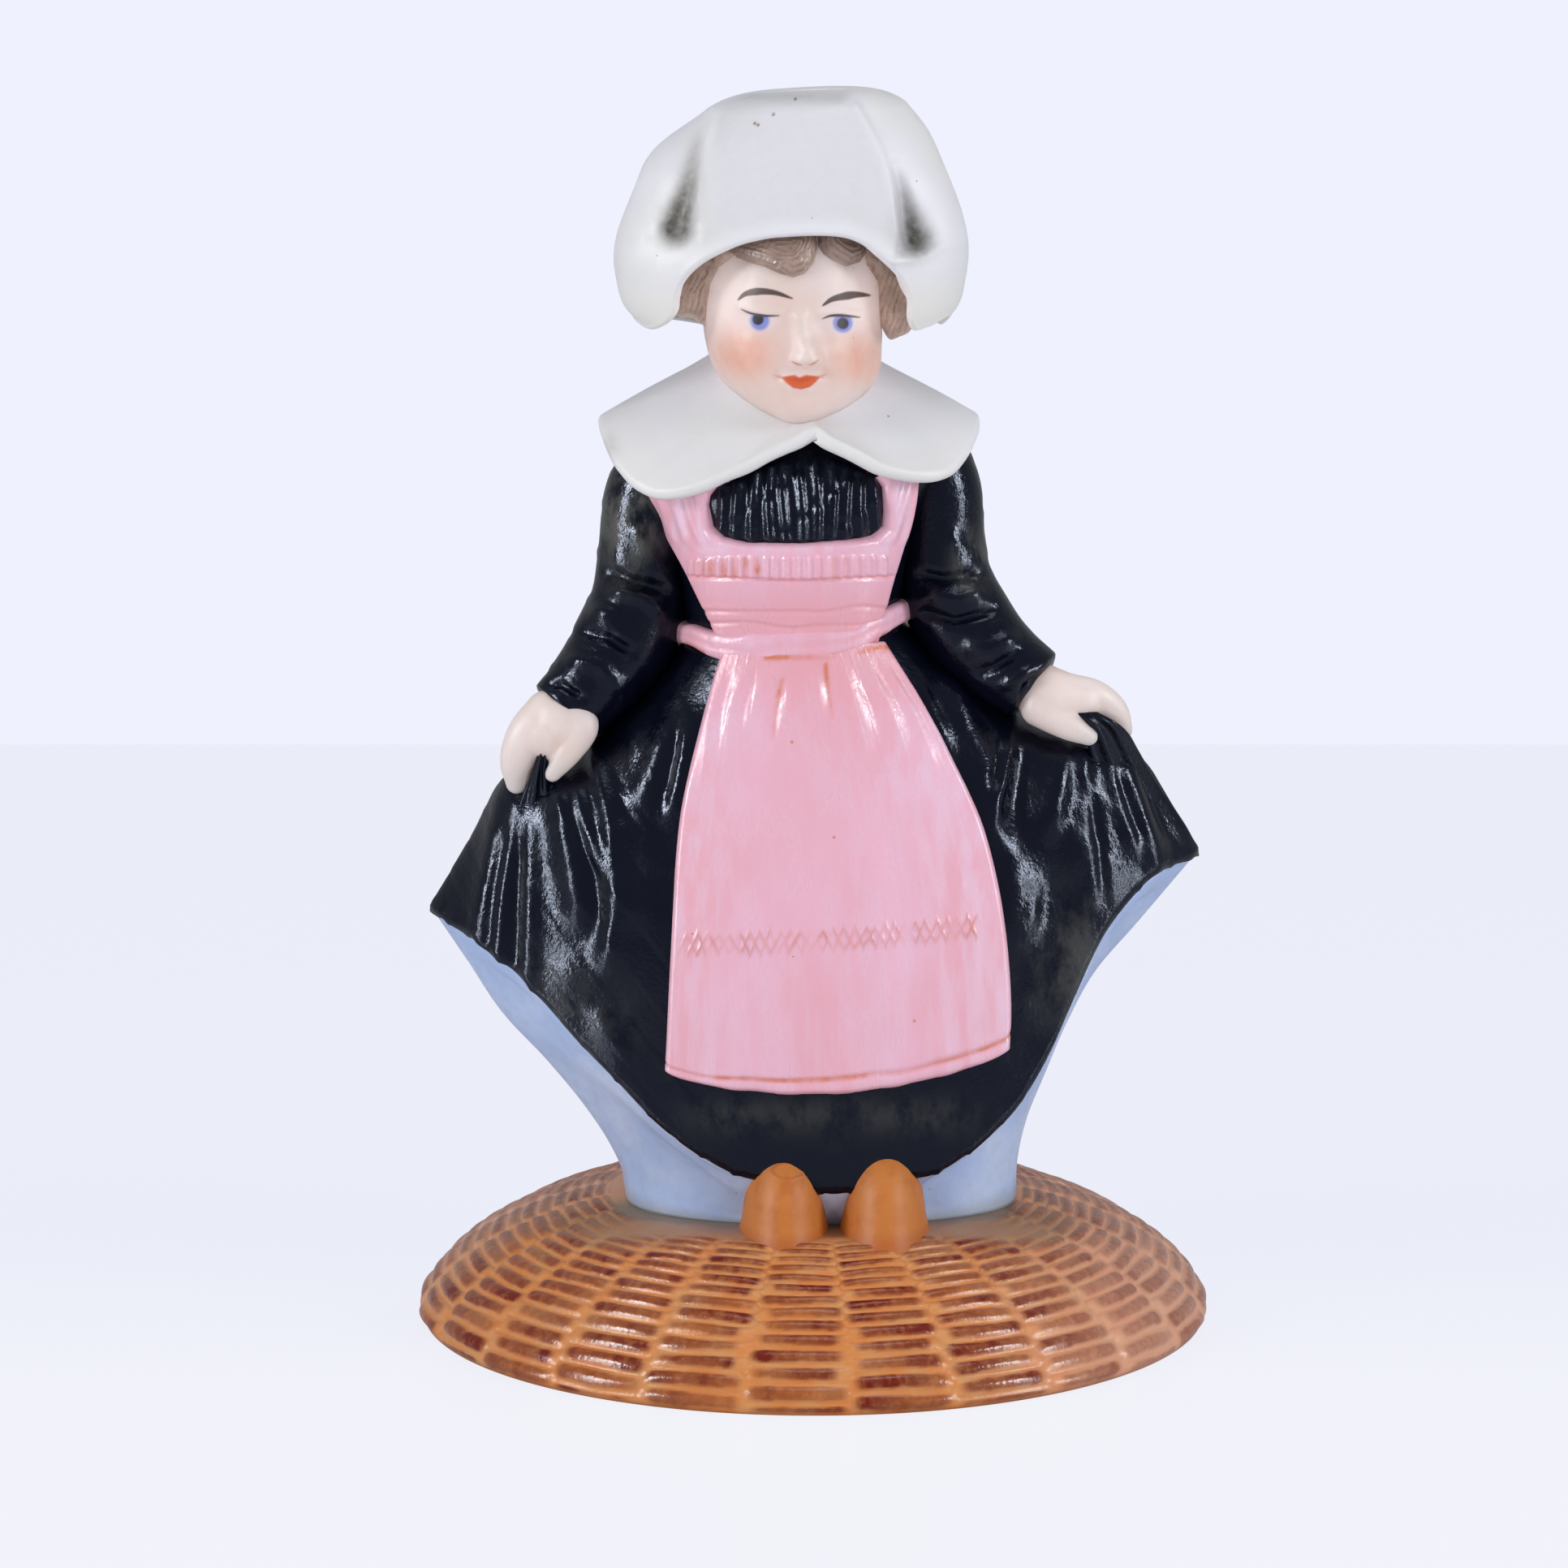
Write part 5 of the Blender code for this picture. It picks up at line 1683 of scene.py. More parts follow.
def between(left: Points, right: Points, count: int, across: Array) -> Trio:
    """Picture places of a panel between two drawn edges.

    Args:
        left: corners of the left edge.
        right: corners of the right edge.
        count: rows of the panel.
        across: row of shares from left to right.
    Returns:
        Columns, rows, and distances to the nearer edge.
    """
    first, final = path_through(left, count), path_through(right, count)
    column = blend(first[:, :1], final[:, :1], across)
    row = blend(first[:, 1:], final[:, 1:], across)
    return column, row, np.minimum(across, 1.0 - across) * (final[:, :1] - first[:, :1])


@dataclass
class Apron:
    """Pink apron: gathered skirt, waistband, and a bib whose straps frame the yoke."""

    finish: PinkApron = PinkApron()
    thick: float = 1.25
    rows: int = 190
    left_edge: Points = (
        (894, 798), (879, 840), (862, 900), (848, 955), (838, 1005), (832, 1060), (829, 1110),
        (825, 1190), (821, 1279), (819, 1316))
    right_edge: Points = (
        (1090, 795), (1112, 828), (1134, 862), (1157, 902), (1176, 940), (1196, 980), (1212, 1018),
        (1226, 1068), (1236, 1120), (1243, 1180), (1246, 1240), (1244, 1290))
    bib_left: Points = ((799, 596), (810, 625), (827, 662), (846, 699), (866, 742), (888, 790))
    bib_right: Points = ((1130, 588), (1125, 615), (1118, 645), (1108, 680), (1095, 725), (1080, 790))
    gathers: Tuple[Fold, ...] = (
        Fold(((1014, 818), (1018, 850), (1024, 890)), 8.4, 5.6, -0.35),
        Fold(((968, 820), (958, 870), (950, 930)), 8.4, 5.6, -0.32),
        Fold(((940, 815), (918, 870), (905, 930)), 7, 8.4, -0.28),
        Fold(((912, 815), (893, 870), (882, 930)), 7, 8.4, -0.24),
        Fold(((1045, 815), (1072, 870), (1092, 920)), 7, 8.4, -0.32),
        Fold(((1068, 812), (1106, 870), (1140, 930)), 7, 8.4, -0.28),
        Fold(((1083, 808), (1128, 875), (1165, 945)), 5.6, 7, -0.24),
        Fold(((924, 820), (905, 880), (894, 985)), 9.8, 12.6, 0.24),
        Fold(((898, 830), (880, 890), (868, 985)), 9.8, 12.6, 0.24),
        Fold(((990, 820), (984, 870), (980, 930)), 12.6, 16.8, 0.24),
        Fold(((1030, 815), (1050, 870), (1070, 960)), 11.2, 16.8, 0.24),
        Fold(((1056, 812), (1090, 870), (1122, 960)), 9.8, 14, 0.28),
        Fold(((1078, 812), (1120, 880), (1155, 970)), 8.4, 12.6, 0.28),
        Fold(((1112, 1000), (1140, 1100), (1152, 1250)), 16.8, 22.4, 0.25),
        Fold(((1060, 980), (1080, 1100), (1092, 1290)), 16.8, 22.4, 0.22),
        Fold(((1190, 1100), (1204, 1200), (1206, 1290)), 12.6, 16.8, 0.20),
        Fold(((900, 1000), (884, 1120), (878, 1300)), 16.8, 22.4, 0.20),
        Fold(((985, 1180), (990, 1330)), 19.6, 22.4, 0.20),
        Fold(((1030, 1190), (1036, 1330)), 12.6, 16.8, -0.16),
    )

    def stitches(self, column: Array, row: Array) -> Array:
        """Cross stitch across the skirt: two zigzags of opposite phase about a slightly bowed line.

        Args:
            column: picture columns.
            row: picture rows.
        Returns:
            Cover of the thread from 0 to 1.
        """
        base = 1163.0 - 0.00017 * np.clip(column - 838.0, 0.0, None) ** 2
        total = np.zeros(column.shape)
        for phase in (0.0, 0.5):
            turn = column / 25.0 + phase + 0.1 * ripple(column * 0.05, 1.0 + phase)
            wave = np.abs(np.mod(turn, 1.0) - 0.5) * 4.0 - 1.0
            half = np.floor(2.0 * turn)
            tall = 9.0 + 6.0 * scatter(half, 3.0 + phase)
            sewn = 0.45 + 0.55 * (scatter(half, 9.0 + phase) > 0.15)
            total = np.maximum(total, sewn * hump(row, base + tall * wave, 3.4))
        reach = smooth(column, 834.0, 846.0) * fall(column, 1196.0, 1208.0)
        gap = 1.0 - 0.9 * hump(column, 1114.0, 9.0) - 0.75 * hump(column, 1002.0, 8.0)
        return total * reach * np.clip(gap, 0.0, 1.0) * (0.65 + 0.35 * ripple(column * 0.09, 3.0))

    def sewn(self, name: str, on: Array, thick: Array, marks: Dict[str, Array], *nodes: str) -> Piece:
        """Panel on a surface, with its marks on face and lining alike.

        Args:
            name: name of the piece.
            on: grid on the surface that carries it.
            thick: height of its face over that surface.
            marks: values on the grid by name.
            nodes: CAD nodes that it stands for.
        Returns:
            The dressed panel.
        """
        both = {}
        for key, mark in marks.items():
            face = np.clip(np.broadcast_to(mark, thick.shape), 0.0, 1.0)
            both[key] = np.concatenate([face, face[:, ::-1]], axis=1)
        return finished(name, [Skin(panel(on, thick), Ends.ZIP, both)], self.finish, *nodes)

    def build_skirt(self) -> Piece:
        """Apron skirt laid on the overskirt between its two drawn edges, hem rolled and stitched.

        Returns:
            The dressed apron skirt.
        """
        down = shares(self.rows)
        across = np.linspace(0.0, 1.0, 220)[None, :]
        column, row, near = between(self.left_edge, self.right_edge, self.rows, across)
        row = row + 45.0 * np.clip(np.sin(np.pi * across), 0.0, 1.0) ** 0.62 * down ** 3
        foot = (1.0 - down) * 520.0
        rim = np.minimum(near, foot + 0.5 * np.sin(across * 40.0))
        thick = -0.5 + (self.thick + 0.5) * rounded(rim, 9.0)
        for fold in self.gathers:
            thick = thick + fold.relief(column, row, 50.0) * smooth(near, 2.0, 12.0)
        seam = hump(foot, 20.0 + 2.5 * ripple(across * 9.0, 2.0), 2.8)
        stitch = self.stitches(column, row)
        thick = thick - 0.26 * seam + 0.28 * stitch + 0.02 * ripple(across * 90.0, 1.7)
        bottom_wave = 0.3 * ripple(across * 14.0, 0.3) * smooth(down, 0.93, 1.0)
        thick = thick + bottom_wave * smooth(near, 2.0, 10.0)
        creases = np.zeros(column.shape)
        for fold in self.gathers[:2]:
            broken = smooth(ripple(row * 0.055 + column * 0.02, 2.0), -0.25, 0.35)
            creases = creases + broken * hump(line_gap(column, row, fold.points)[0], 0.0, 3.2)
        tie = hump(row, 812.0 - 10.0 * smooth(column, 1020.0, 1085.0), 3.4)
        tie = tie * smooth(ripple(column * 0.05, 1.7), -0.35, 0.2)
        # painted shade under the waistband and in the hem seam, salmon on the stitches, and darker in the
        # middle
        deep = 0.5 * fall(row, 815.0, 900.0) + 0.9 * stitch + 0.5 * seam
        deep = deep + 0.35 * hump(column, 985.0, 70.0) * hump(row, 1000.0, 160.0)
        accent = 0.9 * creases + 0.9 * tie
        accent = accent + stitch * (0.45 + 0.55 * smooth(ripple(column * 0.06, 5.0), 0.1, 0.5))
        accent = accent + seam * (0.25 + 0.75 * smooth(ripple(column * 0.022, 2.5), -0.3, 0.1))
        pale = 0.3 + 0.35 * smooth(np.abs(across - 0.45), 0.2, 0.48)
        on = laid(column, row, FORM.front_y, -20.0)
        marks = {"deep": deep, "accent": accent, "pale": pale}
        return self.sewn("apron_gathered_skirt", on, thick, marks, "apron_skirt")

    def build_band(self) -> Piece:
        """Waistband: a flattened oval profile carried round the waist, waving a little.

        Returns:
            The dressed waistband.
        """
        angle = full_turn(480)
        turn = np.linspace(0.0, 2.0 * math.pi, 40, endpoint=False)[:, None]
        side, ahead = np.sin(angle), np.cos(angle)
        swell = signed_power(np.cos(turn), 0.6)
        rise = signed_power(np.sin(turn), 0.75)
        grow = 0.55 + 1.15 * swell + 0.12 * rise * ripple(angle * 9.0, 0.7)
        tall = (1.75 + 0.25 * ripple(angle * 5.0, 1.1)) * (1.0 - 0.3 * smooth(np.abs(side), 0.55, 0.95))
        half = FORM.waist_half + 0.1 + grow
        depth = np.where(ahead > 0.0, FORM.waist_front + 0.1, FORM.waist_back) + grow
        groove = hump(rise, 0.25 * ripple(angle * 4.0, 0.2), 0.2) * (swell > 0.0)
        y = -depth * signed_power(ahead, 0.95) + 0.22 * groove * ahead
        z = 84.7 + tall * rise + FORM.tilt * side + 0.2 * ripple(angle * 3.0, 2.0)
        z = z + 1.8 * smooth(side, 0.45, 0.95) + 1.1 * smooth(-side, 0.55, 0.98)
        rows = np.stack([FORM.offset + half * side, y, z], axis=-1)
        accent = hump(rise, -0.8, 0.22) * smooth(ahead, 0.2, 0.6)
        accent = accent * smooth(ripple(angle * 14.0, 1.0), -0.1, 0.3) * (swell > -0.3)
        # painted shade in the band's groove
        marks = {"deep": 0.35 * groove, "accent": accent, "pale": np.full(rows.shape[:2], 0.35)}
        return finished("apron_waist_tie", [Skin(rows, Ends.LOOP, marks)], self.finish, "apron_waistband")

    def build_bib(self) -> Piece:
        """Bib and straps in one panel on the torso, dipping under it inside the yoke's outline.

        Returns:
            The dressed bib.
        """
        across = np.linspace(0.0, 1.0, 250)[None, :]
        column, row, near = between(self.bib_left, self.bib_right, 170, across)
        open_edge = -inside(column, row, YOKE)
        rim = np.minimum(near, open_edge + 1.0)
        thick = -0.8 + (self.thick + 0.75) * rounded(rim, 8.0) - 0.6 * smooth(-rim, 0.0, 6.0)
        top = 682.0 + 6.0 * hump(across, 0.0, 0.2)
        low = 707.0 + 4.0 * hump(across, 0.5, 0.3)
        band = smooth(row, top - 3.0, top + 3.0) * fall(row, low - 2.0, low + 2.0)
        band = band * smooth(column, 852.0, 866.0) * fall(column, 1078.0, 1092.0)
        sway = column + 3.0 * ripple(row * 0.1, 1.0) + 4.0 * ripple(column * 0.06, 2.0)
        ticks = np.abs(np.sin(sway * math.pi / 12.5)) ** 3
        seam = hump(row, low, 2.4) * smooth(near, 3.0, 12.0)
        waves = hump(row, 748.0 + 5.0 * ripple(column * 0.02, 1.0), 2.5)
        waves = waves + hump(row, 765.0 + 5.0 * ripple(column * 0.018, 4.0), 2.5)
        strap = fall(row, 655.0, 675.0) * smooth(open_edge, 4.0, 10.0)
        slant = column - 0.35 * (row - 600.0) * np.sign(985.0 - column)
        pleat = np.abs(np.sin(slant * math.pi / 14.0)) ** 2
        thick = thick + 0.32 * band * (0.2 + 0.8 * ticks) - 0.3 * seam - 0.16 * waves + 0.22 * strap * pleat
        tint = smooth(ripple(column * 0.05, 6.0), 0.0, 0.35)
        tint = tint * (0.35 + 0.65 * fall(column, 900.0, 1000.0))
        dabs = sum(hump(column, at, 3.4) * hump(row, 696.0, 8.0) for at in (876.0, 884.0, 898.0, 937.0))
        # darker towards the bottom, with painted shade in the seam and the wave creases
        deep = 0.55 * smooth(row, 700.0, 760.0) + 0.3 * seam + 0.3 * waves
        marks = {
            "accent": 0.7 * band * (1.0 - ticks) * tint + 0.2 * seam + dabs,
            # painted shade along the straps' edges
            "deep": deep + 0.4 * fall(near, 2.0, 30.0) * strap,
            "pale": 0.2 + 0.7 * strap + 0.5 * smooth(-np.abs(row - 674.0), -9.0, 0.0),
        }
        on = laid(column, row, TORSO.front_y, -13.0)
        return self.sewn("apron_bib_straps", on, thick, marks,
                         "apron_bib", "right_apron_strap", "left_apron_strap")


# Arms


@dataclass
class Sleeve:
    """One puffed sleeve in three lobes, from under the collar to the cuff."""

    name: str
    node: str
    path: Tuple[Triple, ...]
    radii: Row
    folds: Tuple[Fold, ...]
    thin: Triple
    finish: BlackDress = BlackDress()
    rings: int = 150

    def build(self) -> Piece:
        """Oval tube along the arm with drawn creases pressed in on the side that shows.

        Returns:
            The dressed sleeve.
        """
        route = path_through(self.path, self.rings)
        size = spline(shares(self.rings)[:, 0], shares(len(self.radii))[:, 0], self.radii)
        skin = tube(route, size, size * 1.05, self.rings, 0.2)
        normals = turned_out(skin.rows)
        ahead = smooth(-normals[..., 1], -0.1, 0.25)
        uneven = 0.12 * ripple(skin.rows[..., 2] * 0.8 + skin.rows[..., 0] * 0.5, 1.0)
        press = relief_of(self.folds, skin.rows, 25.0) * ahead + uneven * (1.0 - ahead)
        skin.rows = skin.rows + normals * press[..., None]
        column, row = LENS.sees(skin.rows)
        x, y, wide = self.thin
        skin.marks["thin"] = hump(column, x, wide) * hump(row, y, 1.6 * wide)
        return finished(self.name, [skin], self.finish, self.node)


@dataclass
class Hand:
    """One hand that pinches the skirt: palm, fingers and thumb run together."""

    name: str
    node: str
    parts: Tuple[Tuple[Tuple[Triple, ...], Row], ...]
    finish: PaintedSkin = PaintedSkin()
    voxel: float = 0.22
    rings: int = 30

    def build(self, material: Paint) -> Piece:
        """Tubes along drawn lines, merged by a fine remesh and smoothed.

        Args:
            material: skin shared by the hands and the head.
        Returns:
            The dressed hand.
        """
        skins = []
        for corners, radii in self.parts:
            at = np.array(corners, dtype=float)
            route = path_through(LENS.place(at[:, 0], at[:, 1], at[:, 2]), self.rings)
            size = spline(shares(self.rings)[:, 0], shares(len(radii))[:, 0], radii)
            skins.append(tube(route, size, size * 0.85, 36))
        piece = mesh_of(self.name, skins)
        join = piece.modifiers.new("join", 'REMESH')
        join.mode = 'VOXEL'
        join.voxel_size = self.voxel * MM
        join.use_smooth_shade = True
        ease = piece.modifiers.new("ease", 'SMOOTH')
        ease.factor = 0.5
        ease.iterations = 14
        view = bpy.context.evaluated_depsgraph_get()
        result = bpy.data.meshes.new_from_object(piece.evaluated_get(view))
        piece.modifiers.clear()
        piece.data = result
        return dress(piece, material, self.finish.slot, self.node)


# Collar, head, hair and bonnet


@dataclass
class Collar:
    """Broad white collar: from the jaw it slopes to a scalloped edge with a notch in front."""

    finish: WhiteBisque = WhiteBisque()
    centre: float = -2.9
    thick: float = 1.9
    neck_half: float = 8.8
    neck_front: float = 9.6
    neck_back: float = 8.6
    half: float = 22.5
    back: float = 15.5
    rings: int = 70

    def build(self) -> Piece:
        """Cone of powers of sin and cos between neck and edge, rolled over a round edge to its underside.

        Returns:
            The dressed collar.
        """
        angle = np.linspace(-180.0, 180.0, 420, endpoint=False)[None, :]
        turn = np.radians(angle)
        stations = (-180, -130, -95, -80, -62, -45, -30, -15, -7, -0.5, 6, 11, 17.5, 26, 40, 58, 76, 92,
                    130, 180)
        edge_z = spline(angle, stations, (
            104.0, 106.0, 109.6, 109.2, 105.3, 102.7, 103.2, 105.6, 107.2, 108.7, 110.3,
            109.1, 107.8, 106.1, 104.8, 105.2, 108.3, 109.8, 106.0, 104.0))
        root_z = spline(angle, (-180, -130, -90, -60, -30, 0, 30, 60, 90, 130, 180),
                        (119.5, 118.2, 116.2, 115.2, 113.6, 111.6, 113.4, 115.0, 116.0, 118.2, 119.5))
        front = spline(np.abs(angle), (0, 20, 45, 90), (13.8, 15.4, 16.2, 16.2))
        u = shares(self.rings)
        half = blend(self.neck_half, self.half - 0.2 * hump(angle, 90.0, 40.0), u)
        ahead = np.cos(turn)
        behind = blend(self.neck_back, self.back, u)
        depth = np.where(ahead > 0.0, blend(self.neck_front, front, u), behind)
        x = self.centre + half * signed_power(np.sin(turn), 0.9)
        y = -depth * signed_power(ahead, 0.85)
        z = blend(root_z, edge_z, u ** 1.04) + 0.35 * np.sin(np.pi * u) * smooth(np.abs(angle), 12.0, 50.0)
        z = z + 0.5 * self.thick + 0.1 * ripple(turn * 7.0 + u * 3.0, 1.9) * u
        top = np.stack([x, y, z], axis=-1)
        up = normals_of(top)
        up = up * np.where(up[..., 2:] < 0.0, -1.0, 1.0)
        out = top[-1] - top[-3]
        out = out / np.linalg.norm(out, axis=-1, keepdims=True)
        roll = np.linspace(0.0, math.pi, 13)[1:, None, None]
        edge = top[-1] + 0.5 * self.thick * (np.sin(roll) * out - (1.0 - np.cos(roll)) * up[-1])
        under = (top - self.thick * up)[-4::-3]
        rows = np.concatenate([top, edge, under])
        u = np.concatenate([u, np.ones((len(rows) - self.rings, 1))])
        column, row = LENS.sees(rows)
        # darker patch near her right corner of the collar
        grime = 0.25 * hump(column, 750.0, 12.0) * hump(row, 550.0, 18.0)
        warm = 0.4 * smooth(u, 0.6, 1.0) * fall(np.abs(angle), 50.0, 90.0)
        skin = Skin(rows, Ends.LOOP, {"grime": grime, "warm": warm})
        return finished("collar_broad", [skin], self.finish, "collar")


@dataclass
class HeadForm:
    """Rounded doll head, before and after its features are pressed in."""

    stations: Row = (111.2, 111.6, 112.4, 113.6, 115.2, 117.2, 119.6, 122.5, 126.0, 130.0, 134.0,
                     136.8, 138.3)
    halves: Row = (1.4, 3.6, 5.9, 7.6, 9.0, 10.0, 10.5, 10.7, 10.7, 10.0, 7.6, 4.2, 1.0)
    fronts: Row = (8.5, 10.4, 11.6, 12.4, 12.9, 13.2, 13.3, 13.2, 13.2, 12.3, 9.4, 5.4, 1.5)
    backs: Row = (-4.5, -2.0, 1.5, 5.0, 8.0, 9.8, 10.8, 11.3, 11.5, 10.6, 8.2, 4.6, 1.0)
    middle: float = -2.0
    folds: Tuple[Fold, ...] = (
        Fold(((986, 392), (990, 415), (994, 436)), 10, 14, 0.7),
        Fold(((993, 432), (994, 441)), 12, 13, 0.95),
        Fold(((981, 443), (983, 444)), 7, 7, 0.35),
        Fold(((1005, 443), (1007, 443)), 7, 7, 0.35),
        Fold(((924, 398), (950, 400)), 22, 22, -0.45),
        Fold(((1026, 400), (1050, 400)), 22, 22, -0.45),
        Fold(((930, 396), (944, 397)), 14, 14, 0.35),
        Fold(((1032, 399), (1046, 399)), 14, 14, 0.35),
        Fold(((912, 378), (936, 383), (962, 385)), 5, 5, 0.18),
        Fold(((1012, 386), (1037, 384), (1062, 387)), 5, 5, 0.18),
        Fold(((915, 436), (922, 442)), 42, 42, 0.45),
        Fold(((1052, 440), (1058, 444)), 40, 40, 0.45),
        Fold(((968, 466), (985, 464), (1004, 466)), 6, 6, 0.28),
        Fold(((978, 476), (994, 476)), 8, 8, 0.32),
        Fold(((962, 465), (985, 469), (1012, 464)), 2.6, 2.6, -0.25),
        Fold(((957, 463), (958, 464)), 7, 7, -0.28),
        Fold(((1016, 461), (1017, 462)), 7, 7, -0.28),
        Fold(((980, 489), (990, 489)), 12, 12, -0.25),
        Fold(((980, 504), (990, 504)), 22, 22, 0.5),
        Fold(((985, 452), (987, 460)), 4, 4, -0.14),
    )

    def grid(self, count: int, around: int, dense: float) -> Pair:
        """Oval rings from chin to crown, closer together over the face.

        Args:
            count: number of rings.
            around: points in each ring.
            dense: share of the points that lie on the face's side.
        Returns:
            Points and the turn of each column.
        """
        ahead = int(around * dense)
        angle = both_sides(ahead, around - ahead)
        share = np.linspace(0.0, 1.0, count)
        z = spline(share, (0.0, 0.06, 0.75, 0.94, 1.0), (111.2, 112.0, 131.0, 137.2, 138.3))[:, None]
        half = spline(z, self.stations, self.halves)
        fore = spline(z, self.stations, self.fronts)
        rear_depth = spline(z, self.stations, self.backs)
        centre = spline(z, (111.0, 114.0, 119.0, 138.0), (-1.5, -1.7, -2.35, -2.4))
        cos = np.cos(angle)
        y = self.middle - np.where(cos > 0.0, fore, rear_depth) * signed_power(cos, 0.92)
        x = centre + half * np.sin(angle)
        return np.stack([x, y, np.broadcast_to(z, x.shape)], axis=-1), angle


@dataclass(frozen=True)
class Eye:
    """Painted eye below a lid line, all in picture places.

    Attributes:
        lid: row of the lid line under the iris.
        slant: fall of the lid line.
        iris: centre of the iris.
        pupil: centre of the pupil.
        white: centre of the white.
        dot: radius of the pupil.
    """

    lid: float
    slant: float
    iris: Tuple[float, float]
    pupil: Tuple[float, float]
    white: Tuple[float, float]
    dot: float

    def paint(self, column: Array, row: Array) -> Dict[str, Array]:
        """Marks of iris, pupil and white.

        Args:
            column: picture columns.
            row: picture rows.
        Returns:
            Each mark by name.
        """
        below = smooth(row - (self.lid + self.slant * (column - self.iris[0])), -1.0, 1.5)
        ring = np.hypot(column - self.iris[0], row - self.iris[1])
        dot = np.hypot(column - self.pupil[0], row - self.pupil[1])
        white = hump(column, self.white[0], 19.2) * hump(row, self.white[1], 9.6)
        return {
            "iris": 0.9 * below * fall(ring, 9.5, 14.5),
            "pupil": below * fall(dot, self.dot, self.dot + 2.4),
            "white": 0.75 * below * white,
        }


@dataclass
class Head:
    """Doll head with a painted face."""

    form: HeadForm = field(default_factory=HeadForm)
    finish: PaintedSkin = PaintedSkin()
    neck_middle: float = -2.3
    neck_half: float = 5.6
    neck_ends: Tuple[float, float] = (103.0, 116.0)
    eyes: Tuple[Eye, Eye] = (
        Eye(388.0, 0.08, (936.0, 395.0), (934.0, 393.5), (937.0, 397.0), 5.8),
        Eye(390.0, 0.0, (1038.5, 398.0), (1038.5, 398.5), (1039.0, 400.0), 6.0),
    )
    lips: Points = ((962, 465), (972, 463), (979, 462), (985, 465), (993, 462), (1002, 463), (1011, 464),
                    (1005, 471), (998, 477), (987, 480), (977, 478), (969, 472))

    @staticmethod
    def stroke(column: Array, row: Array, points: Points, width: float, lean: float = 0.5) -> Array:
        """Painted stroke, pointed at both ends and widest at lean along it.

        Args:
            column: picture columns.
            row: picture rows.
            points: corners of the stroke.
            width: half width at its widest.
            lean: share of its length up to there.
        Returns:
            Cover from 0 to 1.
        """
        gap, share = line_gap(column, row, [tuple(p) for p in path_through(points, 24)])
        swell = np.where(share < lean, share / lean, (1.0 - share) / (1.0 - lean))
        wide = width * np.clip(swell, 0.0, 1.0) ** 0.6 + 0.3
        return fall(gap, wide - 0.7, wide + 0.8)

    def strokes(self, column: Array, row: Array, *lines: Tuple) -> Array:
        """Strongest of several strokes, each with its cover, points, width and lean."""
        return np.max([cover * self.stroke(column, row, *line) for cover, *line in lines], axis=0)

    def paint(self, column: Array, row: Array) -> Dict[str, Array]:
        """Marks of the painted face at picture places.

        Args:
            column: picture columns.
            row: picture rows.
        Returns:
            Each mark by name.
        """
        left, right = (eye.paint(column, row) for eye in self.eyes)
        marks = {name: np.maximum(left[name], right[name]) for name in left}
        marks["lip"] = 0.95 * smooth(inside(column, row, self.lips), -1.2, 1.2)
        marks["brow"] = self.strokes(
            column, row,
            (1.0, ((909, 370), (919, 362), (936, 359), (956, 361), (977, 368)), 4.3, 0.35),
            (1.0, ((1013, 377), (1025, 369), (1040, 365), (1056, 363), (1073, 364)), 4.8, 0.55))
        marks["lid"] = self.strokes(
            column, row,
            (1.0, ((913, 381), (925, 386), (941, 389), (960, 389)), 1.5),
            (1.0, ((1013, 393), (1024, 389), (1040, 389), (1060, 391)), 1.7))
        marks["line"] = self.strokes(
            column, row,
            (0.8, ((975, 445), (981, 448), (988, 450)), 1.0),
            (0.8, ((997, 450), (1004, 447), (1009, 443)), 1.0),
            (0.35, ((953, 462), (962, 465), (970, 467)), 0.9),
            (0.35, ((1006, 466), (1014, 463), (1020, 460)), 0.9))
        blush = 0.75 * hump(column, 914.0, 44.0) * hump(row, 436.0, 33.0)
        blush = blush + 0.66 * hump(column, 1060.0, 38.0) * hump(row, 442.0, 34.0)
        blush = blush + 0.18 * hump(row, 500.0, 26.0) * hump(column, 985.0, 50.0)
        blush = blush + 0.12 * hump(column, 965.0, 16.0) * hump(row, 372.0, 12.0)
        marks["blush"] = np.clip(blush, 0.0, 0.9)
        return marks

    def build(self, material: Paint) -> Piece:
        """Press the features into the oval head along its normal and lay the painted marks on.

        Args:
            material: skin shared by the hands and the head.
        Returns:
            The dressed head.
        """
        rows, angle = self.form.grid(300, 320, 0.8)
        normals = turned_out(rows)
        ahead = smooth(np.cos(angle), 0.05, 0.3)
        rows = rows + normals * (relief_of(self.form.folds, rows) * ahead)[..., None]
        column, row = LENS.sees(rows)
        marks = {name: mark * ahead for name, mark in self.paint(column, row).items()}
        # painted light: the temples glow to make up for the bonnet's shade
        temples = smooth(np.abs(column - 980.0), 46.0, 96.0) * fall(row, 375.0, 440.0)
        marks["glow"] = ahead * temples
        turn = full_turn(48)
        x = self.neck_middle + self.neck_half * np.sin(turn)
        y = 1.0 - self.neck_half * np.cos(turn)
        neck = np.broadcast_arrays(x, y, np.linspace(*self.neck_ends, 12)[:, None])
        skins = [Skin(rows, Ends.POLE, marks), Skin(np.stack(neck, axis=-1))]
        return dress(mesh_of("head_painted", skins), material, self.finish.slot, "head")


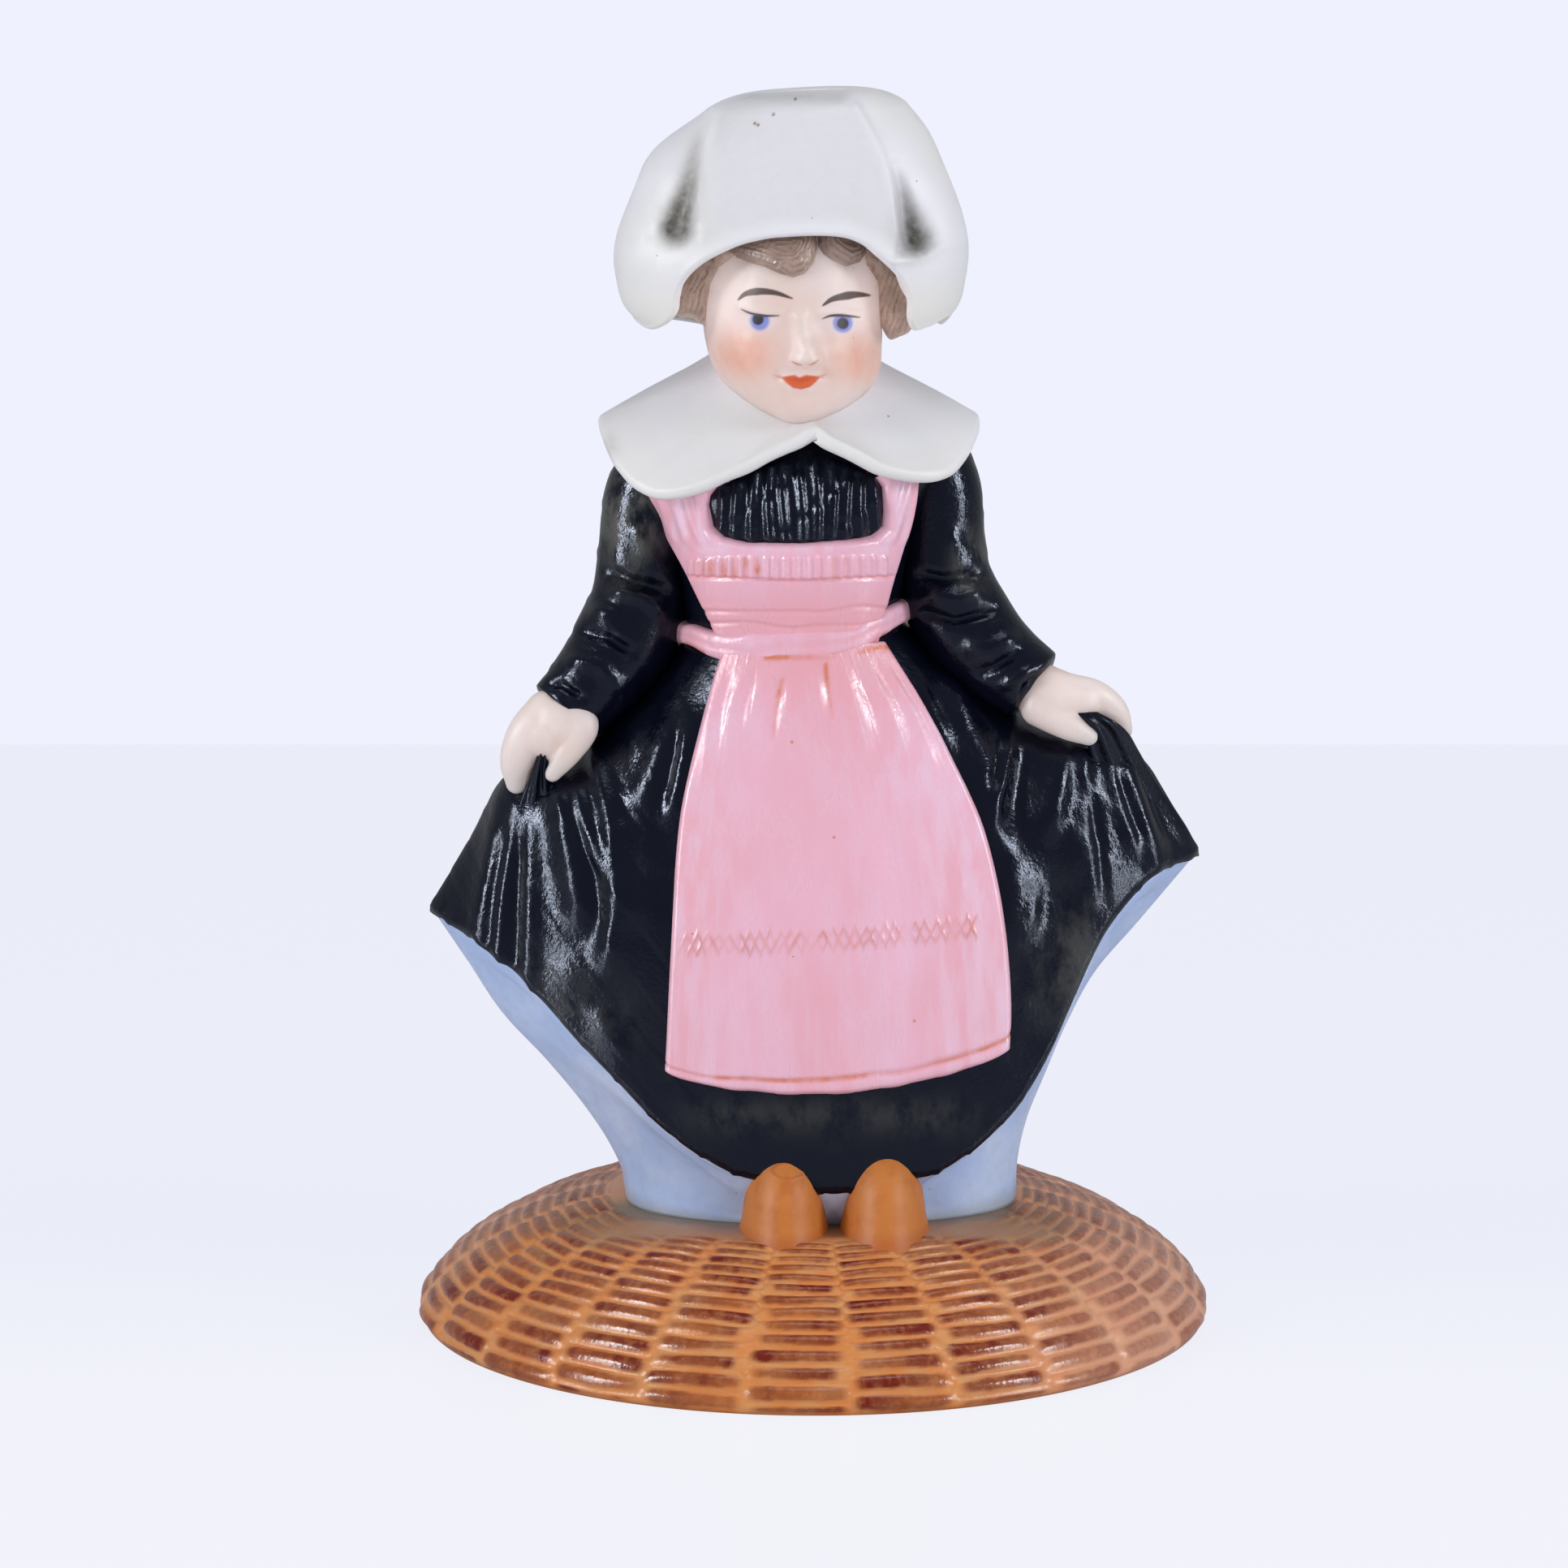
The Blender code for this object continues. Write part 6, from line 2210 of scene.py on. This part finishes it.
@dataclass
class Hair:
    """Hair that shows under the bonnet: a shell that rises from the head inside drawn outlines."""

    form: HeadForm = field(default_factory=HeadForm)
    finish: PaintedHair = PaintedHair()
    locks: Tuple[Points, ...] = (
        ((900, 296), (940, 285), (980, 280), (1006, 284), (1008, 304), (1004, 324), (992, 338),
         (977, 343), (960, 338), (942, 330), (922, 324), (906, 318)),
        ((1006, 282), (1040, 282), (1064, 292), (1068, 312), (1060, 324), (1042, 330), (1026, 322),
         (1014, 314), (1007, 303)),
    )
    sides: Tuple[Points, ...] = (
        ((826, 372), (832, 345), (860, 318), (900, 298), (908, 314), (886, 330), (876, 350),
         (872, 375), (871, 404), (858, 396), (846, 390), (834, 390)),
        ((1062, 306), (1080, 306), (1110, 330), (1126, 360), (1128, 390), (1121, 413), (1098, 418),
         (1090, 402), (1086, 370), (1080, 346), (1068, 328)),
    )
    curls: Tuple[Points, ...] = (
        ((838, 338), (826, 358), (826, 380), (838, 391), (852, 392), (864, 398), (874, 404),
         (882, 396), (884, 370), (884, 346), (888, 330), (870, 322), (852, 328)),
        ((1082, 330), (1102, 326), (1118, 340), (1128, 360), (1129, 388), (1121, 408), (1108, 415),
         (1096, 418), (1087, 404), (1080, 380), (1078, 352)),
    )

    def shell(self, outlines: Sequence[Points], bump: float, flow: float, glow: float) -> Skin:
        """Head surface lifted inside the outlines like rounded locks, sunk below the face elsewhere.

        Args:
            outlines: drawn outlines of the locks.
            bump: height of the locks over the head.
            flow: length of one strand wave in picture units.
            glow: strength of the painted glow that lights the hair in the bonnet's shade.
        Returns:
            The closed skin with its strand mark.
        """
        rows, angle = self.form.grid(230, 300, 0.85)
        normals = turned_out(rows)
        column, row = LENS.sees(rows)
        within = np.max([inside(column, row, o) for o in outlines], axis=0)
        shown = smooth(np.cos(angle), -0.35, 0.0)
        dome = np.sqrt(np.clip((within + 1.0) / 13.0, 0.0, 1.0)) * shown
        bend = 3.6 * ripple(column * 0.05 + row * 0.07, 1.0)
        bend = bend + 1.8 * ripple(column * 0.16 - row * 0.11, 4.0)
        strand = (0.5 + 0.5 * np.cos(within * 2.0 * math.pi / flow + bend)) ** 3
        press = -0.9 + (bump + 0.9) * dome - 0.2 * strand * smooth(within, 1.0, 6.0)
        grid = rows + normals * press[..., None]
        return Skin(grid, Ends.POLE, {"strand": strand, "glow": np.full(strand.shape, glow)})

    @staticmethod
    def curl(outline: Points, depth: float) -> Skin:
        """Plump curl beside the face: a cushion over a drawn outline, half an oval deep on each side.

        Args:
            outline: drawn outline of the curl.
            depth: depth of the outline's plane in millimetres.
        Returns:
            The closed skin with its strand mark.
        """
        rim = path_through([*outline, outline[0]], 97)[:-1]
        middle = rim.mean(0)
        count = 40
        share = np.sin(np.linspace(0.06, math.pi - 0.06, count))[:, None, None]
        drawn = middle + share * (rim - middle)
        column, row = drawn[..., 0], drawn[..., 1]
        front = np.where(np.arange(count) < count // 2, -3.4, 2.6)[:, None]
        bend = 2.6 * ripple(row * 0.06 + column * 0.03, 2.0)
        strand = (0.5 + 0.5 * np.cos((column + 0.35 * row) * 0.9 + bend)) ** 4
        y = depth + front * np.sqrt(1.0 - share[..., 0] ** 2) + 0.3 * strand * (front < 0.0)
        # the curls glow fully: painted light in the bonnet's shade
        marks = {"strand": strand, "glow": np.ones(strand.shape)}
        return Skin(LENS.place(column, row, y), Ends.POLE, marks)

    def build(self) -> Piece:
        """All locks as one piece.

        Returns:
            The dressed hair.
        """
        skins = [self.shell(self.locks, 1.35, 5.0, 0.0), self.shell(self.sides, 1.6, 6.5, 1.0)]
        skins += [self.curl(outline, -4.0) for outline in self.curls]
        nodes = ("hair_fringe", "right_side_curls", "left_side_curls")
        return finished("hair_locks", skins, self.finish, *nodes)


@dataclass
class Bonnet:
    """White bonnet: a smooth front panel, a deep dimple on each side and turned-out wings."""

    finish: WhiteBisque = WhiteBisque()
    levels: Row = (119.0, 121.0, 122.0, 123.5, 127.4, 131.3, 135.1, 140.0, 144.8, 147.4)
    halves: Row = (15.8, 17.4, 18.2, 19.6, 20.9, 21.1, 20.1, 17.7, 14.5, 12.0)
    fronts: Row = (13.5, 14.0, 14.3, 14.6, 15.2, 15.6, 15.2, 13.8, 11.4, 9.4)
    backs: Row = (12.5, 13.4, 13.9, 14.5, 15.6, 16.0, 15.6, 14.2, 11.6, 9.4)
    shoulder: float = 147.4
    dome: float = 2.25
    wall: float = 1.1
    squareness: float = 2.45
    brim: Points = (
        (700, 372), (764, 374), (776, 386), (787, 397), (799, 401), (811, 397), (821, 390), (828, 380),
        (830, 364), (838, 343), (863, 320), (904, 300), (938, 291), (963, 288), (1005, 286), (1040, 288),
        (1064, 296), (1081, 309), (1105, 330), (1119, 348), (1126, 370), (1126, 390), (1131, 402),
        (1142, 400), (1158, 393), (1174, 381), (1188, 366), (1260, 362))
    panel: Points = (
        (884, 116), (868, 190), (858, 260), (848, 318), (900, 290), (963, 277), (1040, 277), (1085, 296),
        (1112, 316), (1106, 270), (1092, 205), (1060, 120))
    spots: Points = ((930, 152), (934, 154), (953, 141), (980, 122))
    pits: Tuple[Fold, ...] = (
        Fold(((862, 160), (849, 222), (833, 280)), 8, 19, -0.7, (0.05, 1.1)),
        Fold(((1102, 203), (1115, 245), (1129, 296)), 8, 16, -1.5, (0.05, 1.1)),
    )
    folds: Tuple[Fold, ...] = (
        Fold(((840, 215), (826, 270), (824, 290)), 24, 32, -0.6, (0.2, 1.0)),
        Fold(((1118, 225), (1134, 270), (1137, 288)), 22, 28, -0.7, (0.2, 1.0)),
        Fold(((880, 136), (866, 190), (860, 240)), 6, 8, 0.22),
        Fold(((1055, 133), (1077, 173), (1098, 228), (1106, 285)), 6, 9, 0.36),
        Fold(((1100, 322), (1122, 320), (1142, 313), (1162, 303)), 6, 9, 0.42, (1.0, 0.3)),
        Fold(((1110, 309), (1136, 304), (1156, 296)), 5, 6, -0.35, (1.0, 0.2)),
        Fold(((844, 338), (870, 317), (906, 298), (950, 285), (1005, 283), (1045, 286), (1075, 302),
              (1098, 320)), 7, 7, 0.1),
        Fold(((900, 127), (950, 121), (1035, 118)), 8, 9, -0.35, (0.5, 1.0)),
        Fold(((800, 215), (778, 260), (772, 320)), 16, 18, 0.3),
        Fold(((1150, 215), (1168, 255), (1174, 300)), 14, 12, 0.25),
    )

    def radius(self, angle: Array, z: Array) -> Array:
        """Distance of the plain form from its axis: a superellipse of the turn at each height.

        Args:
            angle: turns in degrees, 0 at the front.
            z: heights.
        Returns:
            Distances in millimetres.
        """
        side, ahead = np.sin(np.radians(angle)), np.cos(np.radians(angle))
        half = spline(z, self.levels, self.halves)
        half = half + np.where(side < 0.0, 1.5 * hump(z, 142.5, 4.0), 0.0)
        front, back = spline(z, self.levels, self.fronts), spline(z, self.levels, self.backs)
        depth = np.where(ahead > 0.0, front, back)
        n = self.squareness
        return ((np.abs(side) / half) ** n + (np.abs(ahead) / depth) ** n) ** (-1.0 / n)

    @staticmethod
    def axis(z: Array) -> Array:
        """Middle of the section, which leans to her left towards the top."""
        return spline(z, (119.0, 131.0, 140.0, 145.0, 150.0), (-2.7, -2.7, -2.0, -1.2, -0.5))

    def place(self, angle: Array, size: Array, z: Array) -> Array:
        """Points at a turn, distance from the axis and height.

        Args:
            angle: turns in degrees, 0 at the front.
            size: distances from the axis.
            z: heights.
        Returns:
            Grid of points.
        """
        turn = np.radians(angle)
        x, y = self.axis(z) + size * np.sin(turn), -size * np.cos(turn)
        return np.stack(np.broadcast_arrays(x, y, z), axis=-1)

    def edge(self, angle: Array) -> Array:
        """Height of the lower edge: where the form meets the drawn brim in front, a gentle wave behind.

        Args:
            angle: turns in degrees, 0 at the front.
        Returns:
            Heights in millimetres.
        """
        z = np.linspace(142.0, 118.5, 260)[:, None]
        column, row = LENS.sees(self.place(angle, self.radius(angle, z), z))
        line = [tuple(p) for p in path_through(self.brim, 160)]
        under = inside(column, row, line + [(1260.0, 620.0), (700.0, 620.0)])
        first = np.clip(np.argmax(under > 0.0, axis=0), 1, len(z) - 1)
        every = np.arange(angle.shape[1])
        above, below = under[first - 1, every], under[first, every]
        share = np.clip(-above / np.maximum(below - above, 1e-6), 0.0, 1.0)
        drawn = blend(z[first - 1, 0], z[first, 0], share)[None, :]
        behind = spline(np.abs(angle), (0, 70, 82, 100, 120, 140, 180),
                        (122.5, 122.5, 122.3, 122.2, 121.6, 120.4, 118.8))
        return blend(drawn, behind, smooth(np.abs(angle), 68.0, 84.0))

    def turns(self) -> Array:
        """Turns of the columns in degrees, closer together where the edge runs up beside the face.

        Returns:
            The turns as one row.
        """
        fine = np.linspace(-180.0, 180.0, 4001)
        density = 1.0 + 2.5 * hump(np.abs(fine), 47.0, 8.0) + 0.6 * hump(fine, 0.0, 60.0)
        total = np.concatenate([[0.0], np.cumsum(0.5 * (density[1:] + density[:-1]))])
        return np.interp(np.linspace(0.0, total[-1], 561)[:-1], total, fine)[None, :]

    def build(self) -> Piece:
        """Outer face from the edge to the crown with its relief, rolled at the edge into a lining.

        Returns:
            The dressed bonnet.
        """
        angle = self.turns()
        turn = np.radians(angle)
        low = self.edge(angle)
        rise = shares(130)
        wall_z = low + (self.shoulder - low) * rise
        lean = 0.5 * np.sin(turn)
        cap = np.linspace(0.0, 1.0, 44)[1:, None]
        cap_r = self.radius(angle, np.full(angle.shape, self.shoulder)) * (1.0 - cap) + 0.02
        cap_z = self.shoulder + self.dome * (1.0 - (1.0 - cap) ** 4.2) + lean * (1.0 - cap)
        wall = self.place(angle, self.radius(angle, wall_z), wall_z)
        wall[..., 2] += lean * smooth(rise, 0.55, 1.0)
        outer = np.concatenate([wall, self.place(angle, cap_r, cap_z)])
        normals = turned_out(outer)
        ahead = smooth(np.cos(turn), 0.02, 0.2)
        outer = outer + normals * (relief_of(self.pits + self.folds, outer) * ahead)[..., None]
        roll = np.linspace(math.pi, 0.0, 10)[:-1, None]
        roll_r = self.radius(angle, low) - 0.5 * self.wall * (1.0 - np.cos(roll))
        rolled = self.place(angle, roll_r, low - 0.45 * self.wall * np.sin(roll))
        inner = np.linspace(1.0, 0.0, 24)[:, None]
        inner_z = low + (self.shoulder - 3.0 - low) * inner
        depth = self.wall + 2.6 * smooth(inner_z - low, 1.0, 5.0)
        lining = self.place(angle, np.maximum(self.radius(angle, inner_z) - depth, 1.0), inner_z)
        cover = np.linspace(0.95, 0.1, 6)[:, None]
        lid = blend(lining[:1], lining[0].mean(0)[None, None], cover[..., None])
        rows = np.concatenate([lid, lining[:-1], rolled, outer])
        column, row = LENS.sees(rows)
        # painted shade: darker in the two side dimples, along the valley across the top and faintly over the
        # front panel
        grime = np.zeros(column.shape)
        for pit, most in zip(self.pits, (1.3, 1.1)):
            gap, share = line_gap(column, row, pit.points)
            grime = grime + blend(0.05, most, share) * np.exp(-(gap / blend(7.0, 20.0, share)) ** 2)
        top = smooth(column, 880.0, 930.0) * fall(column, 1030.0, 1060.0)
        grime = grime + 0.25 * hump(row, 119.0, 7.0) * top
        grime = grime + 0.1 * smooth(inside(column, row, self.panel), -6.0, 16.0)
        spot = np.zeros(column.shape)
        for x, y in self.spots:
            spot = spot + 0.9 * fall(np.hypot(column - x, row - y), 1.0, 2.8)
        # warm tint low on the bonnet: a painted glow of light through the bisque where the wings shade it
        warm = 0.6 * fall(rows[..., 2], 124.0, 131.0)
        shown = np.cos(turn) > 0.0
        marks = {"grime": np.clip(grime, 0.0, 1.0) * shown, "spot": spot * shown, "warm": warm}
        nodes = ("bonnet_crown", "right_bonnet_wing", "left_bonnet_wing")
        return finished("bonnet_winged", [Skin(rows, Ends.POLE, marks)], self.finish, *nodes)


@dataclass
class Clog:
    """Toe of one clog that peeps out under the hem."""

    name: str
    node: str
    middle: float
    finish: ClogPaint = ClogPaint()
    ridge: float = 1.0
    half: float = 4.7
    deep: float = 7.5
    heel: float = 6.0
    tall: float = 11.7
    floor: float = 13.7
    toe: float = -25.7

    def build(self) -> Piece:
        """Thimble: ovals of sin and cos that follow a curve up to the tip, with a faint ridge near the top.

        Returns:
            The dressed toe.
        """
        share = shares(90)
        angle = full_turn(96)
        wide = spline(share, (0.0, 0.12, 0.25, 0.4, 0.55, 0.7, 0.82, 0.92, 1.0),
                      (1.24, 1.14, 1.07, 1.02, 0.96, 0.84, 0.68, 0.45, 0.0))
        x = self.middle + self.half * wide * np.sin(angle)
        depth = np.where(np.cos(angle) > 0.0, self.deep, self.heel) * wide
        lean = spline(share, (0.0, 0.5, 1.0), (1.0, 0.97, 0.85))
        y = self.toe + self.deep - depth * np.cos(angle) * lean
        rows = np.stack(np.broadcast_arrays(x, y, self.floor + self.tall * share), axis=-1)
        normals = turned_out(rows)
        column, row = LENS.sees(rows)
        oval = np.hypot((column - 971.0) / 19.0, (row - 1443.0) / 9.5)
        ring = hump(oval, 1.0, 0.12) * smooth(np.cos(angle), -0.2, 0.4) * self.ridge
        rows = rows + normals * (0.07 * ring)[..., None]
        rim = 0.6 * fall(rows[..., 2], 14.8, 16.6) + 0.75 * ring
        return finished(self.name, [Skin(rows, Ends.POLE, {"rim": rim})], self.finish, self.node)


# Stage and light


@dataclass
class Studio:
    """Pale table, bright tent of light and the photograph's camera."""

    backdrop: Colour = (239, 241, 254)
    table: Colour = (241, 243, 255)
    near: Colour = (247, 248, 255)
    lit: Colour = (226, 227, 232)
    shown: float = 0.88
    half: float = 1.5
    front: float = -1.6
    back: float = 0.38
    fill: Triple = (0.93, 0.95, 1.0)
    strength: float = 0.36
    aim: Triple = (0.0, 0.0, 0.075)

    def floor(self) -> None:
        """Plain table top that ends behind the figurine."""
        mesh = bpy.data.meshes.new("table")
        corners = [(side * self.half, end, 0.0) for side, end in (
            (-1.0, self.front), (1.0, self.front), (1.0, self.back), (-1.0, self.back))]
        mesh.from_pydata(corners, [], [(0, 1, 2, 3)])
        made = bpy.data.objects.new("table", mesh)
        bpy.context.collection.objects.link(made)
        r = Recipe("table_look")
        r.shade(Base_Color=srgb(*self.lit), Roughness=0.3)
        glow = r.tree.nodes.new("ShaderNodeEmission")
        split = r.tree.nodes.new("ShaderNodeSeparateXYZ")
        r.set(split.inputs["Vector"], r.coordinates)
        nearer = r.span(split.outputs["Y"], 0.04, -0.06)
        r.set(glow.inputs["Color"], r.mix(nearer, srgb(*self.table), srgb(*self.near)))
        join = r.tree.nodes.new("ShaderNodeMixShader")
        path = r.tree.nodes.new("ShaderNodeLightPath")
        seen = r.math('MULTIPLY', path.outputs["Is Camera Ray"], self.shown)
        for k, output in enumerate((seen, r.shader.outputs["BSDF"], glow.outputs["Emission"])):
            r.tree.links.new(output, join.inputs[k])
        r.tree.links.new(join.outputs["Shader"], r.tree.nodes["Material Output"].inputs["Surface"])
        mesh.materials.append(r.material)

    def world(self) -> None:
        """Even pale surroundings: the backdrop where they are seen, soft fill elsewhere."""
        world = bpy.data.worlds.new("tent")
        world.use_nodes = True
        bpy.context.scene.world = world
        tree = world.node_tree
        fill = tree.nodes["Background"]
        fill.inputs["Color"].default_value = (*self.fill, 1.0)
        fill.inputs["Strength"].default_value = self.strength
        seen = tree.nodes.new("ShaderNodeBackground")
        seen.inputs["Color"].default_value = srgb(*self.backdrop)
        join = tree.nodes.new("ShaderNodeMixShader")
        path = tree.nodes.new("ShaderNodeLightPath")
        mixed = (path.outputs["Is Camera Ray"], fill.outputs["Background"], seen.outputs["Background"])
        for k, output in enumerate(mixed):
            tree.links.new(output, join.inputs[k])
        tree.links.new(join.outputs["Shader"], tree.nodes["World Output"].inputs["Surface"])

    def lamp(self, name: str, place: Triple, power: float, size: Tuple[float, float], glints: bool = True,
             fills: bool = True) -> None:
        """Soft lamp aimed at the figurine's middle.

        Args:
            name: name of the lamp.
            place: where it stands, in metres.
            power: its power in watts.
            size: its width and height in metres.
            glints: whether the paint mirrors it.
            fills: whether it lights matt surfaces.
        """
        data = bpy.data.lights.new(name, 'AREA')
        data.energy = power
        data.shape = 'RECTANGLE'
        data.size, data.size_y = size
        made = bpy.data.objects.new(name, data)
        made.location = place
        made.visible_glossy = glints
        made.visible_diffuse = fills
        aim = np.array(self.aim) - np.array(place)
        flat = math.hypot(aim[0], aim[1])
        made.rotation_euler = (math.atan2(flat, -aim[2]), 0.0, math.atan2(aim[1], aim[0]) - 0.5 * math.pi)
        bpy.context.collection.objects.link(made)

    def build(self) -> None:
        """Set the whole stage."""
        self.floor()
        self.world()
        self.lamp("lamp_top", (0.05, 0.05, 0.9), 1.3, (0.4, 0.4))
        for name, side, gleam in (("left", -1.0, 6.0), ("right", 1.0, 3.8)):
            self.lamp("lamp_" + name, (0.7 * side, -0.35, 0.41), 2.25, (0.2, 0.2))
            self.lamp("strip_" + name, (0.77 * side, -0.34, 0.28), gleam, (0.11, 0.54), fills=False)
            self.lamp("front_" + name, (0.55 * side, -0.84, 0.1), 1.4, (0.24, 0.24), glints=False)
        LENS.camera()
        bpy.context.scene.view_settings.view_transform = 'Standard'


def arms() -> List[Sleeve]:
    """Both sleeves with their creases.

    Returns:
        Right and left sleeve.
    """
    right = Sleeve(
        "right_sleeve_puffed", "right_sleeve",
        ((-17.0, 1.0, 107.5), (-19.6, 0.5, 101.0), (-20.4, 0.0, 94.0), (-21.0, -1.0, 88.0),
         (-23.5, -2.5, 82.5), (-27.0, -4.0, 78.3), (-29.9, -5.0, 75.4)),
        (4.6, 5.5, 5.6, 6.0, 6.1, 5.2, 4.7),
        (Fold(((738, 700), (780, 716), (838, 730)), 7.8, 7.8, -0.98),
         Fold(((742, 728), (790, 736), (826, 760)), 7.8, 10.4, 0.7),
         Fold(((705, 775), (750, 786), (790, 812)), 7.8, 7.8, -0.98),
         Fold(((720, 750), (770, 762)), 11.7, 11.7, 0.7),
         Fold(((690, 812), (740, 820), (776, 862)), 10.4, 11.7, 0.7),
         Fold(((664, 846), (690, 842), (728, 866)), 5.2, 5.2, -0.7),
         Fold(((780, 640), (800, 690), (838, 740)), 10.4, 10.4, 0.56),
         Fold(((800, 820), (790, 870)), 7.8, 7.8, -0.56)),
        (774.0, 640.0, 36.0))
    left = Sleeve(
        "left_sleeve_puffed", "left_sleeve",
        ((12.2, 1.0, 108.0), (14.6, 0.5, 102.0), (15.1, 0.0, 95.5), (15.9, -1.0, 90.0),
         (18.6, -2.5, 85.2), (22.4, -4.0, 81.3), (26.1, -5.1, 78.7)),
        (4.6, 5.4, 5.5, 5.9, 5.9, 5.2, 4.7),
        (Fold(((1118, 705), (1160, 712), (1216, 706)), 7.8, 7.8, -0.98),
         Fold(((1130, 730), (1180, 738), (1222, 728)), 9.1, 10.4, 0.7),
         Fold(((1125, 752), (1175, 765), (1236, 748)), 6.5, 6.5, -0.84),
         Fold(((1180, 790), (1215, 800), (1262, 782)), 11.7, 11.7, 0.7),
         Fold(((1195, 835), (1225, 822), (1262, 800)), 6.5, 6.5, -0.7),
         Fold(((1225, 850), (1245, 840), (1282, 820)), 7.8, 7.8, 0.56),
         Fold(((1250, 872), (1262, 845), (1286, 822)), 5.2, 5.2, -0.7),
         Fold(((1165, 640), (1180, 690)), 13, 13, 0.42)),
        (1195.0, 690.0, 18.0))
    return [right, left]


def hands() -> List[Hand]:
    """Both hands as drawn lines with radii: palm, fingers and thumb.

    Returns:
        Right and left hand.
    """
    right = Hand("right_hand_pinch", "right_hand", (
        (((712, 846, -4.2), (702, 867, -5.6), (690, 890, -7.2), (674, 904, -7.6)), (2.5, 3.2, 3.9, 3.2)),
        (((676, 880, -7.0), (651, 907, -7.6), (637, 938, -7.2), (637, 965, -6.2)), (3.0, 2.7, 2.1, 1.4)),
        (((703, 878, -7.4), (715, 898, -8.6), (700, 928, -9.2), (681, 954, -9.2)), (3.1, 2.2, 1.6, 1.0)),
    ))
    left = Hand("left_hand_pinch", "left_hand", (
        (((1255, 830, -5.0), (1280, 850, -6.0), (1305, 862, -6.8), (1330, 866, -7.0)), (3.0, 3.4, 3.5, 2.8)),
        (((1318, 856, -6.8), (1348, 860, -6.6), (1372, 876, -6.0), (1384, 899, -5.0)), (2.6, 2.2, 1.8, 1.2)),
        (((1280, 872, -7.6), (1300, 886, -8.6), (1322, 898, -9.2), (1342, 908, -9.0)), (2.3, 1.9, 1.6, 1.1)),
    ))
    return [right, left]


def main() -> None:
    """Build the stage and every piece in order, and report each."""
    logging.basicConfig(level=logging.INFO, format="%(message)s")
    Studio().build()
    apron = Apron()
    skin = PaintedSkin().material()
    makers = [BasketBase().build, Petticoat().build, Overskirt().build, Bodice().build,
              apron.build_skirt, apron.build_band, apron.build_bib]
    makers += [sleeve.build for sleeve in arms()]
    makers += [Collar().build, Hair().build, Bonnet().build]
    makers += [Clog("right_clog_toe", "right_clog", -3.6).build]
    makers += [Clog("left_clog_toe", "left_clog", 8.4, ridge=0.0).build]
    pieces = [make() for make in makers]
    pieces += [painted.build(skin) for painted in [*hands(), Head()]]
    for piece in pieces:
        LOG.info("%s: %d faces", piece.name, len(piece.data.polygons))


if __name__ == "__main__":
    main()
